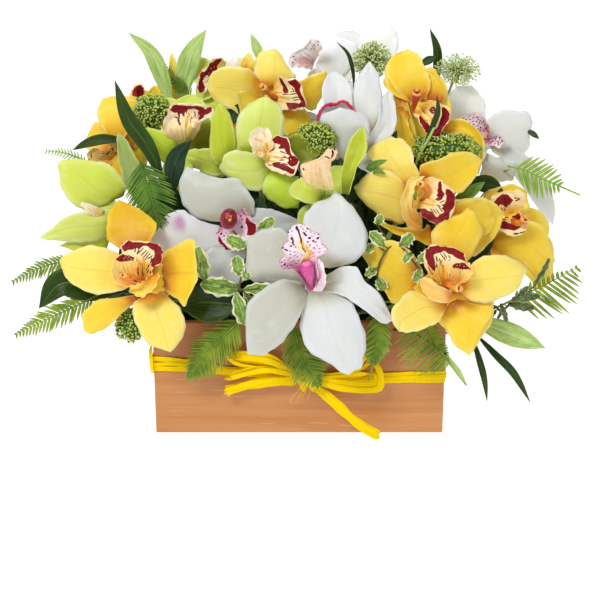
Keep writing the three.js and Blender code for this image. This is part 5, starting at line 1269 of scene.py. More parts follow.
def frond(pc, path, d0, d1, gap, half, lean, droop, first, last, mat, rng, th=0.16):
    """Rachis with two rows of leaflets, longest below the middle."""
    length = np.linalg.norm(np.diff(smooth_path(path, 40), axis=0), axis=1).sum()
    n = max(8, int(length / gap))
    front = -VIEW if path[1][1] > 60 else VIEW
    C = smooth_path(path, n)
    T, N, B = frames(C, front)
    pc.tube(C, np.linspace(0.9, 0.75 if last < 0.8 else 0.3, len(C)), mat, 7)
    for i in range(1, n + 1):
        u = i / n
        if not first <= u <= last:
            continue
        env = math.sin(math.pi * min(1, 0.22 + 0.80 * u / max(last, 0.7)) * 0.94) * 0.8 + 0.2 * (1 - u)
        for sg in (-1, 1):
            ln = max(3.0, (d0 if sg > 0 else d1) * env) * rng.uniform(0.84, 1.08)
            d = unit(B[i] * sg * 0.86 + T[i] * lean + rng.normal(0, 0.05, 3))
            up = unit(N[i] + rng.normal(0, 0.12, 3))
            k = np.linspace(0, 1, 7)
            g = arr((0, 0, -1.0))
            cc = C[i] + np.outer(k * ln, d) + np.outer(-droop * 0.35 * k ** 2, up) + np.outer(droop * 0.5 * k ** 2, g)
            t2, n2, b2 = frames(cc, up)
            hw = half * np.interp(k, [0, 0.15, 0.5, 0.8, 1], [0.5, 0.95, 1.0, 0.7, 0.12]) * (0.75 + 0.35 * env)
            v = np.array([-1.0, 0.0, 1.0])
            P = cc[:, None, :] + (hw[:, None] * v)[:, :, None] * b2[:, None, :] + (0.25 * hw[:, None] * np.abs(v))[:, :, None] * n2[:, None, :]
            pc.sheet(P, th, mat, rng.uniform(0, 1), k, v)


def fern(f):
    rng = np.random.default_rng(sum(ord(ch) for ch in f["name"]))
    tone, gap, half, lean, droop, first, last = FERN_STYLE[f["name"]]
    pc = Piece(f["name"] + "_frond")
    pc.tube(smooth_path(f["stem"], 20), 0.9, FROND[tone], 7)
    frond(pc, f["path"], f["d0"], f["d1"], gap, half, lean, droop, first, last, FROND[tone], rng)
    pc.done([f["name"]])


BUD_STYLE = {"buds_left": (620, 1.15, 0), "buds_centre": (760, 1.1, 0), "buds_top": (620, 1.05, 3.5),
             "buds_right": (1050, 1.12, 0), "buds_top_right": (480, 0.72, 6), "buds_low_left": (420, 1.05, 0)}


def buds(f):
    rng = np.random.default_rng(sum(ord(ch) for ch in f["name"]))
    n, r, airy = BUD_STYLE[f["name"]]
    c = arr(f["c"])
    R = arr((f["rx"], f["rx"] * 0.8, f["rz"]))
    pc = Piece(f["name"] + "_cluster")
    pc.tube(smooth_path(f["stem"], 20), 1.2, STEM, 8)
    if not airy:
        pc.blob(c, (0, 0, 1), f["rx"] * 0.74, f["rz"] * 0.74, CORE, 0.5, 12, 18)
    ga = math.pi * (3 - math.sqrt(5))
    for i in range(n):
        z = 1 - 2 * (i + 0.5) / n
        rr = math.sqrt(1 - z * z)
        d = arr((rr * math.cos(i * ga), rr * math.sin(i * ga), z)) + rng.normal(0, 0.10, 3)
        d = unit(d)
        lump = 0.93 + 0.11 * math.sin(5 * d[0] + 2) * math.cos(6 * d[1] + 4 * d[2])
        p = c + d * R * (lump * rng.uniform(0.86, 1.03) if not airy else rng.uniform(0.3, 1.0) ** 0.6)
        s = rng.uniform(0.8, 1.2) * r
        ax = unit(d + rng.normal(0, 0.25, 3))
        pc.blob(p, ax, s * 0.86, s * 1.12, BUD_PALE if airy > 1 else BUD, rng.uniform(0, 1), 4, 5, 0.25)
        if airy:
            root = c + (p - c) * 0.15 + rng.normal(0, 1, 3)
            if i % 3 == 0:
                pc.tube(np.array([root, (root + p) / 2 + rng.normal(0, 0.9, 3), p]), 0.22, BUD_PALE, 4, 0.9)
    if airy:
        for i in range(10):
            d = unit(rng.normal(0, 1, 3) + arr((0, 0, 0.4)))
            pc.tube(np.array([c - arr((0, 0, f["rz"] * 0.7)), c + d * R * 0.2, c + d * R * 0.75]), 0.5, STEM, 5)
    pc.done([f["name"]])


def pitto(f):
    rng = np.random.default_rng(sum(ord(ch) for ch in f["name"]))
    pc = Piece(f["name"] + "_sprig")
    pc.tube(smooth_path(f["stem"], 20), 1.1, TWIG, 8)
    sp = smooth_path(f["path"], 24)
    pc.tube(sp, np.linspace(1.1, 0.6, len(sp)), TWIG, 8)
    for l in f["leaves"]:
        a, t = arr(l["a"]), arr(l["t"])
        root = sp[np.linalg.norm(sp - a, axis=1).argmin()]
        mid = (a + t) / 2 + VIEW * rng.uniform(0.5, 3)
        pc.tube(smooth_path([root, a, mid], 8), 0.5, TWIG, 6)
        shape = lambda u: np.interp(u, [0, 0.1, 0.35, 0.6, 0.85, 0.95, 1.0], [0.15, 0.5, 0.95, 1.0, 0.72, 0.42, 0.05])
        n0 = unit(VIEW + rng.normal(0, 0.35, 3))
        blade(pc, [a, mid, t], l["w"] * (0.62 if "low" in f["name"] else 0.98), DUSKY if "low" in f["name"] else PITTO, rng, 0.30, 26, 12, n0, shape, 0.3, 0.10, 0.8, frill=0.11)
    pc.done([f["name"]])



# ------------------------------------------------------------------ places of every piece, in mm
BLOOMS = [
    {'name': 'yellow_front_left', 'kind': 'Y', 'o': [-110.6, -98.0, 136.7], 'n': [-0.364, -0.859, 0.36], 'ld': [-0.224, 0.456, 0.861], 'tepals': [{'tip': [-142.1, -68.8, 197.9], 'w': 42}, {'tip': [-190.3, -85.2, 151.1], 'w': 40, 'bow': 9}, {'tip': [-171.6, -103.1, 99.3], 'w': 27}, {'tip': [-101.6, -110.1, 83.3], 'w': 42, 'bow': 8}, {'tip': [-77.3, -114.6, 157.6], 'w': 46, 'cup': [0.7, 0.9]}], 'lip': {}, 'stem': [[-110.6, -98.0, 136.7], [-104.8, -84.3, 130.9], [-47.0, -57.8, 92.0], [-45.6, -53.7, 58.0]]},
    {'name': 'yellow_front_right', 'kind': 'Y', 'o': [113.5, -98.0, 132.5], 'n': [0.024, -0.989, 0.148], 'ld': [-0.258, 0.137, 0.957], 'tepals': [{'tip': [138.9, -67.3, 191.8], 'w': 44}, {'tip': [49.0, -86.0, 151.4], 'w': 46}, {'tip': [78.8, -125.2, 105.0], 'w': 40, 'cup': [0.8, 0.9]}, {'tip': [143.3, -109.9, 79.8], 'w': 44}, {'tip': [182.2, -92.7, 149.9], 'w': 42, 'bow': 8}], 'lip': {}, 'stem': [[113.5, -98.0, 132.5], [113.1, -82.2, 130.2], [56.7, -53.9, 92.0], [55.0, -50.1, 58.0]]},
    {'name': 'yellow_mid_right', 'kind': 'Y', 'o': [90.7, -58.0, 198.0], 'n': [0.167, -0.911, 0.377], 'ld': [0.891, -0.025, -0.454], 'tepals': [{'tip': [44.0, -55.6, 205.7], 'w': 42}, {'tip': [56.0, -33.4, 237.5], 'w': 38}, {'tip': [146.4, -41.9, 230.0], 'w': 40}, {'tip': [67.8, -59.7, 171.9], 'w': 22}, {'tip': [167.3, -43.4, 177.2], 'w': 32}], 'lip': {}, 'stem': [[90.7, -58.0, 198.0], [88.1, -43.4, 191.9], [45.4, -31.9, 92.0], [44.0, -29.7, 58.0]]},
    {'name': 'yellow_right', 'kind': 'Y', 'o': [161.3, -30.0, 155.2], 'n': [0.438, -0.662, 0.608], 'ld': [0.232, 0.737, 0.635], 'tepals': [{'tip': [214.0, -34.0, 128.5], 'w': 50, 'side': -6}, {'tip': [181.9, -8.2, 199.2], 'w': 40}, {'tip': [127.3, -11.6, 181.0], 'w': 30}, {'tip': [173.2, -38.0, 108.6], 'w': 32}, {'tip': [212.2, -6.1, 165.0], 'w': 34}], 'lip': {'L': 40}, 'stem': [[161.3, -30.0, 155.2], [154.3, -19.4, 145.5], [80.6, -16.5, 92.0], [78.2, -15.3, 58.0]]},
    {'name': 'yellow_top_right', 'kind': 'Y', 'o': [97.0, -12.0, 267.8], 'n': [0.161, -0.926, 0.342], 'ld': [0.675, -0.15, -0.723], 'tepals': [{'tip': [89.3, 6.6, 308.2], 'w': 36}, {'tip': [123.8, 4.4, 287.1], 'w': 30}, {'tip': [72.0, 2.3, 287.4], 'w': 24}, {'tip': [93.4, -20.0, 221.0], 'w': 22, 'side': -5}, {'tip': [149.8, -20.5, 219.4], 'w': 34, 'side': 12}], 'lip': {'L': 40}, 'stem': [[97.0, -12.0, 267.8], [94.4, 2.8, 262.4], [48.5, -6.6, 92.0], [47.0, -6.1, 58.0]]},
    {'name': 'yellow_top_left', 'kind': 'Y', 'o': [-26.3, 8.0, 270.1], 'n': [0.156, -0.874, 0.461], 'ld': [0.984, 0.178, 0.005], 'tepals': [{'tip': [-23.1, 26.1, 308.8], 'w': 38}, {'tip': [-74.4, 15.0, 279.2], 'w': 36}, {'tip': [25.3, 28.8, 283.4], 'w': 34}, {'tip': [9.0, 2.2, 237.3], 'w': 30}, {'tip': [-51.6, 5.1, 253.7], 'w': 30}], 'lip': {'L': 40}, 'stem': [[-26.3, 8.0, 270.1], [-28.8, 22.0, 262.7], [-13.1, 4.4, 92.0], [-12.7, 4.1, 58.0]]},
    {'name': 'yellow_left_back', 'kind': 'Y', 'o': [-153.4, -8.0, 227.2], 'n': [-0.571, -0.716, 0.402], 'ld': [-0.812, 0.418, -0.408], 'tepals': [{'tip': [-168.3, 9.2, 269.9], 'w': 38}, {'tip': [-134.3, 19.0, 267.8], 'w': 36}, {'tip': [-156.8, -16.3, 200.0], 'w': 26}, {'tip': [-176.9, 6.9, 241.6], 'w': 26}, {'tip': [-128.4, 3.4, 216.7], 'w': 28}], 'lip': {'L': 32}, 'stem': [[-153.4, -8.0, 227.2], [-144.3, 3.5, 220.8], [-76.7, -4.4, 92.0], [-74.4, -4.1, 58.0]]},
    {'name': 'yellow_far_left', 'kind': 'Y', 'o': [-122.8, 45.0, 265.1], 'n': [-0.336, -0.719, 0.608], 'ld': [-0.898, 0.439, 0.023], 'tepals': [{'tip': [-111.3, 61.0, 296.9], 'w': 22}, {'tip': [-139.8, 61.7, 285.6], 'w': 22}, {'tip': [-103.7, 43.0, 258.5], 'w': 24}, {'tip': [-129.8, 38.4, 243.5], 'w': 24}, {'tip': [-149.8, 46.9, 251.0], 'w': 24}], 'lip': {'L': 30, 'W': 28}, 'stem': [[-122.8, 45.0, 265.1], [-117.5, 56.5, 255.4], [-61.4, 24.8, 92.0], [-59.6, 23.0, 58.0]]},
    {'name': 'lime_top_left', 'kind': 'G', 'o': [-63.2, 38.0, 272.9], 'n': [-0.471, -0.711, 0.522], 'ld': [-0.731, 0.646, 0.221], 'tepals': [{'tip': [-96.1, 46.3, 293.3], 'w': 24}, {'tip': [-73.3, 26.4, 248.8], 'w': 26}, {'tip': [-53.4, 55.2, 295.0], 'w': 26}, {'tip': [-89.4, 40.0, 265.8], 'w': 26}, {'tip': [-38.5, 44.0, 265.3], 'w': 26}], 'lip': {'L': 34, 'W': 30}, 'stem': [[-63.2, 38.0, 272.9], [-55.7, 49.4, 264.6], [-31.6, 20.9, 92.0], [-30.7, 19.4, 58.0]]},
    {'name': 'lime_left', 'kind': 'G', 'o': [-153.3, -40.0, 181.5], 'n': [-0.627, -0.713, 0.314], 'ld': [-0.777, 0.541, -0.322], 'tepals': [{'tip': [-199.8, -23.0, 216.5], 'w': 48}, {'tip': [-215.5, -44.3, 160.5], 'w': 36}, {'tip': [-150.6, -16.5, 244.6], 'w': 24, 'side': 4}, {'tip': [-196.9, -40.4, 152.7], 'w': 22}, {'tip': [-132.9, -34.6, 151.2], 'w': 28}], 'lip': {'L': 24, 'W': 20}, 'stem': [[-153.3, -40.0, 181.5], [-143.3, -28.6, 176.4], [-76.7, -22.0, 92.0], [-74.4, -20.5, 58.0]]},
    {'name': 'lime_upper_left', 'kind': 'G', 'o': [-94.2, -15.0, 226.8], 'n': [0.085, -0.76, 0.644], 'ld': [0.163, 0.648, 0.744], 'tepals': [{'tip': [-131.9, -7.9, 243.2], 'w': 34}, {'tip': [-80.0, 9.6, 273.2], 'w': 34}, {'tip': [-62.5, -21.8, 211.3], 'w': 26}, {'tip': [-117.0, 8.2, 268.4], 'w': 28}, {'tip': [-105.3, -30.1, 197.8], 'w': 26}], 'lip': {}, 'stem': [[-94.2, -15.0, 226.8], [-95.6, -2.8, 216.5], [-47.1, -8.3, 92.0], [-45.7, -7.7, 58.0]]},
    {'name': 'lime_centre', 'kind': 'G', 'o': [-31.6, -50.0, 231.4], 'n': [0.232, -0.877, 0.421], 'ld': [0.964, 0.151, -0.218], 'tepals': [{'tip': [-27.7, -31.1, 272.9], 'w': 46}, {'tip': [-65.8, -29.8, 270.3], 'w': 24, 'side': 4}, {'tip': [-61.8, -58.2, 218.4], 'w': 38}, {'tip': [3.8, -68.6, 191.3], 'w': 42}, {'tip': [19.2, -41.1, 233.1], 'w': 28}], 'lip': {'L': 40}, 'stem': [[-31.6, -50.0, 231.4], [-35.3, -36.0, 224.7], [-15.8, -27.5, 92.0], [-15.3, -25.6, 58.0]]},
    {'name': 'lime_centre_right', 'kind': 'G', 'o': [20.4, -72.0, 196.1], 'n': [-0.094, -0.732, 0.674], 'ld': [-0.108, 0.681, 0.724], 'tepals': [{'tip': [53.7, -41.7, 254.3], 'w': 24, 'side': 6}, {'tip': [-7.4, -68.1, 209.0], 'w': 26}, {'tip': [41.0, -46.1, 219.3], 'w': 24}, {'tip': [42.0, -77.7, 170.6], 'w': 26}, {'tip': [5.4, -75.8, 170.1], 'w': 26}], 'lip': {'L': 40, 'W': 36}, 'stem': [[20.4, -72.0, 196.1], [21.9, -60.3, 185.3], [10.2, -39.6, 92.0], [9.9, -36.8, 58.0]]},
    {'name': 'white_front', 'kind': 'W', 'o': [6.8, -108.0, 131.4], 'n': [-0.006, -0.975, 0.22], 'ld': [-0.07, 0.22, 0.973], 'tepals': [{'tip': [28.3, -72.2, 207.5], 'w': 56}, {'tip': [-41.8, -92.2, 169.3], 'w': 54}, {'tip': [-32.2, -124.3, 85.0], 'w': 46, 'bow': 8}, {'tip': [38.9, -126.5, 70.8], 'w': 54, 'bow': 8}, {'tip': [77.5, -112.0, 104.7], 'w': 30, 'side': 4}], 'lip': {'L': 54, 'W': 44}, 'stem': [[6.8, -108.0, 131.4], [6.9, -92.4, 127.9], [3.4, -56.0, 92.0], [3.3, -52.1, 58.0]]},
    {'name': 'white_mid_left', 'kind': 'W', 'o': [-54.5, -72.0, 179.0], 'n': [-0.149, -0.891, 0.428], 'ld': [0.55, -0.434, -0.713], 'tepals': [{'tip': [-68.8, -47.6, 224.5], 'w': 60}, {'tip': [-118.7, -72.9, 169.3], 'w': 36}, {'tip': [-58.5, -86.5, 131.6], 'w': 40}, {'tip': [-10.7, -59.8, 177.7], 'w': 34}, {'tip': [-30.3, -45.4, 204.3], 'w': 34}], 'lip': {}, 'stem': [[-54.5, -72.0, 179.0], [-52.2, -57.7, 172.1], [-27.3, -39.6, 92.0], [-26.5, -36.8, 58.0]]},
    {'name': 'white_centre_back', 'kind': 'W', 'o': [43.9, -34.0, 223.6], 'n': [-0.024, -0.3, 0.954], 'ld': [-0.148, 0.945, 0.293], 'tepals': [{'tip': [59.0, -4.0, 301.2], 'w': 34}, {'tip': [30.2, -4.2, 293.9], 'w': 30}, {'tip': [78.4, -15.7, 276.5], 'w': 24}, {'tip': [27.0, -43.6, 267.4], 'w': 46, 'cup': [0.8, 0.9]}, {'tip': [66.6, -53.6, 214.2], 'w': 30}], 'lip': {'L': 46, 'W': 42}, 'stem': [[43.9, -34.0, 223.6], [44.3, -29.2, 208.3], [22.0, -18.7, 92.0], [21.3, -17.4, 58.0]]},
    {'name': 'white_right_back', 'kind': 'W', 'o': [164.0, 28.0, 227.8], 'n': [0.258, -0.829, 0.496], 'ld': [-0.652, 0.23, 0.723], 'tepals': [{'tip': [140.8, 50.2, 273.1], 'w': 38}, {'tip': [201.5, 41.3, 250.9], 'w': 46}, {'tip': [180.8, 17.8, 187.7], 'w': 40}, {'tip': [221.4, 20.9, 156.7], 'w': 26, 'side': 6}, {'tip': [136.0, 27.4, 212.2], 'w': 28}], 'lip': {'L': 38}, 'stem': [[164.0, 28.0, 227.8], [159.9, 41.3, 219.9], [82.0, 15.4, 92.0], [79.5, 14.3, 58.0]]},
    {'name': 'white_top_back', 'kind': 'W', 'o': [32.1, 58.0, 273.9], 'n': [-0.255, -0.782, 0.569], 'ld': [-0.736, 0.538, 0.41], 'tepals': [{'tip': [18.2, 76.9, 315.3], 'w': 40}, {'tip': [73.2, 82.1, 318.4], 'w': 38}, {'tip': [4.1, 58.0, 266.9], 'w': 30}, {'tip': [60.3, 52.8, 250.1], 'w': 30}, {'tip': [46.8, 86.1, 318.0], 'w': 30}], 'lip': {'L': 38}, 'stem': [[32.1, 58.0, 273.9], [36.2, 70.5, 264.8], [16.1, 31.9, 92.0], [15.6, 29.7, 58.0]]},
    {'name': 'yellow_back', 'kind': 'Y', 'o': [-78.0, 72.0, 160.0], 'n': [-0.322, 0.919, 0.23], 'ld': [-0.206, 0.169, -0.964], 'tepals': [{'tip': [-65.6, 59.2, 211.1], 'w': 37.4, 'bow': 7}, {'tip': [-117.6, 46.5, 184.6], 'w': 35.3, 'bow': 7}, {'tip': [-27.0, 81.6, 171.3], 'w': 35.3, 'bow': 7}, {'tip': [-121.8, 66.8, 136.7], 'w': 33.2, 'bow': 7}, {'tip': [-49.4, 94.8, 126.1], 'w': 33.2, 'bow': 7}], 'lip': {}, 'stem': [[-78.0, 72.0, 160.0], [-72.9, 57.3, 156.3], [-39.0, 39.6, 92.0], [-37.8, 36.8, 58.0]]},
    {'name': 'white_back', 'kind': 'W', 'o': [6.0, 86.0, 198.0], 'n': [0.019, 0.958, 0.287], 'ld': [0.11, 0.284, -0.953], 'tepals': [{'tip': [-0.2, 66.3, 250.2], 'w': 38.8, 'bow': 7}, {'tip': [-46.9, 77.9, 211.1], 'w': 36.6, 'bow': 7}, {'tip': [54.2, 72.8, 221.2], 'w': 36.6, 'bow': 7}, {'tip': [-30.8, 100.9, 164.9], 'w': 34.5, 'bow': 7}, {'tip': [49.9, 96.8, 173.0], 'w': 34.5, 'bow': 7}], 'lip': {}, 'stem': [[6.0, 86.0, 198.0], [5.7, 70.7, 193.4], [3.0, 47.3, 92.0], [2.9, 44.0, 58.0]]},
    {'name': 'lime_back', 'kind': 'G', 'o': [88.0, 70.0, 158.0], 'n': [0.348, 0.916, 0.201], 'ld': [-0.01, 0.219, -0.976], 'tepals': [{'tip': [87.2, 54.5, 209.9], 'w': 37.4, 'bow': 7}, {'tip': [40.5, 77.6, 180.5], 'w': 35.3, 'bow': 7}, {'tip': [132.5, 44.5, 172.1], 'w': 35.3, 'bow': 7}, {'tip': [52.4, 93.6, 132.3], 'w': 33.2, 'bow': 7}, {'tip': [125.8, 67.1, 125.6], 'w': 33.2, 'bow': 7}], 'lip': {}, 'stem': [[88.0, 70.0, 158.0], [82.4, 55.4, 154.8], [44.0, 38.5, 92.0], [42.7, 35.8, 58.0]]},
]
LEAVES = [
    {'name': 'ruscus_left', 'blades': [{'tone': 'dark', 'w': 14, 'path': [[-108.6, -58.0, 207.0], [-119.6, -52.0, 235.0], [-137.0, -46.0, 259.8], [-147.0, -40.0, 288.4]]}, {'tone': 'dark', 'w': 9, 'path': [[-141.4, -20.0, 236.8], [-160.0, -22.0, 238.8], [-173.8, -24.0, 235.9], [-186.5, -24.0, 230.1]]}], 'stem': [[-108.6, -58.0, 207.0], [-102.9, -61.1, 192.3], [-49.4, -36.7, 92.0], [-47.9, -34.1, 58.0]]},
    {'name': 'ruscus_left_light', 'blades': [{'tone': 'light', 'w': 14, 'path': [[-108.5, 20.0, 254.9], [-115.7, 24.0, 281.5], [-125.5, 20.0, 305.3], [-141.7, 14.0, 321.4]]}, {'tone': 'light', 'w': 19, 'path': [[-103.0, 34.0, 256.3], [-99.0, 36.0, 280.0], [-90.5, 34.0, 303.9], [-78.8, 30.0, 322.6]]}], 'stem': [[-108.5, 20.0, 254.9], [-104.3, 17.7, 239.6], [-54.3, 11.0, 92.0], [-52.6, 10.2, 58.0]]},
    {'name': 'ruscus_centre_left', 'blades': [{'tone': 'blue', 'w': 16, 'path': [[-102.5, -58.0, 198.8], [-101.0, -60.0, 215.5], [-96.3, -62.0, 232.0], [-84.9, -62.0, 244.8]]}], 'stem': [[-102.5, -58.0, 198.8], [-103.9, -56.1, 182.9], [-51.2, -31.9, 92.0], [-49.7, -29.7, 58.0]]},
    {'name': 'ruscus_top_right', 'blades': [{'tone': 'dark', 'w': 8, 'path': [[118.1, 48.0, 268.2], [119.5, 50.0, 285.2], [118.7, 48.0, 304.2], [111.7, 44.0, 322.3]]}], 'stem': [[118.1, 48.0, 268.2], [116.8, 46.1, 252.4], [59.1, 26.4, 92.0], [57.3, 24.6, 58.0]]},
    {'name': 'ruscus_top_thin', 'blades': [{'tone': 'dark', 'w': 3.6, 'path': [[47.0, 34.0, 271.7], [45.9, 34.0, 287.0], [41.4, 32.0, 302.4], [31.9, 30.0, 312.6]]}], 'stem': [[48.7, 34.0, 266.6], [52.8, 34.0, 251.1], [24.4, 18.7, 92.0], [23.6, 17.4, 58.0]]},
    {'name': 'ruscus_bottom_left', 'blades': [{'tone': 'dark', 'w': 24, 'path': [[-145.6, -72.0, 122.3], [-165.2, -76.0, 125.2], [-190.7, -80.0, 132.2], [-209.6, -84.0, 112.4]]}], 'stem': [[-145.6, -72.0, 122.3], [-130.1, -68.8, 120.0], [-81.0, -40.9, 92.0], [-78.5, -38.0, 58.0]]},
    {'name': 'ruscus_front_left', 'blades': [{'tone': 'dark', 'w': 33, 'path': [[-95.7, -87.0, 114.2], [-80.1, -91.0, 118.8], [-64.0, -93.0, 119.4], [-46.4, -95.0, 118.4]]}], 'stem': [[-98.9, -86.0, 117.3], [-114.4, -82.2, 118.5], [-49.5, -47.3, 92.0], [-48.0, -44.0, 58.0]]},
    {'name': 'ruscus_mid_right', 'blades': [{'tone': 'dark', 'w': 5.0, 'path': [[103.5, -30.0, 239.4], [108.6, -32.0, 252.0], [112.0, -35.0, 263.8], [110.6, -37.0, 276.1]]}, {'tone': 'dark', 'w': 15, 'path': [[138.7, -22.0, 201.2], [148.4, -24.0, 202.4], [158.4, -24.0, 200.8], [169.5, -24.0, 195.7]]}], 'stem': [[96.1, -30.0, 212.9], [91.7, -28.5, 197.6], [48.0, -16.5, 92.0], [46.6, -15.3, 58.0]]},
    {'name': 'ruscus_low_right', 'blades': [{'tone': 'light', 'w': 18.9, 'path': [[139.8, -70.0, 99.5], [159.7, -76.0, 92.8], [180.2, -78.0, 84.9], [201.1, -78.0, 76.3]]}, {'tone': 'dark', 'w': 6.7, 'path': [[143.6, -70.0, 87.4], [160.9, -80.0, 70.9], [175.8, -84.0, 55.8], [190.2, -84.0, 31.2]]}, {'tone': 'dark', 'w': 5.6, 'path': [[139.2, -78.0, 90.1], [144.7, -84.0, 74.9], [150.7, -88.0, 53.8], [154.1, -88.0, 33.7]]}], 'stem': [[139.8, -70.0, 99.5], [137.7, -79.0, 112.0], [97.9, -64.0, 111.0], [69.9, -38.5, 92.0], [67.8, -35.8, 58.0]]},
    {'name': 'ruscus_back', 'blades': [{'tone': 'dark', 'w': 22, 'path': [[-20.0, 60.0, 112.0], [-30.0, 74.0, 150.0], [-38.0, 80.0, 190.0], [-44.0, 78.0, 236.0]]}, {'tone': 'light', 'w': 22, 'path': [[-27.0, 68.0, 134.0], [-10.0, 92.0, 140.0], [8.0, 104.0, 138.0], [30.0, 112.0, 128.0]]}, {'tone': 'dark', 'w': 22, 'path': [[-27.0, 68.0, 134.0], [-44.0, 92.0, 128.0], [-56.0, 108.0, 112.0], [-64.0, 118.0, 88.0]]}, {'tone': 'light', 'w': 20, 'path': [[-22.0, 62.0, 118.0], [-14.0, 90.0, 112.0], [-8.0, 108.0, 96.0], [-6.0, 118.0, 70.0]]}, {'tone': 'dark', 'w': 20, 'path': [[-22.0, 62.0, 118.0], [24.0, 84.0, 116.0], [48.0, 104.0, 106.0], [62.0, 118.0, 84.0]]}, {'tone': 'light', 'w': 20, 'path': [[-36.0, 79.0, 180.0], [-62.0, 90.0, 200.0], [-84.0, 94.0, 216.0], [-104.0, 92.0, 228.0]]}, {'tone': 'dark', 'w': 18, 'path': [[36.0, 96.0, 112.0], [76.0, 104.0, 112.0], [100.0, 98.0, 116.0], [122.0, 90.0, 118.0]]}], 'stem': [[-20.0, 60.0, 112.0], [-17.5, 56.5, 102.4], [-10.0, 33.0, 92.0], [-9.7, 30.7, 58.0]]},
]
FERNS = [
    {'name': 'fern_left_upper', 'path': [[-175.4, -62.0, 144.8], [-192.5, -66.0, 145.9], [-209.8, -70.0, 142.0], [-231.1, -72.0, 131.6]], 'n': 13, 'len': 14, 'd0': 11, 'd1': 11, 'stem': [[-175.4, -62.0, 144.8], [-167.6, -60.2, 144.3], [-132.0, -56.4, 123.1], [-104.0, -45.3, 108.0], [-87.7, -34.1, 92.0], [-85.1, -31.7, 58.0]]},
    {'name': 'fern_left_lower', 'path': [[-164.3, -78.0, 120.7], [-179.7, -84.0, 114.1], [-200.4, -88.0, 105.3], [-227.8, -88.0, 91.7]], 'n': 14, 'len': 22, 'd0': 17, 'd1': 15, 'stem': [[-164.3, -78.0, 120.7], [-138.6, -73.9, 132.1], [-76.4, -42.9, 92.0], [-74.1, -39.9, 58.0]]},
    {'name': 'fern_centre_left', 'path': [[-127.4, -56.0, 226.1], [-121.2, -66.0, 210.2], [-116.3, -72.0, 195.3], [-111.6, -76.0, 178.3]], 'n': 15, 'len': 26, 'd0': 28, 'd1': 27, 'stem': [[-127.4, -56.0, 226.1], [-122.2, -50.0, 213.5], [-105.4, -40.0, 161.1], [-44.9, -32.0, 58.4]]},
    {'name': 'fern_right_upper', 'path': [[177.7, 6.0, 211.0], [191.3, 5.0, 207.8], [211.9, 3.0, 198.6], [239.3, 0.0, 187.1]], 'n': 12, 'len': 17, 'd0': 22, 'd1': 21, 'stem': [[177.9, 6.0, 207.6], [174.2, 34.0, 196.8], [155.1, 40.0, 168.6], [85.9, 5.5, 92.0], [83.3, 5.1, 58.0]]},
    {'name': 'fern_right_lower', 'path': [[178.9, -40.0, 105.7], [195.7, -46.0, 116.3], [212.6, -50.0, 127.0], [228.1, -52.0, 137.0]], 'n': 13, 'len': 26, 'd0': 36, 'd1': 10, 'stem': [[178.9, -40.0, 105.7], [170.0, -34.0, 98.6], [146.0, -28.0, 84.2], [104.6, -22.0, 56.7]]},
    {'name': 'fern_front_left', 'path': [[-47.7, -88.0, 103.6], [-62.1, -93.0, 90.0], [-75.1, -95.0, 77.1], [-90.3, -93.0, 56.6]], 'n': 14, 'len': 22, 'd0': 22, 'd1': 23, 'stem': [[-47.7, -88.0, 103.6], [-43.9, -79.0, 112.0], [-31.2, -64.0, 111.0], [-22.3, -47.3, 92.0], [-21.6, -44.0, 58.0]]},
    {'name': 'fern_front_centre', 'path': [[-4.3, -88.0, 98.5], [-1.0, -92.0, 85.4], [4.6, -94.0, 72.5], [16.0, -93.0, 49.7]], 'n': 14, 'len': 22, 'd0': 23, 'd1': 22, 'stem': [[-4.3, -88.0, 98.5], [-13.8, -79.0, 112.0], [-9.8, -64.0, 111.0], [-7.0, -47.3, 92.0], [-6.8, -44.0, 58.0]]},
    {'name': 'fern_front_right', 'path': [[64.0, -88.0, 110.3], [63.3, -92.0, 93.1], [61.1, -92.0, 77.7], [56.8, -90.0, 52.0]], 'n': 12, 'len': 18, 'd0': 15, 'd1': 15, 'stem': [[64.0, -88.0, 110.3], [60.2, -82.1, 120.1], [60.7, -76.0, 112.0], [39.1, -64.0, 111.0], [24.0, -46.0, 92.0], [23.3, -42.7, 58.0]]},
    {'name': 'fern_front_far_right', 'path': [[100.0, -90.0, 107.6], [106.5, -94.0, 92.9], [119.1, -95.0, 72.0], [135.6, -93.0, 49.7]], 'n': 14, 'len': 20, 'd0': 35, 'd1': 9, 'stem': [[100.0, -90.0, 107.6], [94.1, -79.0, 112.0], [66.9, -64.0, 111.0], [47.8, -48.4, 92.0], [46.3, -45.0, 58.0]]},
    {'name': 'fern_back', 'path': [[20.0, 74.0, 100.0], [24.0, 96.0, 104.0], [30.0, 112.0, 88.0], [34.0, 120.0, 58.0]], 'n': 14, 'len': 26, 'd0': 20, 'd1': 20, 'stem': [[20.0, 74.0, 100.0], [20.0, 74.0, 112.0], [15.0, 62.0, 108.0], [10.0, 40.7, 92.0], [9.7, 37.9, 58.0]]},
]
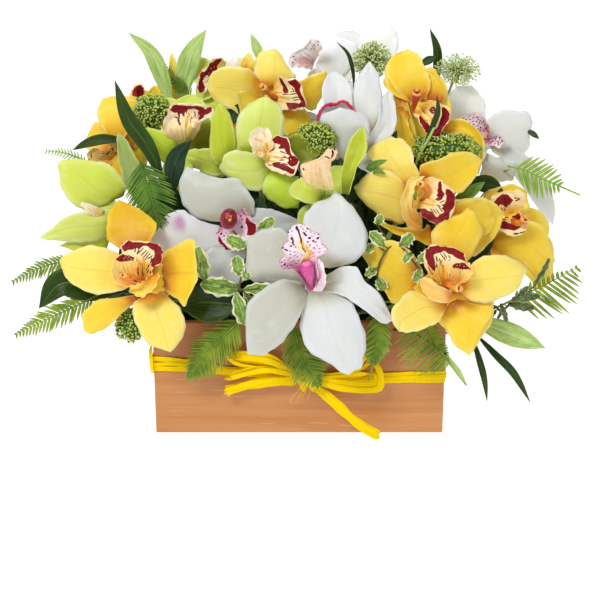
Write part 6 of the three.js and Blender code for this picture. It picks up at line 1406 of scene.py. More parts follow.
BUDS = [
    {'name': 'buds_left', 'c': [-121.9, -10.0, 259.3], 'rx': 17, 'rz': 15, 'stem': [[-121.9, -10.0, 259.3], [-61.0, -5.5, 92.0], [-59.1, -5.1, 58.0]]},
    {'name': 'buds_centre', 'c': [13.5, -42.0, 242.2], 'rx': 17, 'rz': 14, 'stem': [[13.5, -42.0, 242.2], [6.7, -23.1, 92.0], [6.5, -21.5, 58.0]]},
    {'name': 'buds_top', 'c': [62.7, 46.0, 295.9], 'rx': 17, 'rz': 16, 'stem': [[62.7, 46.0, 295.9], [31.3, 25.3, 92.0], [30.4, 23.5, 58.0]]},
    {'name': 'buds_right', 'c': [120.6, -26.0, 230.4], 'rx': 30, 'rz': 14, 'stem': [[120.6, -26.0, 230.4], [60.3, -14.3, 92.0], [58.5, -13.3, 58.0]]},
    {'name': 'buds_top_right', 'c': [135.1, 36.0, 288.5], 'rx': 21, 'rz': 14, 'stem': [[135.1, 36.0, 288.5], [67.5, 19.8, 92.0], [65.5, 18.4, 58.0]]},
    {'name': 'buds_low_left', 'c': [-135.0, -86.0, 98.7], 'rx': 14, 'rz': 14, 'stem': [[-135.0, -86.0, 98.7], [-133.0, -79.0, 112.0], [-94.5, -64.0, 111.0], [-67.5, -47.3, 92.0], [-65.5, -44.0, 58.0]]},
]
SPRIGS = [
    {'name': 'pittosporum_left', 'path': [[-48.2, -104.0, 128.6], [-46.4, -104.0, 140.0], [-44.0, -102.0, 150.9], [-41.7, -100.0, 158.4]], 'leaves': [{'a': [-46.8, -98.0, 131.7], 't': [-78.0, -101.0, 137.5], 'w': 16}, {'a': [-49.6, -106.0, 132.5], 't': [-42.0, -109.0, 105.4], 'w': 13}, {'a': [-43.8, -112.0, 135.9], 't': [-17.3, -115.0, 139.2], 'w': 10}, {'a': [-43.2, -108.0, 133.1], 't': [-35.4, -111.0, 123.3], 'w': 9}, {'a': [-46.4, -102.0, 146.0], 't': [-49.2, -105.0, 161.4], 'w': 13}, {'a': [-74.4, -96.0, 139.4], 't': [-80.6, -99.0, 167.8], 'w': 15}, {'a': [-41.3, -104.0, 169.1], 't': [-56.6, -107.0, 176.3], 'w': 12}, {'a': [-32.1, -100.0, 179.3], 't': [-19.5, -103.0, 191.2], 'w': 11}, {'a': [-41.6, -104.0, 151.4], 't': [-40.8, -107.0, 142.5], 'w': 9}], 'stem': [[-48.2, -104.0, 128.6], [-50.6, -104.0, 112.8], [-13.6, -43.7, 92.0], [-13.2, -40.6, 58.0]]},
    {'name': 'pittosporum_right', 'path': [[61.0, -92.0, 128.3], [63.5, -96.0, 154.1], [77.1, -98.0, 168.4], [100.0, -112.0, 142.4]], 'leaves': [{'a': [66.3, -96.0, 167.1], 't': [55.0, -99.0, 179.1], 'w': 11}, {'a': [61.6, -92.0, 182.2], 't': [62.8, -95.0, 192.5], 'w': 9}, {'a': [78.5, -100.0, 168.1], 't': [87.4, -103.0, 178.5], 'w': 12}, {'a': [87.6, -104.0, 164.3], 't': [81.4, -107.0, 157.1], 'w': 9}, {'a': [91.9, -110.0, 157.9], 't': [100.7, -113.0, 166.7], 'w': 9}, {'a': [60.5, -94.0, 148.6], 't': [52.6, -97.0, 142.9], 'w': 9}, {'a': [62.1, -96.0, 141.0], 't': [66.8, -99.0, 132.0], 'w': 10}, {'a': [93.9, -108.0, 150.9], 't': [89.2, -111.0, 142.1], 'w': 8}, {'a': [58.7, -92.0, 167.7], 't': [52.4, -95.0, 161.9], 'w': 8}], 'stem': [[61.0, -92.0, 128.3], [59.5, -89.6, 112.5], [30.5, -50.6, 92.0], [29.6, -47.1, 58.0]]},
    {'name': 'pittosporum_low_right', 'path': [[161.8, -76.0, 101.4], [168.3, -82.0, 113.5], [177.0, -86.0, 119.8], [188.7, -88.0, 133.7]], 'leaves': [{'a': [169.9, -90.0, 121.0], 't': [191.4, -93.0, 125.3], 'w': 13}, {'a': [167.2, -88.0, 117.1], 't': [187.6, -91.0, 114.6], 'w': 12}, {'a': [188.3, -90.0, 134.3], 't': [196.7, -93.0, 156.5], 'w': 9}, {'a': [161.1, -86.0, 116.4], 't': [167.0, -89.0, 102.2], 'w': 8}, {'a': [158.8, -82.0, 110.1], 't': [152.2, -85.0, 102.6], 'w': 8}, {'a': [174.6, -90.0, 122.7], 't': [181.4, -93.0, 133.5], 'w': 9}], 'stem': [[161.8, -76.0, 101.4], [159.3, -79.0, 112.0], [113.2, -64.0, 111.0], [80.9, -41.8, 92.0], [78.5, -38.9, 58.0]]},
]
BAND = [
    {'w': 4.6, 'off': 1.0, 'z': [[-122.7, 66.35], [-104.6, 65.04], [-85.8, 62.42], [-61.2, 57.61], [-24.2, 54.1], [25.3, 51.46], [68.2, 51.46], [99.6, 52.78], [121.8, 54.1]], 'back': (1.0, -1.0)},
    {'w': 4.6, 'off': 0.7, 'z': [[-123.0, 58.05], [-104.9, 57.08], [-86.0, 56.29], [-61.3, 53.66], [-24.2, 51.46], [25.3, 47.94], [68.3, 47.06], [99.7, 47.06], [122.0, 47.06]], 'back': (-1.0, 1.5)},
    {'w': 3.4, 'off': 1.4, 'z': [[-122.9, 61.11], [-104.7, 61.72], [-85.9, 58.92], [-61.2, 55.86], [-24.2, 53.22], [25.3, 49.7], [68.3, 48.82], [99.6, 49.7], [121.9, 50.58]], 'back': (0.5, 0.5)},
]
BOW = [
    {'w': 5.4, 'turn': 0.48, 'p': [[-1.9, -80.4, 53.6], [-12.5, -82.5, 62.2], [-25.5, -84.5, 70.8], [-41.7, -86.0, 73.9], [-56.3, -86.5, 73.6], [-58.0, -85.6, 70.3], [-50.0, -84.6, 67.3], [-33.8, -83.0, 65.0], [-15.8, -81.5, 59.3], [-1.9, -80.3, 52.7]]},
    {'w': 4.8, 'turn': 0.48, 'p': [[-1.1, -80.8, 52.9], [-12.5, -83.5, 60.9], [-25.5, -85.5, 67.7], [-40.1, -87.0, 70.8], [-53.0, -87.5, 71.8], [-55.6, -86.4, 68.9], [-48.4, -85.4, 64.2], [-32.1, -83.8, 60.1], [-15.8, -82.2, 56.0], [-1.1, -80.6, 51.1]]},
    {'w': 4.0, 'turn': 0.5, 'p': [[-0.3, -81.2, 51.3], [-14.2, -84.4, 57.7], [-28.8, -86.0, 59.6], [-43.5, -87.0, 56.9], [-58.2, -87.4, 53.2], [-59.1, -86.2, 54.9], [-48.5, -85.2, 58.5], [-33.8, -84.0, 61.1], [-15.8, -82.4, 58.7], [-1.1, -81.0, 53.0]]},
    {'w': 5.2, 'turn': 0.6, 'p': [[2.2, -81.0, 51.2], [17.0, -84.0, 48.4], [31.7, -86.5, 45.0], [46.4, -88.0, 43.4], [57.8, -88.4, 43.5], [65.6, -88.0, 45.1], [66.8, -87.2, 51.8], [65.9, -86.4, 57.6], [63.4, -85.6, 63.4], [58.5, -84.8, 66.6], [51.3, -83.6, 60.9], [38.3, -82.2, 54.3], [18.7, -80.9, 52.0], [3.0, -80.3, 51.8]]},
    {'w': 5.4, 'turn': 0.56, 'p': [[2.2, -81.2, 52.6], [18.6, -83.8, 51.4], [35.0, -86.0, 48.7], [49.7, -87.2, 47.0], [61.9, -87.2, 48.3], [64.3, -86.4, 53.2], [61.0, -85.4, 57.7], [51.3, -84.0, 55.8], [36.7, -82.6, 53.1], [18.7, -81.2, 51.7], [3.0, -80.5, 51.9]]},
    {'w': 2.6, 'turn': 0.62, 'p': [[3.0, -80.6, 52.8], [20.2, -83.0, 54.6], [34.9, -86.0, 57.4], [44.5, -88.0, 63.4], [50.9, -88.6, 70.5], [57.3, -88.2, 76.4], [59.9, -87.0, 72.5], [56.0, -85.8, 65.2], [49.6, -84.4, 59.5], [36.7, -82.4, 54.4], [3.9, -80.4, 52.7]]},
    {'w': 2.0, 'turn': 0.55, 'p': [[3.0, -80.8, 52.0], [21.9, -84.5, 53.4], [38.1, -87.5, 56.3], [46.9, -89.0, 62.9], [52.5, -89.6, 70.0], [56.5, -88.6, 73.1], [55.1, -86.8, 67.3], [48.0, -84.8, 58.7], [33.4, -82.6, 53.6], [3.9, -80.6, 51.1]]},
]
FIBRES = [
    [[2.2, -81.5, 46.1], [-1.1, -84.0, 40.9], [-6.0, -85.5, 36.2], [-7.7, -86.0, 32.0]],
    [[3.9, -81.5, 46.1], [3.0, -84.0, 41.8], [-0.3, -85.0, 36.9], [-1.9, -85.5, 31.8]],
    [[5.5, -81.5, 46.1], [5.5, -84.5, 41.1], [3.0, -85.5, 37.1], [2.2, -86.0, 33.8]],
    [[7.2, -81.5, 46.1], [8.8, -84.0, 40.9], [8.0, -85.0, 36.9], [6.3, -85.5, 32.7]],
]
# Leaves set into the gaps between the flowers; the dark fill ones are partly painted shade, where those gaps lie in
# shadow.
EXTRA_LEAVES = [
    ([[-112.9, -46.0, 166.0], [-116.7, -42.0, 187.0], [-121.2, -38.0, 211.1]], 20.0, 'fill'),
    ([[-101.7, -40.0, 173.0], [-104.7, -38.0, 191.1], [-107.7, -36.0, 207.4]], 16.0, 'dark'),
    ([[41.6, -38.0, 199.5], [48.9, -36.0, 212.4], [55.3, -34.0, 226.1]], 14.0, 'fill'),
    ([[86.1, -32.0, 209.9], [94.8, -33.0, 220.1], [104.5, -32.0, 228.2]], 12.0, 'fill'),
    ([[52.8, -54.0, 218.4], [61.0, -62.0, 225.6], [69.4, -66.0, 229.5]], 6.0, 'mid'),
    ([[53.6, -54.0, 216.8], [61.9, -62.0, 219.9], [68.9, -65.0, 218.1]], 5.0, 'mid'),
    ([[118.1, -95.0, 77.1], [127.6, -94.0, 63.9], [136.4, -93.0, 48.8]], 3.6, 'light'),
    ([[-77.8, -34.0, 156.2], [-88.9, -34.0, 180.1], [-95.7, -32.0, 208.3]], 20.0, 'fill'),
    ([[-101.0, -50.0, 163.6], [-120.4, -46.0, 186.2], [-138.5, -40.0, 203.2]], 17.0, 'fill'),
    ([[-92.5, -52.0, 169.2], [-105.2, -50.0, 189.6], [-111.2, -46.0, 216.0]], 15.0, 'dark'),
    ([[124.6, -46.0, 191.2], [136.0, -50.0, 198.7], [150.5, -48.0, 208.2]], 10.0, 'mid'),
    ([[-28.9, 20.0, 292.0], [-34.7, 20.0, 306.1], [-40.4, 20.0, 320.1]], 8.5, 'light'),
    ([[196.1, 32.0, 238.5], [201.7, 28.0, 234.8], [206.7, 26.0, 230.8]], 5.0, 'dark'),
    ([[100.7, 18.0, 293.9], [107.5, 20.0, 297.8], [116.0, 22.0, 300.9]], 7.0, 'dark'),
    ([[66.0, -34.0, 223.6], [72.4, -32.0, 234.8], [79.7, -30.0, 246.8]], 12.0, 'fill'),
    ([[31.7, -44.0, 179.9], [31.6, -42.0, 200.3], [29.0, -40.0, 226.4]], 14.0, 'fill'),
    ([[41.2, -50.0, 190.4], [49.1, -50.0, 206.9], [59.5, -48.0, 223.8]], 12.0, 'fill'),
    ([[133.8, -54.0, 139.2], [145.1, -52.0, 150.6], [159.7, -50.0, 160.3]], 17.0, 'fill'),
    ([[-62.2, -2.0, 244.7], [-56.3, 0.0, 254.5], [-51.3, 2.0, 264.2]], 12.0, 'fill'),
    ([[-29.9, -70.0, 171.9], [-33.0, -68.0, 186.2], [-29.8, -64.0, 200.1]], 16.0, 'fill'),
    ([[0.6, -66.0, 170.9], [5.4, -64.0, 183.7], [0.6, -60.0, 195.9]], 14.0, 'dark'),
]
EXTRA_FRONDS = [
    ([[-172.9, -34.0, 221.9], [-184.0, -34.0, 226.9], [-195.3, -34.0, 230.2], [-205.9, -34.0, 231.0]], 6.5, 6.5, 2.6, 0.5, 0.6, 'pale'),
    ([[-92.4, 34.0, 264.9], [-102.4, 34.0, 275.2], [-112.4, 34.0, 284.5], [-122.3, 34.0, 296.3]], 10.0, 10.0, 2.1, 0.6, 0.6, 'mid'),
]
EXTRA_STEMS = [
    [[108.9, -38.0, 250.5], [102.7, -39.0, 237.6], [95.7, -40.0, 223.9], [87.3, -24.0, 188.0], [74.0, -6.0, 78.9]],
]
RAILS = {
    'yellow_front_left': {'skip': [0, 1, 2, 3, 4], 'petals': [{'L': [[-129.2, -97.6, 159.2], [-141.7, -96.2, 165.3], [-150.5, -92.6, 173.3], [-150.9, -86.6, 185.6], [-148.6, -78.0, 194.2], [-143.6, -67.4, 197.5]], 'R': [[-116.6, -97.6, 159.2], [-115.5, -96.2, 172.6], [-111.4, -92.6, 180.6], [-115.0, -86.6, 185.9], [-125.6, -78.0, 192.1], [-143.6, -67.4, 197.5]], 'M': [[-123.0, -97.0, 159.0], [-129.0, -93.5, 168.3], [-131.5, -88.8, 176.0], [-133.5, -82.7, 184.9], [-137.5, -75.4, 192.5], [-143.7, -66.8, 197.4]], 'look': 'YE'}, {'L': [[-132.5, -99.5, 148.3], [-142.4, -102.7, 163.5], [-157.8, -103.1, 168.7], [-172.5, -100.3, 165.1], [-184.5, -94.4, 159.3], [-190.5, -85.7, 152.7]], 'R': [[-133.1, -99.5, 135.1], [-145.4, -102.7, 131.1], [-161.2, -103.1, 130.1], [-176.4, -100.3, 135.7], [-186.5, -94.4, 144.4], [-190.5, -85.7, 152.7]], 'M': [[-132.9, -99.0, 141.6], [-144.2, -100.7, 146.8], [-160.0, -100.2, 148.7], [-175.0, -97.4, 149.7], [-185.9, -92.4, 151.3], [-190.6, -85.2, 152.6]], 'look': 'YP'}, {'L': [[-130.7, -95.7, 126.6], [-144.7, -98.7, 125.3], [-158.7, -100.5, 124.7], [-166.8, -101.3, 118.3], [-173.7, -101.2, 109.4], [-171.0, -99.8, 97.5]], 'R': [[-124.6, -95.7, 120.7], [-135.5, -98.7, 116.6], [-145.2, -100.5, 108.0], [-154.1, -101.3, 100.4], [-163.5, -101.2, 96.3], [-171.0, -99.8, 97.5]], 'M': [[-127.6, -96.0, 123.7], [-139.9, -100.0, 121.4], [-151.6, -102.4, 117.0], [-160.2, -103.3, 110.0], [-168.3, -102.5, 103.3], [-170.9, -100.1, 97.7]]}, {'L': [[-123.7, -100.5, 128.0], [-130.7, -107.0, 120.9], [-129.3, -111.2, 110.7], [-123.3, -113.4, 97.3], [-115.3, -113.7, 89.0], [-101.7, -111.6, 84.6]], 'R': [[-109.3, -100.5, 132.1], [-99.0, -107.0, 125.8], [-91.8, -111.2, 117.3], [-89.2, -113.4, 106.4], [-92.6, -113.7, 92.9], [-101.7, -111.6, 84.6]], 'M': [[-116.4, -101.0, 130.2], [-114.6, -109.0, 124.0], [-110.2, -114.1, 114.9], [-105.9, -116.3, 102.8], [-103.7, -115.6, 91.6], [-101.7, -112.1, 84.8]], 'look': 'YP'}, {'L': [[-110.4, -99.9, 148.4], [-105.6, -108.0, 163.2], [-93.7, -113.9, 172.8], [-83.0, -117.0, 177.1], [-81.1, -117.4, 166.1], [-78.3, -115.5, 147.6]], 'R': [[-110.0, -99.9, 136.9], [-100.7, -108.0, 131.1], [-93.9, -113.9, 127.6], [-89.4, -117.0, 124.5], [-84.0, -117.4, 136.3], [-78.3, -115.5, 147.6]], 'M': [[-110.3, -99.0, 142.4], [-103.6, -104.0, 146.1], [-94.4, -108.1, 148.7], [-86.7, -111.2, 149.4], [-82.9, -113.4, 150.1], [-78.4, -114.6, 147.3]], 'look': 'YB'}, {'L': [[-115.1, -101.2, 155.5], [-108.7, -102.8, 155.9], [-102.5, -102.8, 152.7], [-96.8, -101.2, 140.8]], 'R': [[-119.0, -101.2, 134.3], [-112.7, -102.8, 129.9], [-104.7, -102.8, 133.1], [-96.8, -101.2, 140.8]], 'M': [[-117.1, -101.0, 144.9], [-110.8, -101.9, 142.7], [-103.7, -101.9, 142.7], [-96.8, -101.0, 140.8]], 'look': 'YB'}], 'lips': [{'kind': 'side', 'L': [[-123.3, -109.0, 142.3], [-133.0, -113.0, 138.6], [-140.8, -117.0, 142.2], [-144.8, -119.0, 150.8], [-143.5, -120.0, 159.0], [-140.2, -120.0, 163.8], [-134.1, -119.0, 167.9]], 'R': [[-123.1, -109.0, 146.3], [-124.3, -113.0, 152.6], [-124.4, -117.0, 159.0], [-124.9, -119.0, 163.9], [-126.6, -120.0, 167.2], [-129.7, -120.0, 168.9], [-134.1, -119.0, 167.9]], 'M': [[-123.4, -107.0, 143.7], [-129.4, -108.0, 144.2], [-133.6, -110.0, 148.6], [-135.7, -113.0, 155.7], [-135.6, -116.0, 162.0], [-135.2, -118.0, 165.8], [-134.1, -119.0, 167.9]], 'areas': {'red': [[[0.755, -0.75], [0.84, -0.583], [0.93, -0.467], [0.885, 0.617], [0.775, 0.867], [0.63, 0.883], [0.515, 0.883], [0.455, 0.717], [0.52, 0.617], [0.545, 0.383], [0.595, 0.083], [0.635, -0.25], [0.7, -0.567]]], 'orange': [[[0.0, -1.0], [0.18, 0.233], [0.33, -0.033], [0.455, -0.35], [0.415, -0.533], [0.31, -0.633], [0.13, -0.7], [0.035, -1.0]]]}, 'strips': [['o', 0.69, [0.46, -0.433], [0.36, -0.233], [0.25, -0.117]], ['o', 0.6, [0.39, -0.5], [0.29, -0.283], [0.17, -0.2]], ['o', 0.6, [0.305, -0.533], [0.165, -0.433]], ['b', 1.12, [0.165, 0.15], [0.03, -0.667]], ['b', 0.69, [0.255, 1.0], [0.13, 0.883], [0.055, 0.35]]], 'dots': [['c', 0.43, 0.68, 0.3], ['c', 0.52, 0.65, 0.55], ['c', 0.43, 0.56, 0.65], ['c', 0.39, 0.665, 0.1], ['c', 0.34, 0.595, 0.417]]}, {'kind': 'lip', 'L': [[-124.8, -109.0, 142.3], [-126.4, -112.0, 151.2], [-125.9, -114.0, 159.0], [-131.3, -118.0, 164.4], [-135.8, -120.0, 168.5], [-134.9, -122.0, 174.6], [-129.4, -122.0, 178.1], [-118.2, -121.0, 176.7]], 'R': [[-114.6, -109.0, 143.9], [-113.7, -112.0, 150.4], [-112.1, -114.0, 155.0], [-106.6, -118.0, 158.5], [-104.6, -120.0, 164.6], [-104.2, -122.0, 171.0], [-108.2, -122.0, 175.7], [-118.2, -121.0, 176.7]], 'M': [[-120.4, -104.0, 141.7], [-120.7, -107.0, 149.4], [-119.4, -111.0, 156.2], [-119.2, -116.0, 160.9], [-120.2, -120.0, 166.6], [-119.4, -123.0, 173.1], [-118.6, -124.0, 177.4], [-118.1, -122.0, 176.9]], 'areas': {'red': [[[0.59, -0.917], [0.69, -0.967], [0.765, -0.933], [0.86, -1.0], [0.815, -0.583], [0.845, -0.2], [0.835, 0.267], [0.91, 0.8], [0.875, 1.0], [0.775, 1.0], [0.685, 1.0], [0.57, 0.983], [0.445, 1.0], [0.365, 0.867], [0.27, 0.817], [0.355, 0.5], [0.5, 0.45], [0.55, 0.583], [0.62, 0.617], [0.665, 0.567], [0.705, 0.383], [0.755, 0.283], [0.77, 0.083], [0.72, -0.017], [0.66, -0.15], [0.685, -0.25], [0.67, -0.333], [0.645, -0.467], [0.63, -0.667], [0.605, -0.767], [0.58, -0.867]], [[0.005, 0.167], [0.055, 0.433], [0.08, 0.967], [0.04, 1.0], [0.0, 0.683]]]}, 'strips': [['r', 0.47, [0.58, -0.2], [0.71, 0.067]], ['r', 0.47, [0.545, -0.067], [0.68, 0.233]], ['r', 0.47, [0.515, 0.033], [0.655, 0.333]], ['r', 0.43, [0.47, 0.083], [0.63, 0.433]], ['r', 0.47, [0.485, 0.233], [0.585, 0.533]], ['r', 0.52, [0.595, -0.35], [0.685, -0.3]], ['r', 0.52, [0.565, -0.25], [0.67, -0.117]], ['r', 0.52, [0.385, 0.383], [0.545, 0.483]], ['r', 0.6, [0.22, 0.4], [0.345, 0.433]], ['r', 0.52, [0.12, 0.333], [0.205, 0.6]], ['r', 0.52, [0.1, 0.717], [0.19, 0.85]], ['r', 0.43, [0.155, 0.217], [0.22, 0.35]], ['r', 0.52, [0.25, 0.967], [0.34, 0.883]], ['k', 1.12, [0.54, 0.05], [0.29, -0.1], [0.135, 0.15], [0.015, 0.1]], ['k', 0.95, [0.31, -0.55], [0.165, -0.45], [0.035, -0.45]], ['b', 0.3, [0.34, -0.25], [0.17, -0.217], [0.05, -0.133]]]}, {'kind': 'side', 'L': [[-108.8, -110.0, 151.5], [-108.6, -117.0, 146.2], [-112.5, -122.0, 138.8], [-119.2, -125.0, 135.3], [-126.1, -125.0, 135.7], [-131.1, -122.0, 137.6]], 'R': [[-116.0, -110.0, 146.6], [-119.1, -117.0, 145.4], [-122.3, -122.0, 144.9], [-125.8, -125.0, 143.7], [-129.8, -125.0, 141.3], [-131.1, -122.0, 137.6]], 'M': [[-113.0, -105.0, 147.6], [-114.6, -111.0, 144.1], [-118.2, -116.0, 140.1], [-123.4, -119.0, 137.8], [-128.7, -120.0, 137.0], [-131.2, -121.0, 137.3]], 'tone': 'deep'}], 'col': {'p': [[-121.8, -108.0, 142.0], [-126.2, -115.0, 146.4], [-131.0, -119.0, 149.2], [-136.0, -121.0, 150.6]], 'r': 0.62}},
    'yellow_front_right': {'skip': [0, 1, 2, 3, 4], 'petals': [{'L': [[115.1, -98.5, 152.8], [104.3, -93.2, 167.0], [105.3, -87.3, 178.3], [115.0, -80.9, 184.4], [126.1, -74.2, 189.3], [134.6, -66.8, 191.1]], 'R': [[130.1, -98.5, 152.8], [135.6, -93.2, 157.3], [141.4, -87.3, 167.4], [146.0, -80.9, 175.6], [140.9, -74.2, 185.7], [134.6, -66.8, 191.1]], 'M': [[122.6, -99.0, 153.0], [119.6, -95.2, 162.7], [123.0, -90.2, 173.6], [130.1, -83.8, 180.7], [133.2, -76.2, 188.0], [134.6, -67.3, 191.2]]}, {'L': [[98.3, -99.6, 145.3], [90.2, -101.0, 161.3], [79.7, -100.5, 169.3], [67.7, -97.9, 172.1], [56.4, -93.2, 167.4], [49.3, -86.6, 157.5]], 'R': [[96.7, -99.6, 132.5], [85.4, -101.0, 126.4], [74.2, -100.5, 121.1], [64.7, -97.9, 134.6], [59.6, -93.2, 143.9], [49.3, -86.6, 157.5]], 'M': [[97.6, -99.0, 138.8], [88.1, -98.3, 143.2], [77.3, -96.7, 144.3], [66.4, -94.1, 152.4], [58.2, -90.5, 155.0], [49.4, -86.0, 157.3]], 'look': 'Y'}, {'L': [[115.5, -102.8, 127.6], [101.2, -112.5, 129.9], [87.6, -120.2, 137.3], [77.3, -125.4, 132.5], [71.4, -128.2, 123.1], [77.1, -129.0, 107.5]], 'R': [[115.8, -102.8, 119.7], [112.5, -112.5, 115.8], [106.6, -120.2, 111.2], [96.8, -125.4, 109.0], [87.0, -128.2, 107.8], [77.1, -129.0, 107.5]], 'M': [[115.7, -102.0, 123.4], [107.2, -109.2, 121.8], [97.6, -115.4, 122.8], [87.5, -120.6, 119.3], [79.5, -124.9, 114.4], [77.2, -128.2, 107.2]], 'look': 'YP'}, {'L': [[116.2, -98.5, 119.3], [108.9, -103.0, 108.8], [115.6, -106.2, 101.9], [121.4, -108.4, 92.6], [127.2, -109.6, 84.9], [134.6, -109.4, 80.7]], 'R': [[125.6, -98.5, 124.3], [140.2, -103.0, 121.9], [152.8, -106.2, 118.8], [147.1, -108.4, 106.6], [142.2, -109.6, 91.0], [134.6, -109.4, 80.7]], 'M': [[120.8, -99.0, 122.0], [124.3, -105.0, 116.0], [133.8, -109.1, 111.3], [133.9, -111.3, 100.6], [134.4, -111.6, 88.7], [134.6, -109.9, 80.8]]}, {'L': [[128.5, -98.7, 145.1], [135.4, -100.9, 154.5], [146.3, -101.3, 161.0], [159.7, -100.0, 160.4], [172.1, -97.1, 155.2], [180.5, -92.4, 146.8]], 'R': [[125.3, -98.7, 131.3], [134.7, -100.9, 125.0], [146.5, -101.3, 121.8], [159.9, -100.0, 124.6], [173.3, -97.1, 132.0], [180.5, -92.4, 146.8]], 'M': [[126.9, -99.0, 138.3], [134.9, -102.2, 140.2], [146.1, -103.2, 142.0], [159.4, -101.9, 143.1], [172.4, -98.4, 144.0], [180.4, -92.7, 146.9]], 'look': 'YP'}, {'L': [[108.3, -96.2, 129.5], [105.9, -98.8, 120.4], [115.0, -99.5, 107.3], [125.1, -98.3, 95.2], [140.4, -95.2, 82.2]], 'R': [[133.4, -96.2, 134.5], [147.5, -98.8, 128.7], [154.2, -99.5, 119.0], [151.9, -98.3, 101.9], [140.4, -95.2, 82.2]], 'M': [[120.8, -96.0, 132.0], [126.8, -98.0, 124.3], [134.7, -98.5, 112.8], [138.6, -97.5, 98.3], [140.4, -95.0, 82.2]]}, {'L': [[119.5, -110.8, 133.1], [112.5, -118.5, 139.0], [105.7, -123.6, 143.7], [99.2, -125.6, 148.7], [95.4, -124.5, 150.0], [93.4, -120.8, 146.9]], 'R': [[119.3, -110.8, 127.4], [112.2, -118.5, 126.9], [103.8, -123.6, 130.9], [97.2, -125.6, 136.7], [93.7, -124.5, 142.8], [93.4, -120.8, 146.9]], 'M': [[119.5, -110.0, 130.0], [112.8, -115.2, 132.0], [105.3, -118.8, 135.9], [98.7, -120.8, 141.3], [94.9, -121.2, 145.4], [93.5, -120.0, 146.7]], 'look': 'PL', 'wave': 0.5}, {'L': [[118.4, -101.2, 139.2], [108.5, -104.3, 143.4], [99.0, -105.0, 145.2], [89.3, -103.2, 134.9]], 'R': [[117.4, -101.2, 123.6], [107.6, -104.3, 123.8], [98.0, -105.0, 126.4], [89.3, -103.2, 134.9]], 'M': [[117.9, -101.0, 131.4], [108.1, -103.4, 133.3], [98.6, -104.1, 135.6], [89.3, -103.0, 134.8]], 'look': 'YB', 'wave': 0.4}], 'lips': [{'kind': 'side', 'L': [[117.0, -107.0, 138.5], [117.0, -111.0, 146.1], [116.2, -116.0, 153.9], [116.5, -118.0, 158.5], [120.9, -119.0, 161.5], [126.3, -119.0, 160.7]], 'R': [[123.2, -107.0, 138.5], [128.8, -111.0, 142.1], [132.2, -116.0, 147.5], [133.7, -118.0, 152.9], [131.0, -119.0, 158.0], [126.3, -119.0, 160.7]], 'M': [[120.4, -105.0, 137.9], [123.3, -108.0, 143.2], [124.9, -111.0, 149.3], [125.6, -114.0, 154.6], [126.2, -117.0, 159.2], [126.4, -118.0, 160.5]], 'areas': {'red': [[[0.605, -1.0], [0.71, -0.883], [0.89, -0.75], [0.78, 0.383], [0.695, 0.667], [0.625, 0.917], [0.605, 0.55], [0.585, 0.2], [0.53, -0.217], [0.515, -0.567], [0.46, -0.683]]]}, 'dots': [['c', 0.39, 0.665, -0.25], ['c', 0.43, 0.675, 0.15], ['c', 0.34, 0.615, -0.467]], 'strips': [['o', 0.6, [0.27, -0.417], [0.24, 0.233]], ['o', 0.52, [0.16, 0.183], [0.24, 0.6]]]}, {'kind': 'lip', 'L': [[107.3, -109.0, 139.9], [102.1, -113.0, 145.9], [98.4, -117.0, 152.2], [96.0, -120.0, 159.0], [95.3, -121.0, 166.4], [97.3, -122.0, 172.2], [101.8, -122.0, 174.6], [111.1, -121.0, 172.7]], 'R': [[116.7, -109.0, 139.9], [116.3, -113.0, 147.5], [116.8, -117.0, 155.0], [119.3, -120.0, 159.4], [125.7, -121.0, 160.9], [127.3, -122.0, 163.5], [124.8, -122.0, 169.1], [111.1, -121.0, 172.7]], 'M': [[112.6, -104.0, 138.4], [109.8, -108.0, 145.3], [108.2, -112.0, 152.2], [108.1, -116.0, 158.1], [110.6, -120.0, 163.4], [112.2, -123.0, 168.1], [113.1, -124.0, 172.3], [111.0, -122.0, 173.0]], 'areas': {'red': [[[0.275, -0.433], [0.37, -0.667], [0.465, -0.833], [0.575, -0.95], [0.68, -1.0], [0.775, -0.95], [0.92, -1.0], [0.99, 0.517], [0.9, 0.667], [0.86, 1.0], [0.755, 0.95], [0.64, 1.0], [0.66, 0.717], [0.685, 0.45], [0.73, 0.267], [0.72, 0.117], [0.76, -0.067], [0.77, -0.183], [0.7, -0.267], [0.665, -0.433], [0.63, -0.55], [0.545, -0.5], [0.445, -0.383], [0.38, -0.233], [0.295, -0.333]]]}, 'strips': [['r', 0.56, [0.605, -0.433], [0.47, -0.2]], ['r', 0.52, [0.565, -0.233], [0.365, 0.283]], ['r', 0.47, [0.685, -0.3], [0.54, 0.167]], ['r', 0.47, [0.73, -0.2], [0.6, 0.133]], ['r', 0.43, [0.45, -0.2], [0.355, -0.15]], ['r', 0.52, [0.685, 0.1], [0.625, 0.3]], ['r', 0.52, [0.42, 0.233], [0.225, 0.433]], ['r', 0.43, [0.55, 0.25], [0.595, 0.333]], ['r', 0.43, [0.39, -0.8], [0.265, -0.7]], ['r', 0.43, [0.265, -0.7], [0.2, -0.633]], ['r', 0.43, [0.585, -0.55], [0.425, -0.317]], ['r', 0.52, [0.405, -0.367], [0.275, -0.383]], ['b', 0.52, [0.165, -1.0], [0.08, -0.933], [0.02, -0.4]], ['k', 1.38, [0.53, -0.033], [0.265, 0.383], [0.055, 0.433]], ['k', 0.86, [0.33, -0.083], [0.16, 0.0], [0.02, -0.083]], ['o', 0.77, [0.235, 0.7], [0.125, 0.9], [0.02, 0.833]]]}], 'col': {'p': [[115.2, -108.0, 140.4], [117.5, -115.0, 140.4], [120.2, -119.0, 140.0], [123.4, -121.0, 139.8]], 'r': 0.92}},
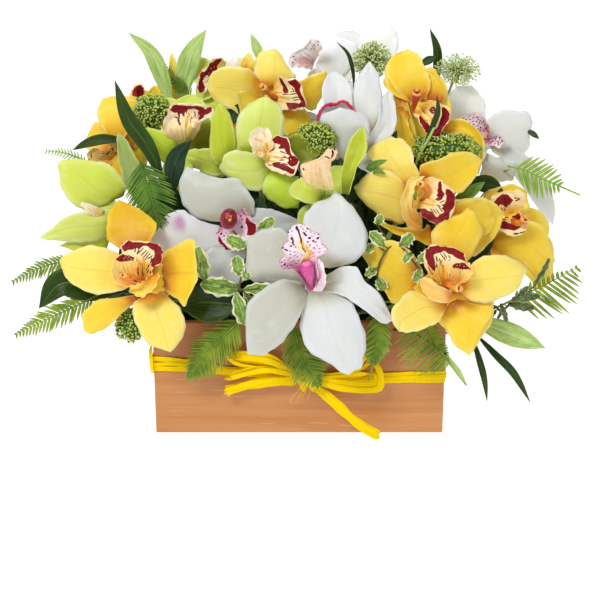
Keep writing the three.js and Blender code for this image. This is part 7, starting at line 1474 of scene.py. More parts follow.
    'yellow_mid_right': {'skip': [1, 0, 2, 3, 4], 'petals': [{'L': [[86.9, -59.6, 206.0], [72.3, -58.4, 213.6], [62.2, -55.5, 222.7], [55.0, -50.4, 229.2], [56.9, -43.1, 235.3], [74.0, -34.0, 243.1]], 'R': [[94.5, -59.6, 208.0], [96.3, -58.4, 217.5], [92.1, -55.5, 226.6], [88.0, -50.4, 237.7], [81.9, -43.1, 243.1], [74.0, -34.0, 243.1]], 'M': [[90.7, -59.0, 206.8], [84.5, -55.8, 215.0], [77.4, -51.6, 224.0], [71.8, -46.5, 232.8], [69.6, -40.4, 238.7], [74.0, -33.4, 243.0]], 'look': 'YP'}, {'L': [[86.1, -58.5, 201.8], [79.9, -60.2, 214.3], [69.2, -60.5, 220.6], [57.4, -59.8, 218.9], [48.7, -58.1, 213.1], [43.9, -55.1, 205.4]], 'R': [[86.4, -58.5, 189.0], [85.2, -60.2, 176.9], [73.5, -60.5, 179.0], [61.8, -59.8, 184.4], [50.9, -58.1, 193.9], [43.9, -55.1, 205.4]], 'M': [[86.2, -59.0, 195.5], [82.4, -62.2, 196.1], [71.1, -63.4, 200.5], [59.4, -62.7, 202.3], [49.7, -60.1, 203.9], [43.9, -55.6, 205.5]], 'look': 'YP'}, {'L': [[96.2, -59.6, 215.8], [98.1, -60.8, 224.7], [111.1, -59.8, 229.9], [122.8, -56.4, 233.2], [137.0, -50.5, 232.9], [148.1, -42.5, 225.4]], 'R': [[104.0, -59.6, 210.9], [117.5, -60.8, 206.2], [127.8, -59.8, 201.3], [137.6, -56.4, 208.1], [144.1, -50.5, 216.7], [148.1, -42.5, 225.4]], 'M': [[100.2, -59.0, 213.2], [108.1, -58.1, 215.0], [119.9, -56.0, 214.9], [130.7, -52.6, 219.9], [140.9, -47.9, 224.3], [148.2, -41.9, 225.3]]}, {'L': [[105.2, -59.3, 175.3], [97.1, -63.0, 172.0], [86.3, -65.0, 174.1], [75.6, -65.2, 176.5], [67.9, -63.4, 177.7], [65.1, -60.0, 175.7]], 'R': [[109.4, -59.3, 163.9], [106.3, -63.0, 158.8], [94.3, -65.0, 163.3], [82.0, -65.2, 167.4], [72.5, -63.4, 171.9], [65.1, -60.0, 175.7]], 'M': [[107.3, -59.0, 169.5], [101.8, -61.7, 165.1], [90.4, -63.1, 168.2], [78.9, -63.3, 171.5], [70.3, -62.1, 174.5], [65.1, -59.7, 175.6]]}, {'L': [[116.3, -59.5, 188.2], [127.6, -60.4, 193.6], [139.3, -59.5, 195.9], [151.8, -56.4, 193.7], [161.6, -51.1, 188.3], [167.4, -43.9, 180.3]], 'R': [[120.6, -59.5, 176.3], [133.3, -60.4, 172.6], [146.3, -59.5, 165.9], [157.1, -56.4, 169.6], [163.2, -51.1, 174.3], [167.4, -43.9, 180.3]], 'M': [[118.5, -59.0, 182.2], [130.7, -58.4, 182.7], [143.2, -56.6, 180.3], [154.9, -53.5, 181.0], [162.7, -49.1, 180.9], [167.5, -43.4, 180.2]]}, {'L': [[112.5, -54.3, 184.7], [123.2, -56.9, 193.6], [135.1, -57.8, 197.1], [148.1, -56.8, 196.9], [159.3, -53.9, 191.3], [167.0, -49.3, 181.9]], 'R': [[119.7, -54.3, 163.0], [131.3, -56.9, 151.9], [142.7, -57.8, 148.7], [153.1, -56.8, 156.9], [162.8, -53.9, 169.6], [167.0, -49.3, 181.9]], 'M': [[116.2, -54.0, 173.8], [127.4, -55.6, 172.6], [139.2, -55.8, 172.6], [150.9, -54.8, 176.6], [161.3, -52.6, 180.2], [167.0, -49.0, 181.9]]}], 'lips': [{'kind': 'lip', 'L': [[93.4, -65.0, 195.8], [95.6, -69.0, 191.4], [96.8, -74.0, 186.8], [102.1, -78.0, 183.7], [109.1, -80.0, 180.5], [117.6, -81.0, 184.0], [123.0, -81.0, 198.9]], 'R': [[94.7, -65.0, 205.2], [97.3, -69.0, 213.3], [103.0, -74.0, 217.5], [109.7, -78.0, 216.3], [115.9, -80.0, 212.3], [120.7, -81.0, 208.1], [123.0, -81.0, 198.9]], 'M': [[94.5, -61.0, 199.6], [96.8, -65.0, 201.5], [100.3, -70.0, 201.4], [106.4, -74.0, 199.2], [112.8, -78.0, 196.0], [119.2, -80.0, 195.9], [123.0, -81.0, 198.9]], 'areas': {'red': [[[0.665, 0.817], [0.75, 0.917], [0.885, 0.967], [0.96, 1.0], [0.985, -1.0], [0.935, -0.7], [0.85, -0.483], [0.85, -0.983], [0.75, -0.867], [0.665, -1.0], [0.575, -0.967], [0.48, -1.0], [0.365, -1.0], [0.21, -0.983], [0.37, -0.6], [0.475, -0.6], [0.53, -0.533], [0.575, -0.6], [0.615, -0.65], [0.65, -0.633], [0.67, -0.467], [0.735, -0.4], [0.715, -0.233], [0.66, -0.167], [0.71, -0.083], [0.645, 0.0], [0.705, 0.067], [0.72, 0.267], [0.71, 0.5], [0.67, 0.65]], [[0.5, 0.833], [0.525, 0.967], [0.575, 0.85], [0.605, 0.65], [0.67, 0.55], [0.65, 0.35], [0.645, 0.217], [0.58, 0.083], [0.525, 0.05], [0.565, 0.217], [0.53, 0.25], [0.545, 0.4], [0.515, 0.5], [0.53, 0.617]]]}, 'strips': [['r', 0.47, [0.48, -0.433], [0.57, -0.567]], ['r', 0.47, [0.53, -0.383], [0.62, -0.517]], ['r', 0.47, [0.58, -0.3], [0.665, -0.467]], ['r', 0.47, [0.62, -0.133], [0.715, -0.35]], ['r', 0.43, [0.58, -0.1], [0.66, -0.117]], ['r', 0.43, [0.62, 0.05], [0.7, 0.267]], ['r', 0.34, [0.385, -0.567], [0.46, -0.667]], ['k', 1.12, [0.235, -0.45], [0.425, -0.317], [0.555, -0.217]], ['k', 1.03, [0.325, -0.017], [0.455, -0.067], [0.57, -0.05]]]}, {'kind': 'side', 'L': [[98.6, -68.0, 172.3], [90.0, -74.0, 175.4], [83.8, -79.0, 182.3], [80.1, -82.0, 192.7], [79.9, -82.0, 202.3], [83.0, -80.0, 211.5], [88.7, -76.0, 217.1], [99.4, -71.0, 217.7]], 'R': [[98.2, -68.0, 185.4], [93.5, -74.0, 189.7], [90.2, -79.0, 196.1], [89.3, -82.0, 203.2], [89.9, -82.0, 208.7], [92.4, -80.0, 213.1], [95.0, -76.0, 215.1], [99.4, -71.0, 217.7]], 'M': [[98.5, -67.0, 178.6], [92.0, -71.0, 181.8], [87.3, -75.0, 188.3], [85.2, -77.0, 196.8], [85.4, -77.0, 204.5], [88.0, -76.0, 211.5], [92.1, -73.0, 215.5], [99.4, -71.0, 217.7]], 'strips': [['b', 0.52, [0.395, 0.967], [0.34, 0.867], [0.25, 0.8]]], 'areas': {'brown': [[[0.41, 1.0], [0.49, 1.0], [0.57, 1.0], [0.43, 1.0], [0.365, 1.0], [0.375, 1.0]]]}}], 'col': {'p': [[98.9, -66.0, 195.6], [101.6, -73.0, 203.6], [99.4, -77.0, 210.9], [94.0, -79.0, 212.9]], 'r': 0.72}},
    'yellow_right': {'skip': [1, 0], 'petals': [{'L': [[161.7, -31.5, 177.8], [152.8, -31.0, 189.9], [156.1, -28.6, 196.7], [167.8, -24.0, 199.8], [181.3, -17.3, 199.8], [192.3, -8.7, 191.2]], 'R': [[179.8, -31.5, 174.7], [184.9, -31.0, 177.7], [190.2, -28.6, 180.2], [192.3, -24.0, 184.3], [193.0, -17.3, 187.3], [192.3, -8.7, 191.2]], 'M': [[170.8, -31.0, 176.2], [169.2, -29.0, 183.4], [173.6, -25.7, 187.8], [180.5, -21.2, 191.4], [187.5, -15.3, 193.2], [192.4, -8.2, 191.1]]}, {'L': [[155.0, -30.4, 150.8], [165.6, -34.1, 161.6], [181.2, -36.0, 169.9], [195.3, -36.6, 172.1], [206.9, -35.9, 163.5], [214.3, -33.4, 138.1]], 'R': [[156.4, -30.4, 142.5], [170.9, -34.1, 143.1], [185.3, -36.0, 138.4], [195.8, -36.6, 127.1], [204.7, -35.9, 118.1], [214.3, -33.4, 138.1]], 'M': [[155.6, -31.0, 146.8], [167.8, -36.7, 153.1], [182.5, -39.9, 155.2], [194.8, -40.5, 150.7], [205.3, -38.5, 141.7], [214.2, -34.0, 138.3]], 'look': 'Y'}, {'L': [[152.1, -30.4, 153.6], [164.7, -32.3, 163.5], [178.4, -32.9, 170.5], [193.4, -32.5, 172.1], [205.8, -31.2, 162.4], [213.9, -28.9, 146.3], [215.4, -25.4, 119.0]], 'R': [[153.4, -30.4, 141.4], [166.8, -32.3, 136.7], [179.5, -32.9, 132.5], [190.9, -32.5, 125.5], [200.2, -31.2, 114.5], [206.9, -28.9, 108.6], [215.4, -25.4, 119.0]], 'M': [[152.7, -31.0, 147.7], [165.4, -34.6, 150.8], [178.3, -36.4, 152.5], [191.4, -36.5, 150.0], [202.3, -34.8, 139.6], [209.9, -31.3, 128.2], [215.3, -26.0, 119.2]]}, {'L': [[143.5, -26.2, 150.7], [149.8, -27.5, 158.0], [159.8, -28.0, 158.1], [170.1, -27.5, 154.6], [182.7, -26.2, 142.1]], 'R': [[145.9, -26.2, 133.3], [154.3, -27.5, 130.2], [166.2, -28.0, 128.6], [176.2, -27.5, 131.9], [182.7, -26.2, 142.1]], 'M': [[144.8, -26.0, 142.0], [152.2, -26.8, 144.0], [163.1, -27.0, 143.1], [173.3, -26.7, 143.1], [182.7, -26.0, 142.0]], 'look': 'YB'}], 'lips': [{'kind': 'lip', 'L': [[171.5, -38.0, 175.9], [163.2, -42.0, 182.8], [155.8, -46.0, 188.3], [156.0, -48.0, 194.1], [161.3, -49.0, 198.9], [169.5, -48.0, 200.8]], 'R': [[177.2, -38.0, 177.6], [182.0, -42.0, 183.6], [185.0, -46.0, 190.4], [183.5, -48.0, 197.4], [177.5, -49.0, 201.0], [169.5, -48.0, 200.8]], 'M': [[175.1, -34.0, 175.8], [173.3, -38.0, 182.3], [171.1, -42.0, 188.4], [170.3, -45.0, 195.1], [169.7, -47.0, 199.5], [169.5, -48.0, 200.8]], 'areas': {'red': [[[0.455, -0.867], [0.585, -0.7], [0.69, -0.55], [0.765, -0.433], [0.69, 0.0], [0.575, 0.167], [0.5, 0.3], [0.455, 0.167], [0.395, 0.0], [0.315, -0.167], [0.39, -0.283], [0.41, -0.45], [0.32, -0.633], [0.39, -0.733]]]}, 'strips': [['r', 0.69, [0.565, 0.333], [0.53, 0.5]], ['r', 0.77, [0.475, 0.383], [0.505, 0.667]], ['r', 0.43, [0.325, -0.467], [0.195, -0.583]], ['r', 0.43, [0.32, -0.283], [0.19, -0.417]], ['r', 0.52, [0.545, 0.5], [0.52, 0.667]]]}, {'kind': 'lip', 'L': [[170.5, -39.0, 177.0], [164.8, -44.0, 175.7], [162.8, -48.0, 170.7], [166.1, -49.0, 166.8], [173.7, -49.0, 163.4], [181.2, -48.0, 163.6]], 'R': [[177.7, -39.0, 182.1], [181.8, -44.0, 181.5], [184.6, -48.0, 177.4], [186.3, -49.0, 171.8], [185.7, -49.0, 167.6], [181.2, -48.0, 163.6]], 'M': [[174.8, -35.0, 178.6], [174.2, -39.0, 177.4], [174.6, -43.0, 172.9], [176.8, -46.0, 168.5], [179.9, -48.0, 165.2], [181.2, -48.0, 163.6]], 'areas': {'red': [[[0.445, -0.917], [0.285, -0.8], [0.265, -0.567], [0.37, -0.25], [0.445, 0.0], [0.495, 0.167], [0.325, 0.233], [0.23, 0.083], [0.185, 0.65], [0.185, 0.933], [0.315, 0.8], [0.475, 0.633], [0.61, 0.433], [0.65, -0.05], [0.58, -0.483], [0.51, -0.75]]]}, 'strips': [['d', 0.95, [0.75, -0.517], [0.81, 0.05]], ['d', 0.6, [0.795, 0.067], [0.81, 1.0]], ['r', 0.52, [0.095, -0.817], [0.235, -0.15]], ['r', 0.43, [0.21, -0.8], [0.255, -0.4]]]}], 'col': {'p': [[176.9, -41.0, 173.3], [179.2, -47.0, 173.8], [182.7, -50.0, 175.4], [184.2, -52.0, 179.2]], 'r': 0.98}},
    'yellow_top_right': {'skip': [0, 1, 3, 4], 'petals': [{'L': [[92.4, -13.6, 266.8], [82.2, -14.9, 275.1], [74.5, -13.8, 284.8], [70.8, -9.9, 293.7], [76.8, -3.2, 304.2], [90.1, 6.0, 308.9]], 'R': [[102.8, -13.6, 268.7], [107.6, -14.9, 281.2], [105.2, -13.8, 290.4], [101.9, -9.9, 298.3], [97.2, -3.2, 306.4], [90.1, 6.0, 308.9]], 'M': [[97.7, -13.0, 267.7], [95.2, -12.3, 277.8], [90.2, -10.0, 287.1], [86.7, -6.0, 295.6], [87.2, -0.5, 305.0], [90.2, 6.6, 308.9]], 'look': 'Y'}, {'L': [[103.8, -12.7, 269.5], [102.2, -10.8, 278.7], [101.5, -8.0, 286.9], [102.6, -4.5, 292.1], [105.2, -0.3, 294.1], [109.4, 4.7, 294.5]], 'R': [[119.1, -12.7, 267.7], [122.4, -10.8, 275.9], [119.8, -8.0, 284.1], [116.0, -4.5, 289.7], [112.9, -0.3, 293.0], [109.4, 4.7, 294.5]], 'M': [[111.4, -13.0, 268.6], [112.2, -12.1, 277.5], [110.4, -9.9, 285.7], [109.1, -6.4, 291.1], [108.9, -1.6, 293.7], [109.3, 4.4, 294.5]]}, {'L': [[88.7, -13.8, 264.0], [77.6, -19.6, 264.8], [76.4, -23.5, 252.2], [77.6, -24.9, 239.1], [86.4, -23.8, 231.7], [95.0, -20.8, 224.6]], 'R': [[97.3, -13.8, 259.3], [88.8, -19.6, 254.4], [92.9, -23.5, 244.6], [94.1, -24.9, 238.2], [95.5, -23.8, 231.3], [95.0, -20.8, 224.6]], 'M': [[93.1, -13.0, 261.5], [83.4, -16.3, 259.2], [85.1, -18.7, 247.6], [86.2, -20.1, 237.8], [91.2, -20.5, 230.9], [95.1, -20.0, 224.4]]}, {'L': [[112.0, -13.5, 248.7], [123.5, -20.3, 253.6], [136.7, -24.6, 254.3], [147.8, -26.1, 245.4], [152.0, -24.8, 231.5], [149.0, -21.0, 208.5]], 'R': [[110.3, -13.5, 241.0], [122.9, -20.3, 242.7], [135.7, -24.6, 241.6], [143.7, -26.1, 235.5], [145.3, -24.8, 223.4], [149.0, -21.0, 208.5]], 'M': [[111.2, -13.0, 244.8], [123.4, -18.3, 247.9], [136.6, -21.8, 247.5], [146.2, -23.3, 240.0], [149.0, -22.8, 227.1], [149.0, -20.5, 208.4]]}, {'L': [[97.5, -7.3, 293.4], [86.9, -9.2, 285.5], [80.5, -10.0, 274.1], [80.9, -9.6, 260.9], [87.1, -8.0, 247.4], [101.9, -5.3, 233.5]], 'R': [[109.1, -7.3, 291.8], [120.9, -9.2, 277.3], [125.4, -10.0, 262.6], [124.3, -9.6, 249.3], [117.4, -8.0, 239.0], [101.9, -5.3, 233.5]], 'M': [[103.4, -7.0, 292.5], [104.0, -7.9, 281.2], [103.1, -8.1, 268.1], [102.7, -7.7, 254.8], [102.4, -6.7, 243.0], [101.9, -5.0, 233.5]], 'look': 'Y'}, {'L': [[77.0, -11.5, 279.2], [77.8, -17.5, 261.2], [80.4, -20.5, 244.4], [87.4, -20.0, 230.2], [96.3, -16.5, 217.8]], 'R': [[87.9, -11.5, 272.7], [92.7, -17.5, 255.5], [96.2, -20.5, 241.1], [97.3, -20.0, 229.4], [96.3, -16.5, 217.8]], 'M': [[82.5, -11.0, 275.9], [85.4, -15.2, 258.0], [88.5, -17.5, 242.2], [92.6, -17.8, 229.4], [96.4, -16.0, 217.7]], 'look': 'Y'}], 'lips': [{'kind': 'lip', 'L': [[92.6, -17.0, 262.8], [93.1, -22.0, 259.4], [96.5, -26.0, 255.9], [99.1, -30.0, 250.4], [104.9, -31.0, 244.5], [109.1, -31.0, 242.0], [113.3, -30.0, 241.4]], 'R': [[102.3, -17.0, 268.5], [108.3, -22.0, 270.8], [115.2, -26.0, 268.5], [121.8, -30.0, 264.7], [121.6, -31.0, 256.7], [117.4, -31.0, 249.4], [113.3, -30.0, 241.4]], 'M': [[97.6, -15.0, 265.4], [101.1, -18.0, 264.6], [106.3, -22.0, 261.7], [110.9, -26.0, 257.0], [113.5, -29.0, 250.3], [113.2, -31.0, 245.7], [113.1, -31.0, 241.6]], 'areas': {'red': [[[0.27, -0.567], [0.335, -0.917], [0.44, -0.967], [0.525, -0.983], [0.61, -0.967], [0.695, -0.95], [0.605, -0.583], [0.53, -0.55], [0.48, -0.6], [0.425, -0.65], [0.35, -0.667]], [[0.39, 0.833], [0.45, 0.883], [0.57, 0.983], [0.67, 0.95], [0.715, 0.8], [0.82, 0.833], [0.9, 0.9], [0.98, 1.0], [0.77, -0.967], [0.68, -0.55], [0.675, -0.15], [0.63, 0.083], [0.57, 0.267], [0.525, 0.433], [0.44, 0.6]], [[0.28, 0.35], [0.3, 0.55], [0.37, 0.433], [0.415, 0.267], [0.44, 0.05], [0.385, -0.017], [0.325, 0.05]]]}, 'dots': [['c', 0.43, 0.34, 0.25], ['c', 0.43, 0.395, 0.15]], 'strips': [['o', 0.43, [0.465, -0.433], [0.525, -0.283]], ['o', 0.43, [0.52, -0.483], [0.56, -0.2]], ['o', 0.43, [0.455, -0.267], [0.52, -0.05]], ['k', 0.95, [0.08, 0.0], [0.325, -0.25], [0.52, -0.267]], ['k', 0.86, [0.085, -0.533], [0.335, -0.617], [0.535, -0.517]], ['r', 0.43, [0.2, -0.183], [0.335, -0.367]], ['r', 0.43, [0.44, -0.683], [0.465, -0.433]]]}], 'col': {'p': [[93.2, -20.0, 260.8], [93.2, -27.0, 266.7], [94.3, -31.0, 273.7], [94.6, -33.0, 279.2]], 'r': 0.86, 'key': 'tip'}},
    'yellow_top_left': {'skip': [0, 1, 2, 3], 'petals': [{'L': [[-32.5, 7.5, 275.8], [-37.1, 9.0, 286.1], [-37.6, 11.8, 297.4], [-34.1, 15.6, 304.9], [-27.2, 20.4, 308.3], [-20.6, 26.6, 307.4]], 'R': [[-16.5, 7.5, 279.1], [-8.6, 9.0, 284.4], [-2.6, 11.8, 285.2], [-7.0, 15.6, 292.3], [-13.0, 20.4, 301.3], [-20.6, 26.6, 307.4]], 'M': [[-24.5, 7.0, 277.5], [-22.8, 7.0, 285.5], [-20.1, 8.9, 291.7], [-20.5, 12.7, 298.9], [-20.1, 18.4, 305.0], [-20.6, 26.1, 307.4]], 'look': 'YP'}, {'L': [[-7.3, 7.3, 277.4], [1.5, 10.1, 282.9], [9.9, 13.8, 286.7], [18.4, 18.2, 288.7], [24.1, 23.2, 288.9], [25.8, 29.1, 283.2]], 'R': [[-0.5, 7.3, 265.7], [6.2, 10.1, 259.1], [11.7, 13.8, 257.2], [17.0, 18.2, 261.7], [22.8, 23.2, 271.2], [25.8, 29.1, 283.2]], 'M': [[-3.9, 7.0, 271.6], [3.8, 8.8, 271.2], [10.8, 11.9, 272.3], [17.7, 16.2, 275.5], [23.4, 21.9, 280.3], [25.8, 28.8, 283.2]]}, {'L': [[-17.4, 6.5, 261.6], [-15.4, 1.5, 252.3], [-14.0, -1.6, 243.5], [-11.5, -2.6, 238.6], [-4.8, -1.4, 239.2], [4.2, 1.7, 242.9]], 'R': [[-9.0, 6.5, 261.6], [-1.4, 1.5, 262.3], [4.2, -1.6, 262.1], [8.3, -2.6, 254.9], [9.0, -1.4, 249.3], [4.2, 1.7, 242.9]], 'M': [[-13.2, 7.0, 261.6], [-8.4, 3.5, 257.0], [-4.9, 1.2, 252.4], [-1.6, 0.3, 246.3], [2.2, 0.6, 244.0], [4.2, 2.2, 242.9]]}, {'L': [[-27.9, 5.5, 267.1], [-38.0, 2.1, 258.4], [-45.5, 0.2, 252.8], [-56.2, 0.0, 259.5], [-66.3, 1.5, 263.5], [-73.1, 4.8, 268.8], [-77.4, 9.5, 277.4]], 'R': [[-34.4, 5.5, 285.3], [-40.9, 2.1, 293.1], [-49.1, 0.2, 295.8], [-60.6, 0.0, 295.0], [-69.1, 1.5, 292.4], [-74.4, 4.8, 287.1], [-77.4, 9.5, 277.4]], 'M': [[-31.2, 6.0, 276.2], [-39.5, 3.9, 275.6], [-47.4, 2.9, 274.1], [-58.6, 3.0, 277.0], [-67.9, 4.2, 277.6], [-73.9, 6.6, 277.8], [-77.5, 10.0, 277.3]], 'pale': 1, 'look': 'YP'}, {'L': [[-62.0, 13.7, 260.9], [-62.0, 11.7, 254.4], [-60.4, 11.5, 246.8], [-57.2, 13.2, 240.6], [-54.1, 16.7, 235.8]], 'R': [[-41.7, 13.7, 260.9], [-43.4, 11.7, 254.4], [-46.9, 11.5, 247.7], [-50.4, 13.2, 241.5], [-54.1, 16.7, 235.8]], 'M': [[-51.9, 14.0, 260.9], [-52.8, 13.2, 254.2], [-53.8, 13.5, 247.0], [-53.9, 14.8, 240.8], [-54.1, 17.0, 235.7]], 'look': 'YD'}, {'L': [[-34.7, 11.8, 281.3], [-26.2, 10.2, 286.4], [-17.8, 10.2, 286.4], [-4.5, 11.8, 274.6]], 'R': [[-34.8, 11.8, 266.2], [-23.0, 10.2, 263.1], [-11.2, 10.2, 266.4], [-4.5, 11.8, 274.6]], 'M': [[-34.8, 12.0, 273.7], [-24.6, 11.1, 274.7], [-14.6, 11.1, 276.4], [-4.5, 12.0, 274.6]], 'look': 'YD'}, {'L': [[-61.8, 17.8, 287.2], [-61.5, 16.0, 296.6], [-58.1, 16.7, 303.1], [-54.8, 19.8, 307.8]], 'R': [[-48.3, 17.8, 287.2], [-48.1, 16.0, 296.6], [-51.4, 16.7, 303.1], [-54.8, 19.8, 307.8]], 'M': [[-55.1, 18.0, 287.2], [-54.9, 16.9, 296.5], [-54.8, 17.6, 303.0], [-54.8, 20.0, 307.8]], 'look': 'WB'}, {'L': [[-51.6, 15.8, 289.1], [-49.7, 14.0, 297.6], [-45.4, 14.7, 302.5], [-42.2, 17.8, 305.5]], 'R': [[-38.1, 15.8, 289.1], [-37.1, 14.0, 297.6], [-39.6, 14.7, 302.5], [-42.2, 17.8, 305.5]], 'M': [[-44.8, 16.0, 289.1], [-43.4, 14.9, 297.5], [-42.6, 15.6, 302.4], [-42.2, 18.0, 305.5]], 'look': 'YP'}], 'lips': [{'kind': 'lip', 'L': [[-22.8, 2.0, 268.4], [-21.5, -2.0, 264.4], [-16.9, -6.0, 260.0], [-10.2, -9.0, 260.8], [-2.7, -11.0, 260.7], [3.9, -12.0, 262.1], [6.3, -12.0, 266.2]], 'R': [[-21.1, 2.0, 274.2], [-20.1, -2.0, 282.1], [-16.7, -6.0, 288.4], [-9.3, -9.0, 286.3], [-1.9, -11.0, 286.1], [2.6, -12.0, 277.7], [6.3, -12.0, 266.2]], 'M': [[-22.0, 5.0, 270.9], [-20.9, 2.0, 272.7], [-16.9, -2.0, 273.7], [-9.8, -6.0, 273.2], [-2.3, -9.0, 273.2], [3.2, -11.0, 269.7], [6.3, -12.0, 266.2]], 'areas': {'red': [[[0.32, 0.983], [0.395, 0.883], [0.44, 0.733], [0.49, 0.417], [0.535, 0.133], [0.47, 0.067], [0.415, 0.167], [0.415, 0.4], [0.375, 0.6], [0.345, 0.767]], [[0.49, 0.867], [0.59, 0.967], [0.68, 0.967], [0.765, 1.0], [0.745, 0.517], [0.82, 0.317], [0.955, -0.083], [0.89, -1.0], [0.785, -0.767], [0.685, -0.867], [0.61, -0.967], [0.54, -1.0], [0.49, -0.683], [0.465, -0.5], [0.55, -0.517], [0.66, -0.517], [0.725, -0.55], [0.77, -0.317], [0.72, -0.133], [0.675, 0.067], [0.635, 0.233], [0.615, 0.45], [0.555, 0.617]]]}, 'strips': [['r', 0.43, [0.545, -0.033], [0.675, 0.117]], ['r', 0.43, [0.585, -0.25], [0.72, -0.067]], ['r', 0.43, [0.605, -0.383], [0.735, -0.25]], ['r', 0.47, [0.42, -0.05], [0.535, 0.033]], ['r', 0.47, [0.575, 0.417], [0.615, 0.2]], ['r', 0.34, [0.545, 0.167], [0.655, 0.183]], ['k', 0.86, [0.21, -0.267], [0.4, -0.25], [0.55, -0.283]], ['k', 0.69, [0.25, -0.533], [0.44, -0.433]]]}], 'col': {'p': [[-20.3, 0.0, 269.5], [-24.2, -7.0, 273.7], [-28.2, -11.0, 277.9], [-30.6, -13.0, 280.6]], 'r': 0.85}},
    'yellow_left_back': {'skip': [0, 2], 'petals': [{'L': [[-153.2, -8.5, 223.7], [-164.1, -6.6, 241.9], [-168.5, -3.6, 254.9], [-167.8, 0.0, 264.1], [-164.9, 4.3, 268.0], [-158.9, 9.7, 269.4]], 'R': [[-138.0, -8.5, 227.1], [-130.4, -6.6, 243.6], [-130.2, -3.6, 256.6], [-135.8, 0.0, 266.4], [-144.3, 4.3, 270.5], [-158.9, 9.7, 269.4]], 'M': [[-145.5, -9.0, 225.4], [-146.9, -8.6, 243.1], [-148.9, -6.5, 256.1], [-151.4, -2.9, 265.6], [-154.3, 2.4, 269.5], [-158.8, 9.2, 269.5]]}, {'L': [[-158.1, -9.3, 223.8], [-162.6, -13.7, 222.9], [-165.7, -16.7, 218.4], [-164.1, -18.2, 211.9], [-159.3, -18.1, 206.8], [-153.0, -16.6, 201.4]], 'R': [[-151.3, -9.3, 227.2], [-148.3, -13.7, 222.9], [-147.0, -16.7, 216.7], [-145.8, -18.2, 208.5], [-145.7, -18.1, 202.5], [-153.0, -16.6, 201.4]], 'M': [[-154.8, -9.0, 225.4], [-155.7, -12.4, 222.7], [-156.6, -14.8, 217.2], [-155.2, -16.3, 209.8], [-152.7, -16.8, 204.4], [-153.1, -16.3, 201.3]], 'look': 'YD'}], 'lips': [{'kind': 'lip', 'L': [[-152.2, -13.0, 219.7], [-159.2, -18.0, 215.6], [-167.0, -21.0, 216.2], [-173.3, -22.0, 220.5], [-175.4, -22.0, 226.4], [-171.3, -21.0, 230.4], [-169.8, -20.0, 230.6]], 'R': [[-152.8, -13.0, 226.4], [-154.4, -18.0, 230.3], [-156.3, -21.0, 232.6], [-159.6, -22.0, 229.7], [-163.7, -22.0, 229.7], [-167.1, -21.0, 230.8], [-169.8, -20.0, 230.6]], 'M': [[-152.9, -10.0, 222.5], [-157.4, -14.0, 222.2], [-162.3, -17.0, 223.7], [-166.9, -19.0, 224.6], [-169.9, -20.0, 227.7], [-169.4, -20.0, 230.4], [-169.8, -20.0, 230.6]], 'outside': 1, 'strips': [['d', 0.95, [0.745, 1.0], [0.6, 1.0], [0.405, 0.967]], ['d', 1.12, [0.27, 0.967], [0.185, 0.967], [0.12, 0.85]], ['d', 0.77, [0.3, 0.133], [0.25, 0.633]], ['d', 1.2, [0.55, -1.0], [0.51, -1.0]], ['b', 0.43, [0.66, -0.433], [0.535, -0.667]], ['b', 0.52, [0.43, -0.717], [0.385, -0.6]], ['b', 0.52, [0.3, -0.767], [0.27, -0.733]]]}], 'col': 'none'},
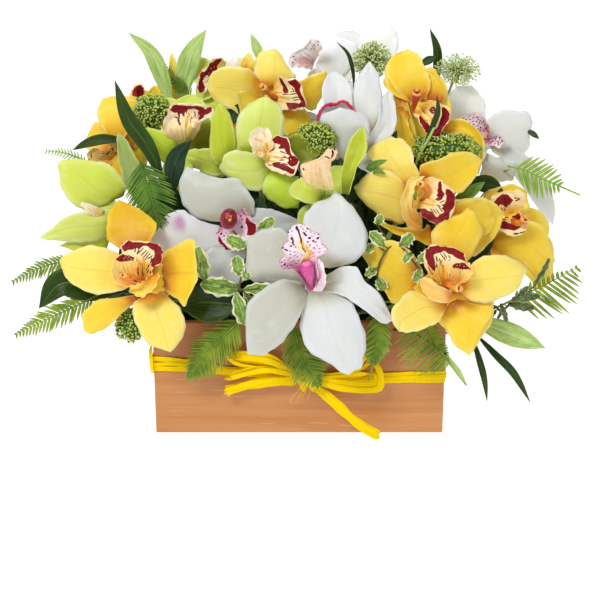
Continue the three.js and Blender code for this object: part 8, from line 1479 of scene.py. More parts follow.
    'lime_left': {'skip': [0, 1, 3, 2], 'petals': [{'L': [[-135.1, -41.5, 191.4], [-142.9, -40.6, 204.3], [-146.0, -37.9, 218.7], [-148.1, -33.0, 231.1], [-149.8, -25.9, 238.5], [-149.8, -17.0, 243.1]], 'R': [[-126.3, -41.5, 198.1], [-125.1, -40.6, 212.6], [-130.7, -37.9, 224.0], [-136.7, -33.0, 233.1], [-143.4, -25.9, 240.1], [-149.8, -17.0, 243.1]], 'M': [[-130.8, -41.0, 194.7], [-134.3, -38.7, 208.1], [-138.7, -35.0, 220.8], [-142.8, -30.1, 231.6], [-146.9, -24.0, 238.9], [-149.9, -16.5, 243.0]], 'sage': 1}, {'L': [[-158.0, -39.5, 188.9], [-169.7, -40.5, 181.6], [-180.2, -40.8, 184.2], [-189.7, -40.5, 191.7], [-195.7, -39.8, 204.0], [-197.6, -38.5, 217.8], [-193.5, -36.5, 224.1]], 'R': [[-143.8, -39.5, 194.8], [-140.8, -40.5, 203.3], [-146.1, -40.8, 213.3], [-155.6, -40.5, 221.5], [-168.5, -39.8, 224.7], [-183.3, -38.5, 225.3], [-193.5, -36.5, 224.1]], 'M': [[-150.8, -40.0, 192.0], [-155.0, -42.3, 192.9], [-162.6, -43.4, 199.4], [-172.0, -43.5, 207.3], [-181.6, -42.4, 214.9], [-190.1, -40.3, 221.9], [-193.5, -37.0, 224.2]]}, {'L': [[-147.1, -41.7, 186.9], [-160.1, -43.5, 183.9], [-174.8, -44.1, 183.2], [-189.8, -43.7, 178.9], [-203.8, -42.3, 169.3], [-215.7, -39.7, 159.3]], 'R': [[-154.8, -41.7, 161.6], [-166.2, -43.5, 158.6], [-179.4, -44.1, 157.1], [-192.7, -43.7, 156.9], [-206.1, -42.3, 158.3], [-215.7, -39.7, 159.3]], 'M': [[-150.9, -42.0, 174.3], [-162.9, -44.8, 171.6], [-176.7, -46.0, 170.7], [-190.9, -45.6, 168.5], [-204.7, -43.6, 164.2], [-215.6, -40.0, 159.4]], 'pale': 1}, {'L': [[-155.2, -38.3, 164.1], [-166.4, -41.3, 163.2], [-177.9, -42.0, 161.6], [-190.0, -40.3, 156.9], [-200.2, -36.3, 151.6]], 'R': [[-160.9, -38.3, 147.0], [-168.9, -41.3, 144.3], [-178.7, -42.0, 146.3], [-190.4, -40.3, 150.1], [-200.2, -36.3, 151.6]], 'M': [[-158.1, -38.0, 155.5], [-167.9, -39.8, 153.4], [-178.6, -40.0, 153.4], [-190.5, -38.8, 153.1], [-200.2, -36.0, 151.6]]}, {'L': [[-175.0, -39.2, 194.7], [-165.5, -41.7, 197.7], [-156.6, -41.7, 195.2], [-148.2, -39.2, 188.0]], 'R': [[-174.1, -39.2, 179.6], [-165.6, -41.7, 178.5], [-155.7, -41.7, 179.3], [-148.2, -39.2, 188.0]], 'M': [[-174.6, -39.0, 187.1], [-165.7, -40.8, 187.9], [-156.3, -40.8, 187.1], [-148.3, -39.0, 188.0]], 'look': 'GP'}], 'lips': [{'kind': 'side', 'L': [[-160.0, -44.0, 184.1], [-164.6, -45.5, 186.9], [-170.8, -46.5, 189.6], [-176.3, -47.0, 191.4], [-178.9, -47.0, 189.7]], 'R': [[-162.7, -44.0, 179.0], [-167.4, -45.5, 179.4], [-172.0, -46.5, 181.3], [-175.8, -47.0, 185.6], [-178.9, -47.0, 189.7]], 'M': [[-161.2, -45.0, 181.8], [-165.8, -46.5, 183.4], [-171.2, -47.5, 185.7], [-175.9, -47.8, 188.7], [-178.9, -47.0, 189.7]]}], 'col': 'none'},
    'lime_upper_left': {'skip': [0, 1, 2], 'petals': [{'L': [[-100.6, -15.7, 229.8], [-104.5, -16.3, 236.6], [-111.8, -15.6, 243.2], [-120.2, -14.0, 246.3], [-126.9, -11.4, 245.4], [-131.5, -7.6, 241.9]], 'R': [[-103.3, -15.7, 221.4], [-109.3, -16.3, 217.0], [-117.5, -15.6, 221.4], [-124.2, -14.0, 226.2], [-129.6, -11.4, 234.1], [-131.5, -7.6, 241.9]], 'M': [[-101.9, -16.0, 225.7], [-106.7, -17.6, 227.1], [-114.5, -17.6, 232.7], [-122.0, -15.9, 236.6], [-128.1, -12.7, 240.0], [-131.4, -7.9, 242.0]]}, {'L': [[-106.8, -16.5, 243.4], [-114.6, -14.8, 251.4], [-112.1, -11.5, 259.2], [-104.9, -6.4, 266.8], [-96.7, 0.6, 270.8], [-88.2, 9.1, 271.4]], 'R': [[-84.8, -16.5, 256.6], [-76.2, -14.8, 263.0], [-77.4, -11.5, 265.8], [-80.0, -6.4, 268.4], [-83.4, 0.6, 270.2], [-88.2, 9.1, 271.4]], 'M': [[-95.8, -16.0, 249.9], [-95.6, -12.8, 256.9], [-95.0, -8.6, 262.1], [-92.7, -3.5, 267.2], [-90.2, 2.6, 270.2], [-88.3, 9.6, 271.3]]}, {'L': [[-92.2, -16.3, 229.9], [-82.8, -20.4, 226.0], [-74.3, -23.1, 225.3], [-67.1, -24.3, 223.0], [-62.8, -23.9, 217.6], [-61.9, -22.1, 207.8]], 'R': [[-92.4, -16.3, 221.5], [-85.5, -20.4, 216.4], [-77.9, -23.1, 213.5], [-71.2, -24.3, 211.2], [-65.5, -23.9, 208.6], [-61.9, -22.1, 207.8]], 'M': [[-92.3, -16.0, 225.7], [-84.3, -19.1, 220.9], [-76.2, -21.2, 219.1], [-69.3, -22.4, 216.8], [-64.2, -22.6, 212.8], [-61.9, -21.8, 207.7]]}, {'L': [[-101.9, -22.5, 224.0], [-108.2, -27.0, 219.0], [-115.9, -30.5, 223.8], [-123.5, -33.3, 231.7], [-127.8, -35.4, 240.3], [-128.7, -36.5, 247.0]], 'R': [[-100.0, -22.5, 233.1], [-103.4, -27.0, 242.2], [-110.3, -30.5, 246.8], [-118.0, -33.3, 249.3], [-124.2, -35.4, 250.5], [-128.7, -36.5, 247.0]], 'M': [[-100.9, -23.0, 228.6], [-105.6, -29.0, 231.0], [-112.7, -33.4, 235.8], [-120.4, -36.2, 241.0], [-125.8, -37.4, 245.7], [-128.6, -37.0, 247.1]], 'look': 'GB'}, {'L': [[-90.8, -17.2, 224.7], [-82.2, -21.0, 225.4], [-73.8, -23.0, 224.1], [-67.3, -23.0, 219.1], [-63.5, -21.2, 206.9]], 'R': [[-92.7, -17.2, 214.6], [-84.9, -21.0, 213.6], [-77.4, -23.0, 210.7], [-70.0, -23.0, 207.3], [-63.5, -21.2, 206.9]], 'M': [[-91.8, -17.0, 219.6], [-83.6, -20.2, 219.4], [-75.7, -22.0, 217.2], [-68.7, -22.2, 213.0], [-63.5, -21.0, 206.9]]}, {'L': [[-82.2, -12.3, 251.4], [-74.6, -14.3, 254.2], [-69.8, -14.5, 243.4], [-71.0, -12.8, 231.4], [-77.4, -9.3, 218.2]], 'R': [[-88.2, -12.3, 244.7], [-91.5, -14.3, 236.7], [-90.1, -14.5, 228.4], [-84.5, -12.8, 222.2], [-77.4, -9.3, 218.2]], 'M': [[-85.2, -12.0, 248.0], [-83.2, -12.8, 245.2], [-80.1, -12.5, 235.6], [-77.9, -11.2, 226.5], [-77.4, -9.0, 218.1]], 'look': 'GO'}], 'lips': [{'kind': 'lip', 'L': [[-99.5, -19.0, 232.5], [-106.0, -27.0, 238.0], [-109.9, -34.0, 246.6], [-110.1, -37.0, 255.2], [-105.8, -38.0, 261.8], [-104.4, -38.0, 267.4], [-100.0, -37.0, 270.5], [-85.6, -36.0, 269.5]], 'R': [[-91.2, -19.0, 235.8], [-83.7, -27.0, 243.8], [-79.7, -34.0, 252.3], [-74.5, -37.0, 258.0], [-68.7, -38.0, 260.2], [-69.0, -38.0, 265.4], [-73.5, -37.0, 267.7], [-85.6, -36.0, 269.5]], 'M': [[-95.3, -19.0, 234.2], [-94.7, -29.0, 241.3], [-94.8, -34.0, 249.4], [-92.8, -32.0, 255.8], [-88.0, -29.0, 259.6], [-87.3, -31.0, 265.4], [-86.8, -36.0, 268.9], [-85.5, -37.0, 269.7]], 'areas': {'red': [[[0.65, -0.917], [0.745, -0.917], [0.84, -0.867], [0.815, -0.55], [0.78, -0.217], [0.82, 0.033], [0.905, 0.517], [0.765, 0.55], [0.7, 0.65], [0.785, 0.867], [0.77, 1.0], [0.665, 0.9], [0.61, 0.717], [0.575, 0.567], [0.46, 0.75], [0.39, 0.8], [0.42, 0.633], [0.555, 0.417], [0.61, 0.283], [0.67, 0.333], [0.715, 0.167], [0.695, -0.067], [0.68, -0.183], [0.62, -0.2], [0.645, -0.3], [0.585, -0.317], [0.55, -0.367], [0.625, -0.467], [0.55, -0.5], [0.61, -0.633], [0.595, -0.717], [0.605, -0.8]]]}, 'strips': [['r', 0.6, [0.62, -0.633], [0.455, -0.317]], ['r', 0.86, [0.48, -0.4], [0.34, -0.117]], ['r', 0.6, [0.625, -0.417], [0.515, -0.233]], ['r', 0.43, [0.45, 0.283], [0.665, 0.1]], ['r', 0.43, [0.48, 0.35], [0.67, 0.283]], ['r', 0.34, [0.36, 0.367], [0.515, 0.133]], ['r', 0.47, [0.415, 0.55], [0.625, 0.35]], ['r', 0.6, [0.525, -0.633], [0.48, -0.4]], ['r', 0.43, [0.69, -0.25], [0.6, -0.217]], ['r', 0.43, [0.38, 0.733], [0.515, 0.533]], ['r', 0.43, [0.425, 0.783], [0.585, 0.55]], ['k', 1.2, [0.63, -0.167], [0.435, 0.083], [0.285, 0.183]], ['p', 1.12, [0.33, -0.65], [0.22, -0.583], [0.11, -0.567]]]}], 'col': {'p': [[-91.3, -26.0, 240.3], [-88.8, -34.0, 247.4], [-85.9, -38.0, 251.7], [-83.6, -40.0, 253.6]], 'r': 0.6}},
    'lime_centre': {'skip': [1, 0, 2, 3, 4], 'petals': [{'L': [[-56.0, -47.7, 216.3], [-68.7, -49.1, 224.8], [-72.5, -49.3, 236.2], [-71.4, -48.5, 250.5], [-69.7, -46.7, 262.3], [-64.9, -43.7, 271.4]], 'R': [[-49.5, -47.7, 224.5], [-50.0, -49.1, 236.1], [-51.4, -49.3, 248.3], [-54.5, -48.5, 260.2], [-58.4, -46.7, 267.9], [-64.9, -43.7, 271.4]], 'M': [[-52.7, -48.0, 220.5], [-59.3, -50.4, 230.7], [-61.8, -51.2, 242.6], [-62.8, -50.4, 255.7], [-64.0, -48.0, 265.3], [-64.9, -44.0, 271.5]], 'look': 'GD'}, {'L': [[-47.8, -47.5, 229.4], [-53.3, -45.9, 240.4], [-50.8, -44.0, 253.9], [-45.9, -42.0, 265.6], [-37.9, -39.9, 273.3], [-28.3, -37.5, 275.4]], 'R': [[-21.9, -47.5, 237.5], [-14.7, -45.9, 243.7], [-12.3, -44.0, 254.7], [-13.1, -42.0, 264.8], [-19.5, -39.9, 272.5], [-28.3, -37.5, 275.4]], 'M': [[-34.8, -48.0, 233.5], [-33.9, -47.9, 242.4], [-31.4, -46.9, 254.7], [-29.4, -44.9, 265.6], [-28.6, -41.9, 273.2], [-28.3, -38.0, 275.4]], 'look': 'GP'}, {'L': [[-23.5, -53.3, 230.4], [-38.4, -58.6, 234.6], [-49.4, -61.5, 235.9], [-58.2, -61.9, 233.6], [-61.6, -59.8, 227.6], [-64.4, -55.3, 221.1]], 'R': [[-23.6, -53.3, 214.2], [-28.3, -58.6, 205.4], [-37.9, -61.5, 203.6], [-49.0, -61.9, 208.6], [-57.8, -59.8, 214.6], [-64.4, -55.3, 221.1]], 'M': [[-23.5, -53.0, 222.3], [-33.5, -57.2, 219.8], [-43.8, -59.6, 219.5], [-53.7, -60.0, 220.8], [-59.8, -58.4, 220.9], [-64.4, -55.0, 221.0]], 'pale': 1, 'look': 'GP'}, {'L': [[-25.2, -51.5, 222.0], [-28.3, -55.7, 213.8], [-30.0, -58.2, 203.7], [-24.4, -59.4, 195.8], [-12.3, -59.3, 190.0], [1.4, -57.5, 188.8]], 'R': [[-5.9, -51.5, 213.8], [3.8, -55.7, 209.8], [12.6, -58.2, 207.0], [19.8, -59.4, 204.0], [15.9, -59.3, 195.8], [1.4, -57.5, 188.8]], 'M': [[-15.5, -52.0, 218.0], [-12.3, -57.7, 212.2], [-8.6, -61.1, 206.0], [-2.2, -62.3, 200.5], [1.8, -61.3, 193.3], [1.4, -58.0, 188.9]], 'look': 'GB'}, {'L': [[-59.5, -44.3, 214.0], [-71.5, -46.8, 212.9], [-81.9, -47.0, 219.5], [-91.6, -44.8, 225.6], [-96.8, -40.3, 228.9]], 'R': [[-60.9, -44.3, 229.6], [-71.9, -46.8, 234.9], [-81.5, -47.0, 235.0], [-89.8, -44.8, 232.1], [-96.8, -40.3, 228.9]], 'M': [[-60.2, -44.0, 221.8], [-71.8, -45.2, 223.6], [-81.9, -45.0, 226.9], [-90.9, -43.2, 228.6], [-96.8, -40.0, 228.8]]}, {'L': [[-12.3, -49.3, 242.6], [-4.2, -53.0, 248.1], [3.8, -54.5, 245.1], [11.0, -53.5, 237.7], [16.6, -50.3, 231.5]], 'R': [[-7.5, -49.3, 228.1], [-0.2, -53.0, 223.9], [7.0, -54.5, 225.8], [12.6, -53.5, 228.8], [16.6, -50.3, 231.5]], 'M': [[-9.9, -49.0, 235.3], [-2.2, -51.5, 235.8], [5.4, -52.5, 235.1], [11.8, -52.0, 233.0], [16.6, -50.0, 231.4]], 'look': 'GO'}], 'lips': [{'kind': 'side', 'L': [[-26.6, -58.0, 228.1], [-33.5, -63.0, 232.2], [-36.9, -66.0, 237.5], [-39.2, -67.0, 244.8], [-37.1, -67.0, 252.0], [-32.4, -66.0, 255.7]], 'R': [[-21.8, -58.0, 231.3], [-19.6, -63.0, 237.8], [-20.7, -66.0, 244.7], [-22.2, -67.0, 251.2], [-26.9, -67.0, 254.7], [-32.4, -66.0, 255.7]], 'M': [[-24.3, -54.0, 228.9], [-26.7, -57.0, 233.9], [-29.0, -60.0, 240.1], [-30.8, -62.0, 247.2], [-32.1, -64.0, 252.8], [-32.4, -65.0, 255.6]], 'tone': 'pale', 'strips': [['p', 1.12, [0.64, -0.667], [0.55, -0.25], [0.49, 0.133]], ['p', 0.77, [0.74, 0.383], [0.525, 0.45]], ['k', 1.2, [0.445, 0.367], [0.24, 0.3]], ['k', 0.6, [0.345, -0.55], [0.24, -0.233]]]}, {'kind': 'lip', 'L': [[-27.3, -58.0, 229.7], [-27.3, -62.0, 225.6], [-23.2, -66.0, 221.9], [-16.8, -69.0, 220.1], [-10.5, -70.0, 218.3], [-4.2, -70.0, 217.9], [0.2, -70.0, 229.5]], 'R': [[-24.9, -58.0, 234.5], [-22.4, -62.0, 242.4], [-19.5, -66.0, 248.4], [-12.8, -69.0, 248.9], [-7.7, -70.0, 244.6], [-5.7, -70.0, 237.4], [0.2, -70.0, 229.5]], 'M': [[-26.2, -54.0, 231.4], [-24.9, -58.0, 233.3], [-21.4, -62.0, 234.5], [-14.9, -65.0, 233.8], [-9.1, -68.0, 231.1], [-5.0, -70.0, 227.7], [0.2, -70.0, 229.5]], 'areas': {'red': [[[0.27, 0.917], [0.37, 0.967], [0.46, 0.983], [0.575, 0.933], [0.66, 0.867], [0.715, 0.7], [0.775, 0.633], [0.88, 0.767], [0.955, 1.0], [0.99, 0.867], [0.92, -0.317], [0.83, -0.267], [0.74, -0.333], [0.66, -0.283], [0.705, -0.017], [0.66, 0.017], [0.73, 0.3], [0.635, 0.217], [0.605, 0.333], [0.58, 0.433], [0.475, 0.283], [0.435, 0.333], [0.485, 0.517], [0.425, 0.55], [0.37, 0.55], [0.305, 0.717]], [[0.35, -0.617], [0.435, -0.467], [0.535, -0.417], [0.62, -0.45], [0.77, -0.417], [0.875, -0.6], [0.825, -0.9], [0.7, -0.817], [0.575, -0.783], [0.47, -0.8], [0.39, -0.767]]]}, 'strips': [['r', 0.95, [0.27, 0.067], [0.34, 0.167], [0.385, 0.383]], ['r', 0.47, [0.485, 0.167], [0.625, 0.2]], ['r', 0.43, [0.54, -0.1], [0.66, 0.017]], ['r', 0.43, [0.49, -0.35], [0.6, -0.183]], ['r', 0.52, [0.575, 0.033], [0.675, 0.0]], ['r', 0.6, [0.27, -0.85], [0.365, -0.7]], ['r', 0.52, [0.575, -0.4], [0.69, -0.367]], ['k', 0.86, [0.215, -0.3], [0.42, -0.2], [0.585, -0.183]], ['k', 0.69, [0.245, -0.583], [0.43, -0.417]]], 'dots': [['c', 0.43, 0.535, -0.467], ['c', 0.52, 0.77, 0.2]]}], 'col': {'p': [[-23.4, -57.0, 229.5], [-26.4, -63.0, 231.8], [-29.5, -66.0, 233.5], [-31.4, -67.0, 234.5]], 'r': 0.7}},
    'lime_centre_right': {'skip': [0], 'petals': [{'L': [[33.2, -73.6, 204.0], [32.6, -71.3, 215.8], [35.0, -67.2, 229.5], [39.6, -60.9, 241.3], [46.3, -52.5, 249.9], [51.9, -42.3, 253.2]], 'R': [[39.6, -73.6, 203.3], [44.8, -71.3, 218.7], [50.5, -67.2, 232.3], [52.8, -60.9, 239.8], [52.7, -52.5, 247.0], [51.9, -42.3, 253.2]], 'M': [[36.4, -73.0, 203.5], [38.8, -68.7, 216.8], [42.9, -63.4, 230.2], [46.4, -57.1, 239.9], [49.6, -49.9, 248.1], [52.0, -41.7, 253.1]], 'look': 'GD'}], 'lips': [{'kind': 'lip', 'L': [[17.9, -78.0, 207.9], [10.0, -84.0, 211.6], [4.5, -88.0, 216.3], [2.1, -91.0, 223.2], [0.6, -93.0, 229.9], [6.7, -95.0, 233.8], [14.4, -96.0, 236.3], [24.3, -96.0, 245.5]], 'R': [[27.3, -78.0, 207.9], [26.6, -84.0, 215.7], [24.4, -88.0, 223.9], [24.2, -91.0, 230.2], [26.2, -93.0, 234.4], [28.4, -95.0, 238.0], [28.9, -96.0, 242.1], [24.3, -96.0, 245.5]], 'M': [[22.6, -78.0, 207.9], [18.2, -86.0, 214.1], [14.4, -91.0, 220.7], [13.1, -94.0, 227.3], [13.4, -95.0, 232.5], [17.6, -96.0, 236.1], [21.6, -96.0, 239.2], [24.3, -95.0, 245.4]], 'outside': 1, 'strips': [['d', 0.77, [0.98, -0.95], [0.965, 1.0], [0.885, 0.883]], ['d', 0.77, [0.925, 0.5], [0.845, 0.583], [0.67, 0.733]], ['d', 0.52, [0.845, -0.2], [0.655, 0.733]], ['d', 0.6, [0.705, -0.133], [0.795, 0.067]], ['d', 0.6, [0.52, -0.817], [0.475, -0.767]], ['p', 1.38, [0.525, -0.317], [0.36, -0.35], [0.205, -0.7]], ['p', 1.63, [0.545, 0.05], [0.35, 0.167], [0.195, -0.067]], ['c', 2.06, [0.535, 0.483], [0.31, 0.583], [0.125, 0.467]], ['c', 1.03, [0.42, 0.883], [0.205, 0.9], [0.075, 0.917]]]}], 'col': 'none'},
    'white_front': {'skip': [0, 1, 2, 3, 4], 'petals': [{'L': [[9.9, -108.5, 154.3], [5.2, -104.3, 175.6], [3.4, -99.3, 188.7], [7.6, -93.5, 196.5], [16.2, -87.0, 201.4], [22.6, -79.8, 203.1], [28.3, -71.7, 206.2]], 'R': [[23.9, -108.5, 152.7], [41.1, -104.3, 155.1], [51.3, -99.3, 165.5], [52.9, -93.5, 176.1], [46.0, -87.0, 192.6], [37.2, -79.8, 200.7], [28.3, -71.7, 206.2]], 'M': [[16.9, -109.0, 153.6], [23.1, -106.1, 165.9], [27.2, -101.8, 177.8], [30.1, -96.4, 187.0], [31.0, -89.6, 197.6], [29.8, -81.5, 202.2], [28.3, -72.2, 206.3]]}, {'L': [[2.4, -108.5, 140.3], [-12.8, -115.2, 145.8], [-28.1, -119.9, 138.7], [-38.9, -123.0, 129.2], [-42.3, -124.4, 108.4], [-40.4, -123.8, 87.1]], 'R': [[7.1, -108.5, 131.3], [1.8, -115.2, 118.6], [-6.2, -119.9, 105.3], [-16.1, -123.0, 93.1], [-27.3, -124.4, 86.3], [-40.4, -123.8, 87.1]], 'M': [[4.8, -109.0, 135.9], [-5.5, -117.2, 132.8], [-17.1, -122.8, 123.0], [-27.5, -125.9, 112.2], [-34.7, -126.4, 98.1], [-40.3, -124.3, 87.3]], 'look': 'WG'}, {'L': [[19.6, -109.3, 146.2], [33.4, -114.1, 155.6], [42.9, -116.9, 155.6], [49.2, -117.5, 145.3], [61.9, -115.9, 134.3], [73.2, -112.3, 111.1]], 'R': [[19.7, -109.3, 134.0], [32.4, -114.1, 132.1], [44.8, -116.9, 125.3], [55.8, -117.5, 117.3], [67.1, -115.9, 109.3], [73.2, -112.3, 111.1]], 'M': [[19.6, -109.0, 140.0], [32.9, -112.8, 143.5], [43.9, -115.0, 140.0], [52.6, -115.6, 130.8], [64.5, -114.6, 121.4], [73.3, -112.0, 111.0]]}, {'L': [[5.2, -108.5, 139.7], [1.4, -111.2, 119.3], [1.4, -113.0, 101.8], [7.3, -114.0, 86.7], [18.7, -114.3, 78.1], [29.6, -113.9, 69.8], [39.5, -112.5, 66.0]], 'R': [[22.4, -108.5, 138.1], [39.6, -111.2, 125.9], [46.3, -113.0, 115.0], [52.4, -114.0, 97.1], [51.9, -114.3, 81.4], [48.1, -113.9, 70.8], [39.5, -112.5, 66.0]], 'M': [[13.8, -109.0, 139.1], [20.5, -113.0, 123.2], [23.8, -115.7, 109.3], [29.8, -117.0, 93.0], [35.2, -117.0, 80.7], [38.8, -115.7, 71.0], [39.5, -113.0, 66.2]]}, {'L': [[5.3, -105.5, 135.6], [-8.8, -106.3, 139.1], [-26.0, -106.4, 139.9], [-38.5, -106.0, 142.2], [-41.5, -105.1, 153.3], [-41.4, -103.7, 165.8], [-41.4, -101.5, 170.9]], 'R': [[-1.0, -105.5, 156.7], [-5.6, -106.3, 174.5], [-14.8, -106.4, 184.1], [-24.1, -106.0, 184.0], [-33.4, -105.1, 181.4], [-38.9, -103.7, 176.2], [-41.4, -101.5, 170.9]], 'M': [[2.1, -106.0, 146.3], [-7.2, -108.1, 157.4], [-20.3, -109.1, 162.9], [-31.1, -109.0, 164.0], [-37.3, -107.8, 168.1], [-40.1, -105.4, 171.5], [-41.4, -102.0, 171.0]], 'look': 'WG'}], 'lips': [{'kind': 'lip', 'L': [[6.8, -116.0, 135.4], [2.9, -124.0, 147.4], [-1.7, -129.0, 155.6], [-7.0, -131.0, 157.7], [-13.8, -132.0, 158.8], [-15.7, -133.0, 163.0], [-13.7, -134.0, 167.9], [-10.0, -135.0, 170.2], [-14.1, -135.0, 174.0], [-11.4, -136.0, 178.9], [-8.4, -136.0, 182.0], [-8.8, -136.0, 188.2], [-6.9, -135.0, 192.2], [-0.2, -135.0, 194.1]], 'R': [[10.6, -116.0, 137.1], [14.5, -124.0, 146.0], [16.1, -129.0, 154.1], [14.6, -131.0, 160.6], [13.6, -132.0, 165.4], [15.5, -133.0, 168.3], [19.7, -134.0, 171.4], [21.5, -135.0, 175.2], [19.0, -135.0, 178.1], [16.5, -136.0, 181.6], [15.7, -136.0, 186.2], [10.6, -136.0, 189.2], [6.5, -135.0, 191.8], [-0.2, -135.0, 194.1]], 'M': [[8.7, -111.0, 134.8], [8.8, -115.0, 144.1], [7.3, -119.0, 152.0], [3.9, -122.0, 156.7], [-0.1, -124.0, 159.9], [-0.1, -126.0, 163.7], [3.0, -128.0, 168.1], [5.8, -131.0, 171.6], [2.5, -133.0, 175.6], [2.5, -135.0, 180.0], [3.6, -137.0, 184.4], [0.9, -138.0, 189.2], [-0.2, -137.0, 192.5], [-0.2, -136.0, 194.3]], 'areas': {'cream': [[[0.84, -0.2], [0.745, -0.467], [0.585, -0.283], [0.42, 0.017], [0.3, 0.15], [0.27, 0.6], [0.41, 0.55], [0.58, 0.15], [0.725, 0.033], [0.825, -0.033]]], 'rimline': [[]]}, 'dots': [['d', 0.86, 0.845, -0.95], ['d', 0.69, 0.895, -0.85], ['d', 0.52, 0.855, -0.65], ['d', 0.6, 0.81, -1.0], ['d', 1.2, 0.78, -0.75], ['d', 0.95, 0.72, -0.583], ['d', 0.69, 0.675, -0.433], ['d', 0.95, 0.655, -0.55], ['d', 0.69, 0.64, -0.317], ['d', 0.86, 0.64, -0.9], ['d', 0.6, 0.585, -1.0], ['d', 1.29, 0.605, -0.767], ['d', 0.69, 0.585, -0.65], ['d', 0.77, 0.535, -0.783], ['d', 0.69, 0.565, -0.533], ['d', 0.86, 0.475, -0.417], ['d', 0.6, 0.45, -0.233], ['d', 0.77, 0.4, -0.083], ['d', 0.77, 0.385, -0.267], ['d', 0.69, 0.355, -0.133], ['d', 0.69, 0.44, -0.55], ['d', 0.6, 0.37, -0.383], ['d', 0.52, 0.415, -0.583], ['d', 1.2, 0.365, -0.733], ['d', 0.69, 0.4, -0.883], ['d', 0.6, 0.345, -0.9], ['d', 0.69, 0.325, -0.617], ['d', 0.77, 0.325, -0.417], ['d', 0.69, 0.255, -0.567], ['d', 0.52, 0.275, -0.733], ['d', 0.86, 0.275, -0.217], ['d', 0.52, 0.42, -0.783], ['d', 0.52, 0.56, -0.417], ['d', 0.52, 0.5, -0.167], ['d', 0.43, 0.62, -0.183], ['d', 1.12, 0.82, 0.183], ['d', 1.2, 0.795, 0.167], ['d', 1.2, 0.75, 0.333], ['d', 1.03, 0.705, 0.567], ['d', 0.86, 0.685, 0.667], ['d', 1.12, 0.73, 0.833], ['d', 0.86, 0.695, 0.283], ['d', 0.77, 0.645, 0.367], ['d', 0.86, 0.885, 0.7], ['d', 0.6, 0.825, 0.65], ['d', 0.6, 0.79, 0.75], ['d', 0.52, 0.775, 0.917], ['d', 0.95, 0.585, 0.45], ['d', 0.6, 0.62, 0.667], ['d', 0.69, 0.56, 0.633], ['d', 0.77, 0.49, 0.667], ['d', 0.43, 0.615, 0.883], ['d', 0.43, 0.57, 0.867], ['d', 0.6, 0.5, 0.9], ['d', 0.6, 0.445, 0.933], ['d', 0.95, 0.495, 0.35], ['d', 0.77, 0.415, 0.65], ['d', 0.69, 0.37, 0.933], ['d', 0.6, 0.395, 1.0], ['d', 0.52, 0.61, 0.283], ['d', 0.43, 0.56, 0.233], ['d', 0.52, 0.28, 0.95], ['d', 0.52, 0.24, 1.0], ['d', 0.43, 0.22, 0.8], ['d', 0.43, 0.175, 0.75], ['d', 0.43, 0.135, 0.8], ['d', 0.52, 0.1, 0.75], ['d', 0.52, 0.105, -1.0], ['d', 0.52, 0.075, -1.0], ['d', 0.52, 0.045, -1.0], ['d', 0.52, 0.15, -0.817], ['d', 0.43, 0.165, -1.0], ['d', 0.43, 0.805, -0.717], ['d', 0.52, 0.88, 0.3], ['d', 0.52, 0.92, 0.217], ['d', 0.43, 0.845, 0.417], ['d', 0.52, 0.77, 0.5], ['d', 0.34, 0.885, 1.0], ['d', 0.43, 0.465, -0.783], ['d', 0.52, 0.35, -0.483], ['d', 0.43, 0.3, -0.817], ['d', 0.43, 0.335, -0.283], ['d', 0.34, 0.455, -0.9], ['d', 0.34, 0.395, -0.75], ['d', 0.34, 0.37, -0.533]], 'strips': [['d', 0.69, [0.95, -0.25], [0.865, -0.117], [0.78, -0.233], [0.65, 0.017], [0.53, -0.083]], ['d', 1.12, [0.935, -0.283], [0.86, -0.2]], ['d', 0.77, [0.785, -0.75], [0.67, -0.467]], ['k', 1.12, [0.73, -0.067], [0.6, 0.083], [0.44, 0.183]], ['k', 0.86, [0.675, 0.233], [0.565, 0.117], [0.42, 0.367]], ['y', 1.55, [0.42, 0.15], [0.325, 0.317]], ['y', 1.55, [0.415, 0.4], [0.31, 0.55]], ['m', 0.3, [0.79, -1.0], [0.855, -1.0], [0.925, -0.967]], ['m', 0.34, [0.615, -0.983], [0.685, -0.983], [0.76, -0.983]], ['m', 0.3, [0.385, -0.983], [0.455, -0.983], [0.525, -0.983]], ['m', 0.3, [0.67, 0.95], [0.58, 0.983], [0.505, 1.0]], ['m', 0.3, [0.75, 1.0], [0.83, 0.967], [0.91, 0.9]], ['m', 0.34, [0.31, -0.933], [0.24, -0.933], [0.155, -1.0], [0.075, -1.0], [0.015, -0.9]]]}, {'kind': 'side', 'L': [[10.7, -115.0, 136.0], [12.9, -121.0, 143.4], [13.2, -127.0, 152.3], [12.3, -130.0, 159.4], [12.7, -131.0, 163.6], [14.9, -131.0, 166.4]], 'R': [[17.6, -115.0, 136.0], [20.6, -121.0, 143.4], [20.4, -127.0, 151.5], [18.8, -130.0, 158.6], [17.2, -131.0, 163.6], [14.9, -131.0, 166.4]], 'M': [[14.2, -114.0, 135.7], [16.8, -119.0, 142.8], [16.8, -124.0, 151.0], [15.6, -128.0, 158.5], [15.0, -130.0, 163.3], [14.9, -131.0, 166.4]], 'tone': 'white', 'strips': [['m', 0.34, [0.09, -0.7], [0.29, -0.9], [0.52, -0.967], [0.8, -0.917]]], 'dots': [['m', 0.43, 0.68, -0.1], ['m', 0.34, 0.555, -0.017], ['m', 0.43, 0.435, -0.217], ['m', 0.34, 0.315, -0.3], ['m', 0.43, 0.2, -0.417], ['m', 0.26, 0.51, 0.333], ['m', 0.34, 0.8, 0.667]]}], 'col': {'p': [[9.5, -118.0, 138.5], [8.2, -123.0, 146.3], [6.7, -128.0, 154.9], [5.5, -131.0, 162.0]], 'r': 1.18, 'key': 'pink'}},
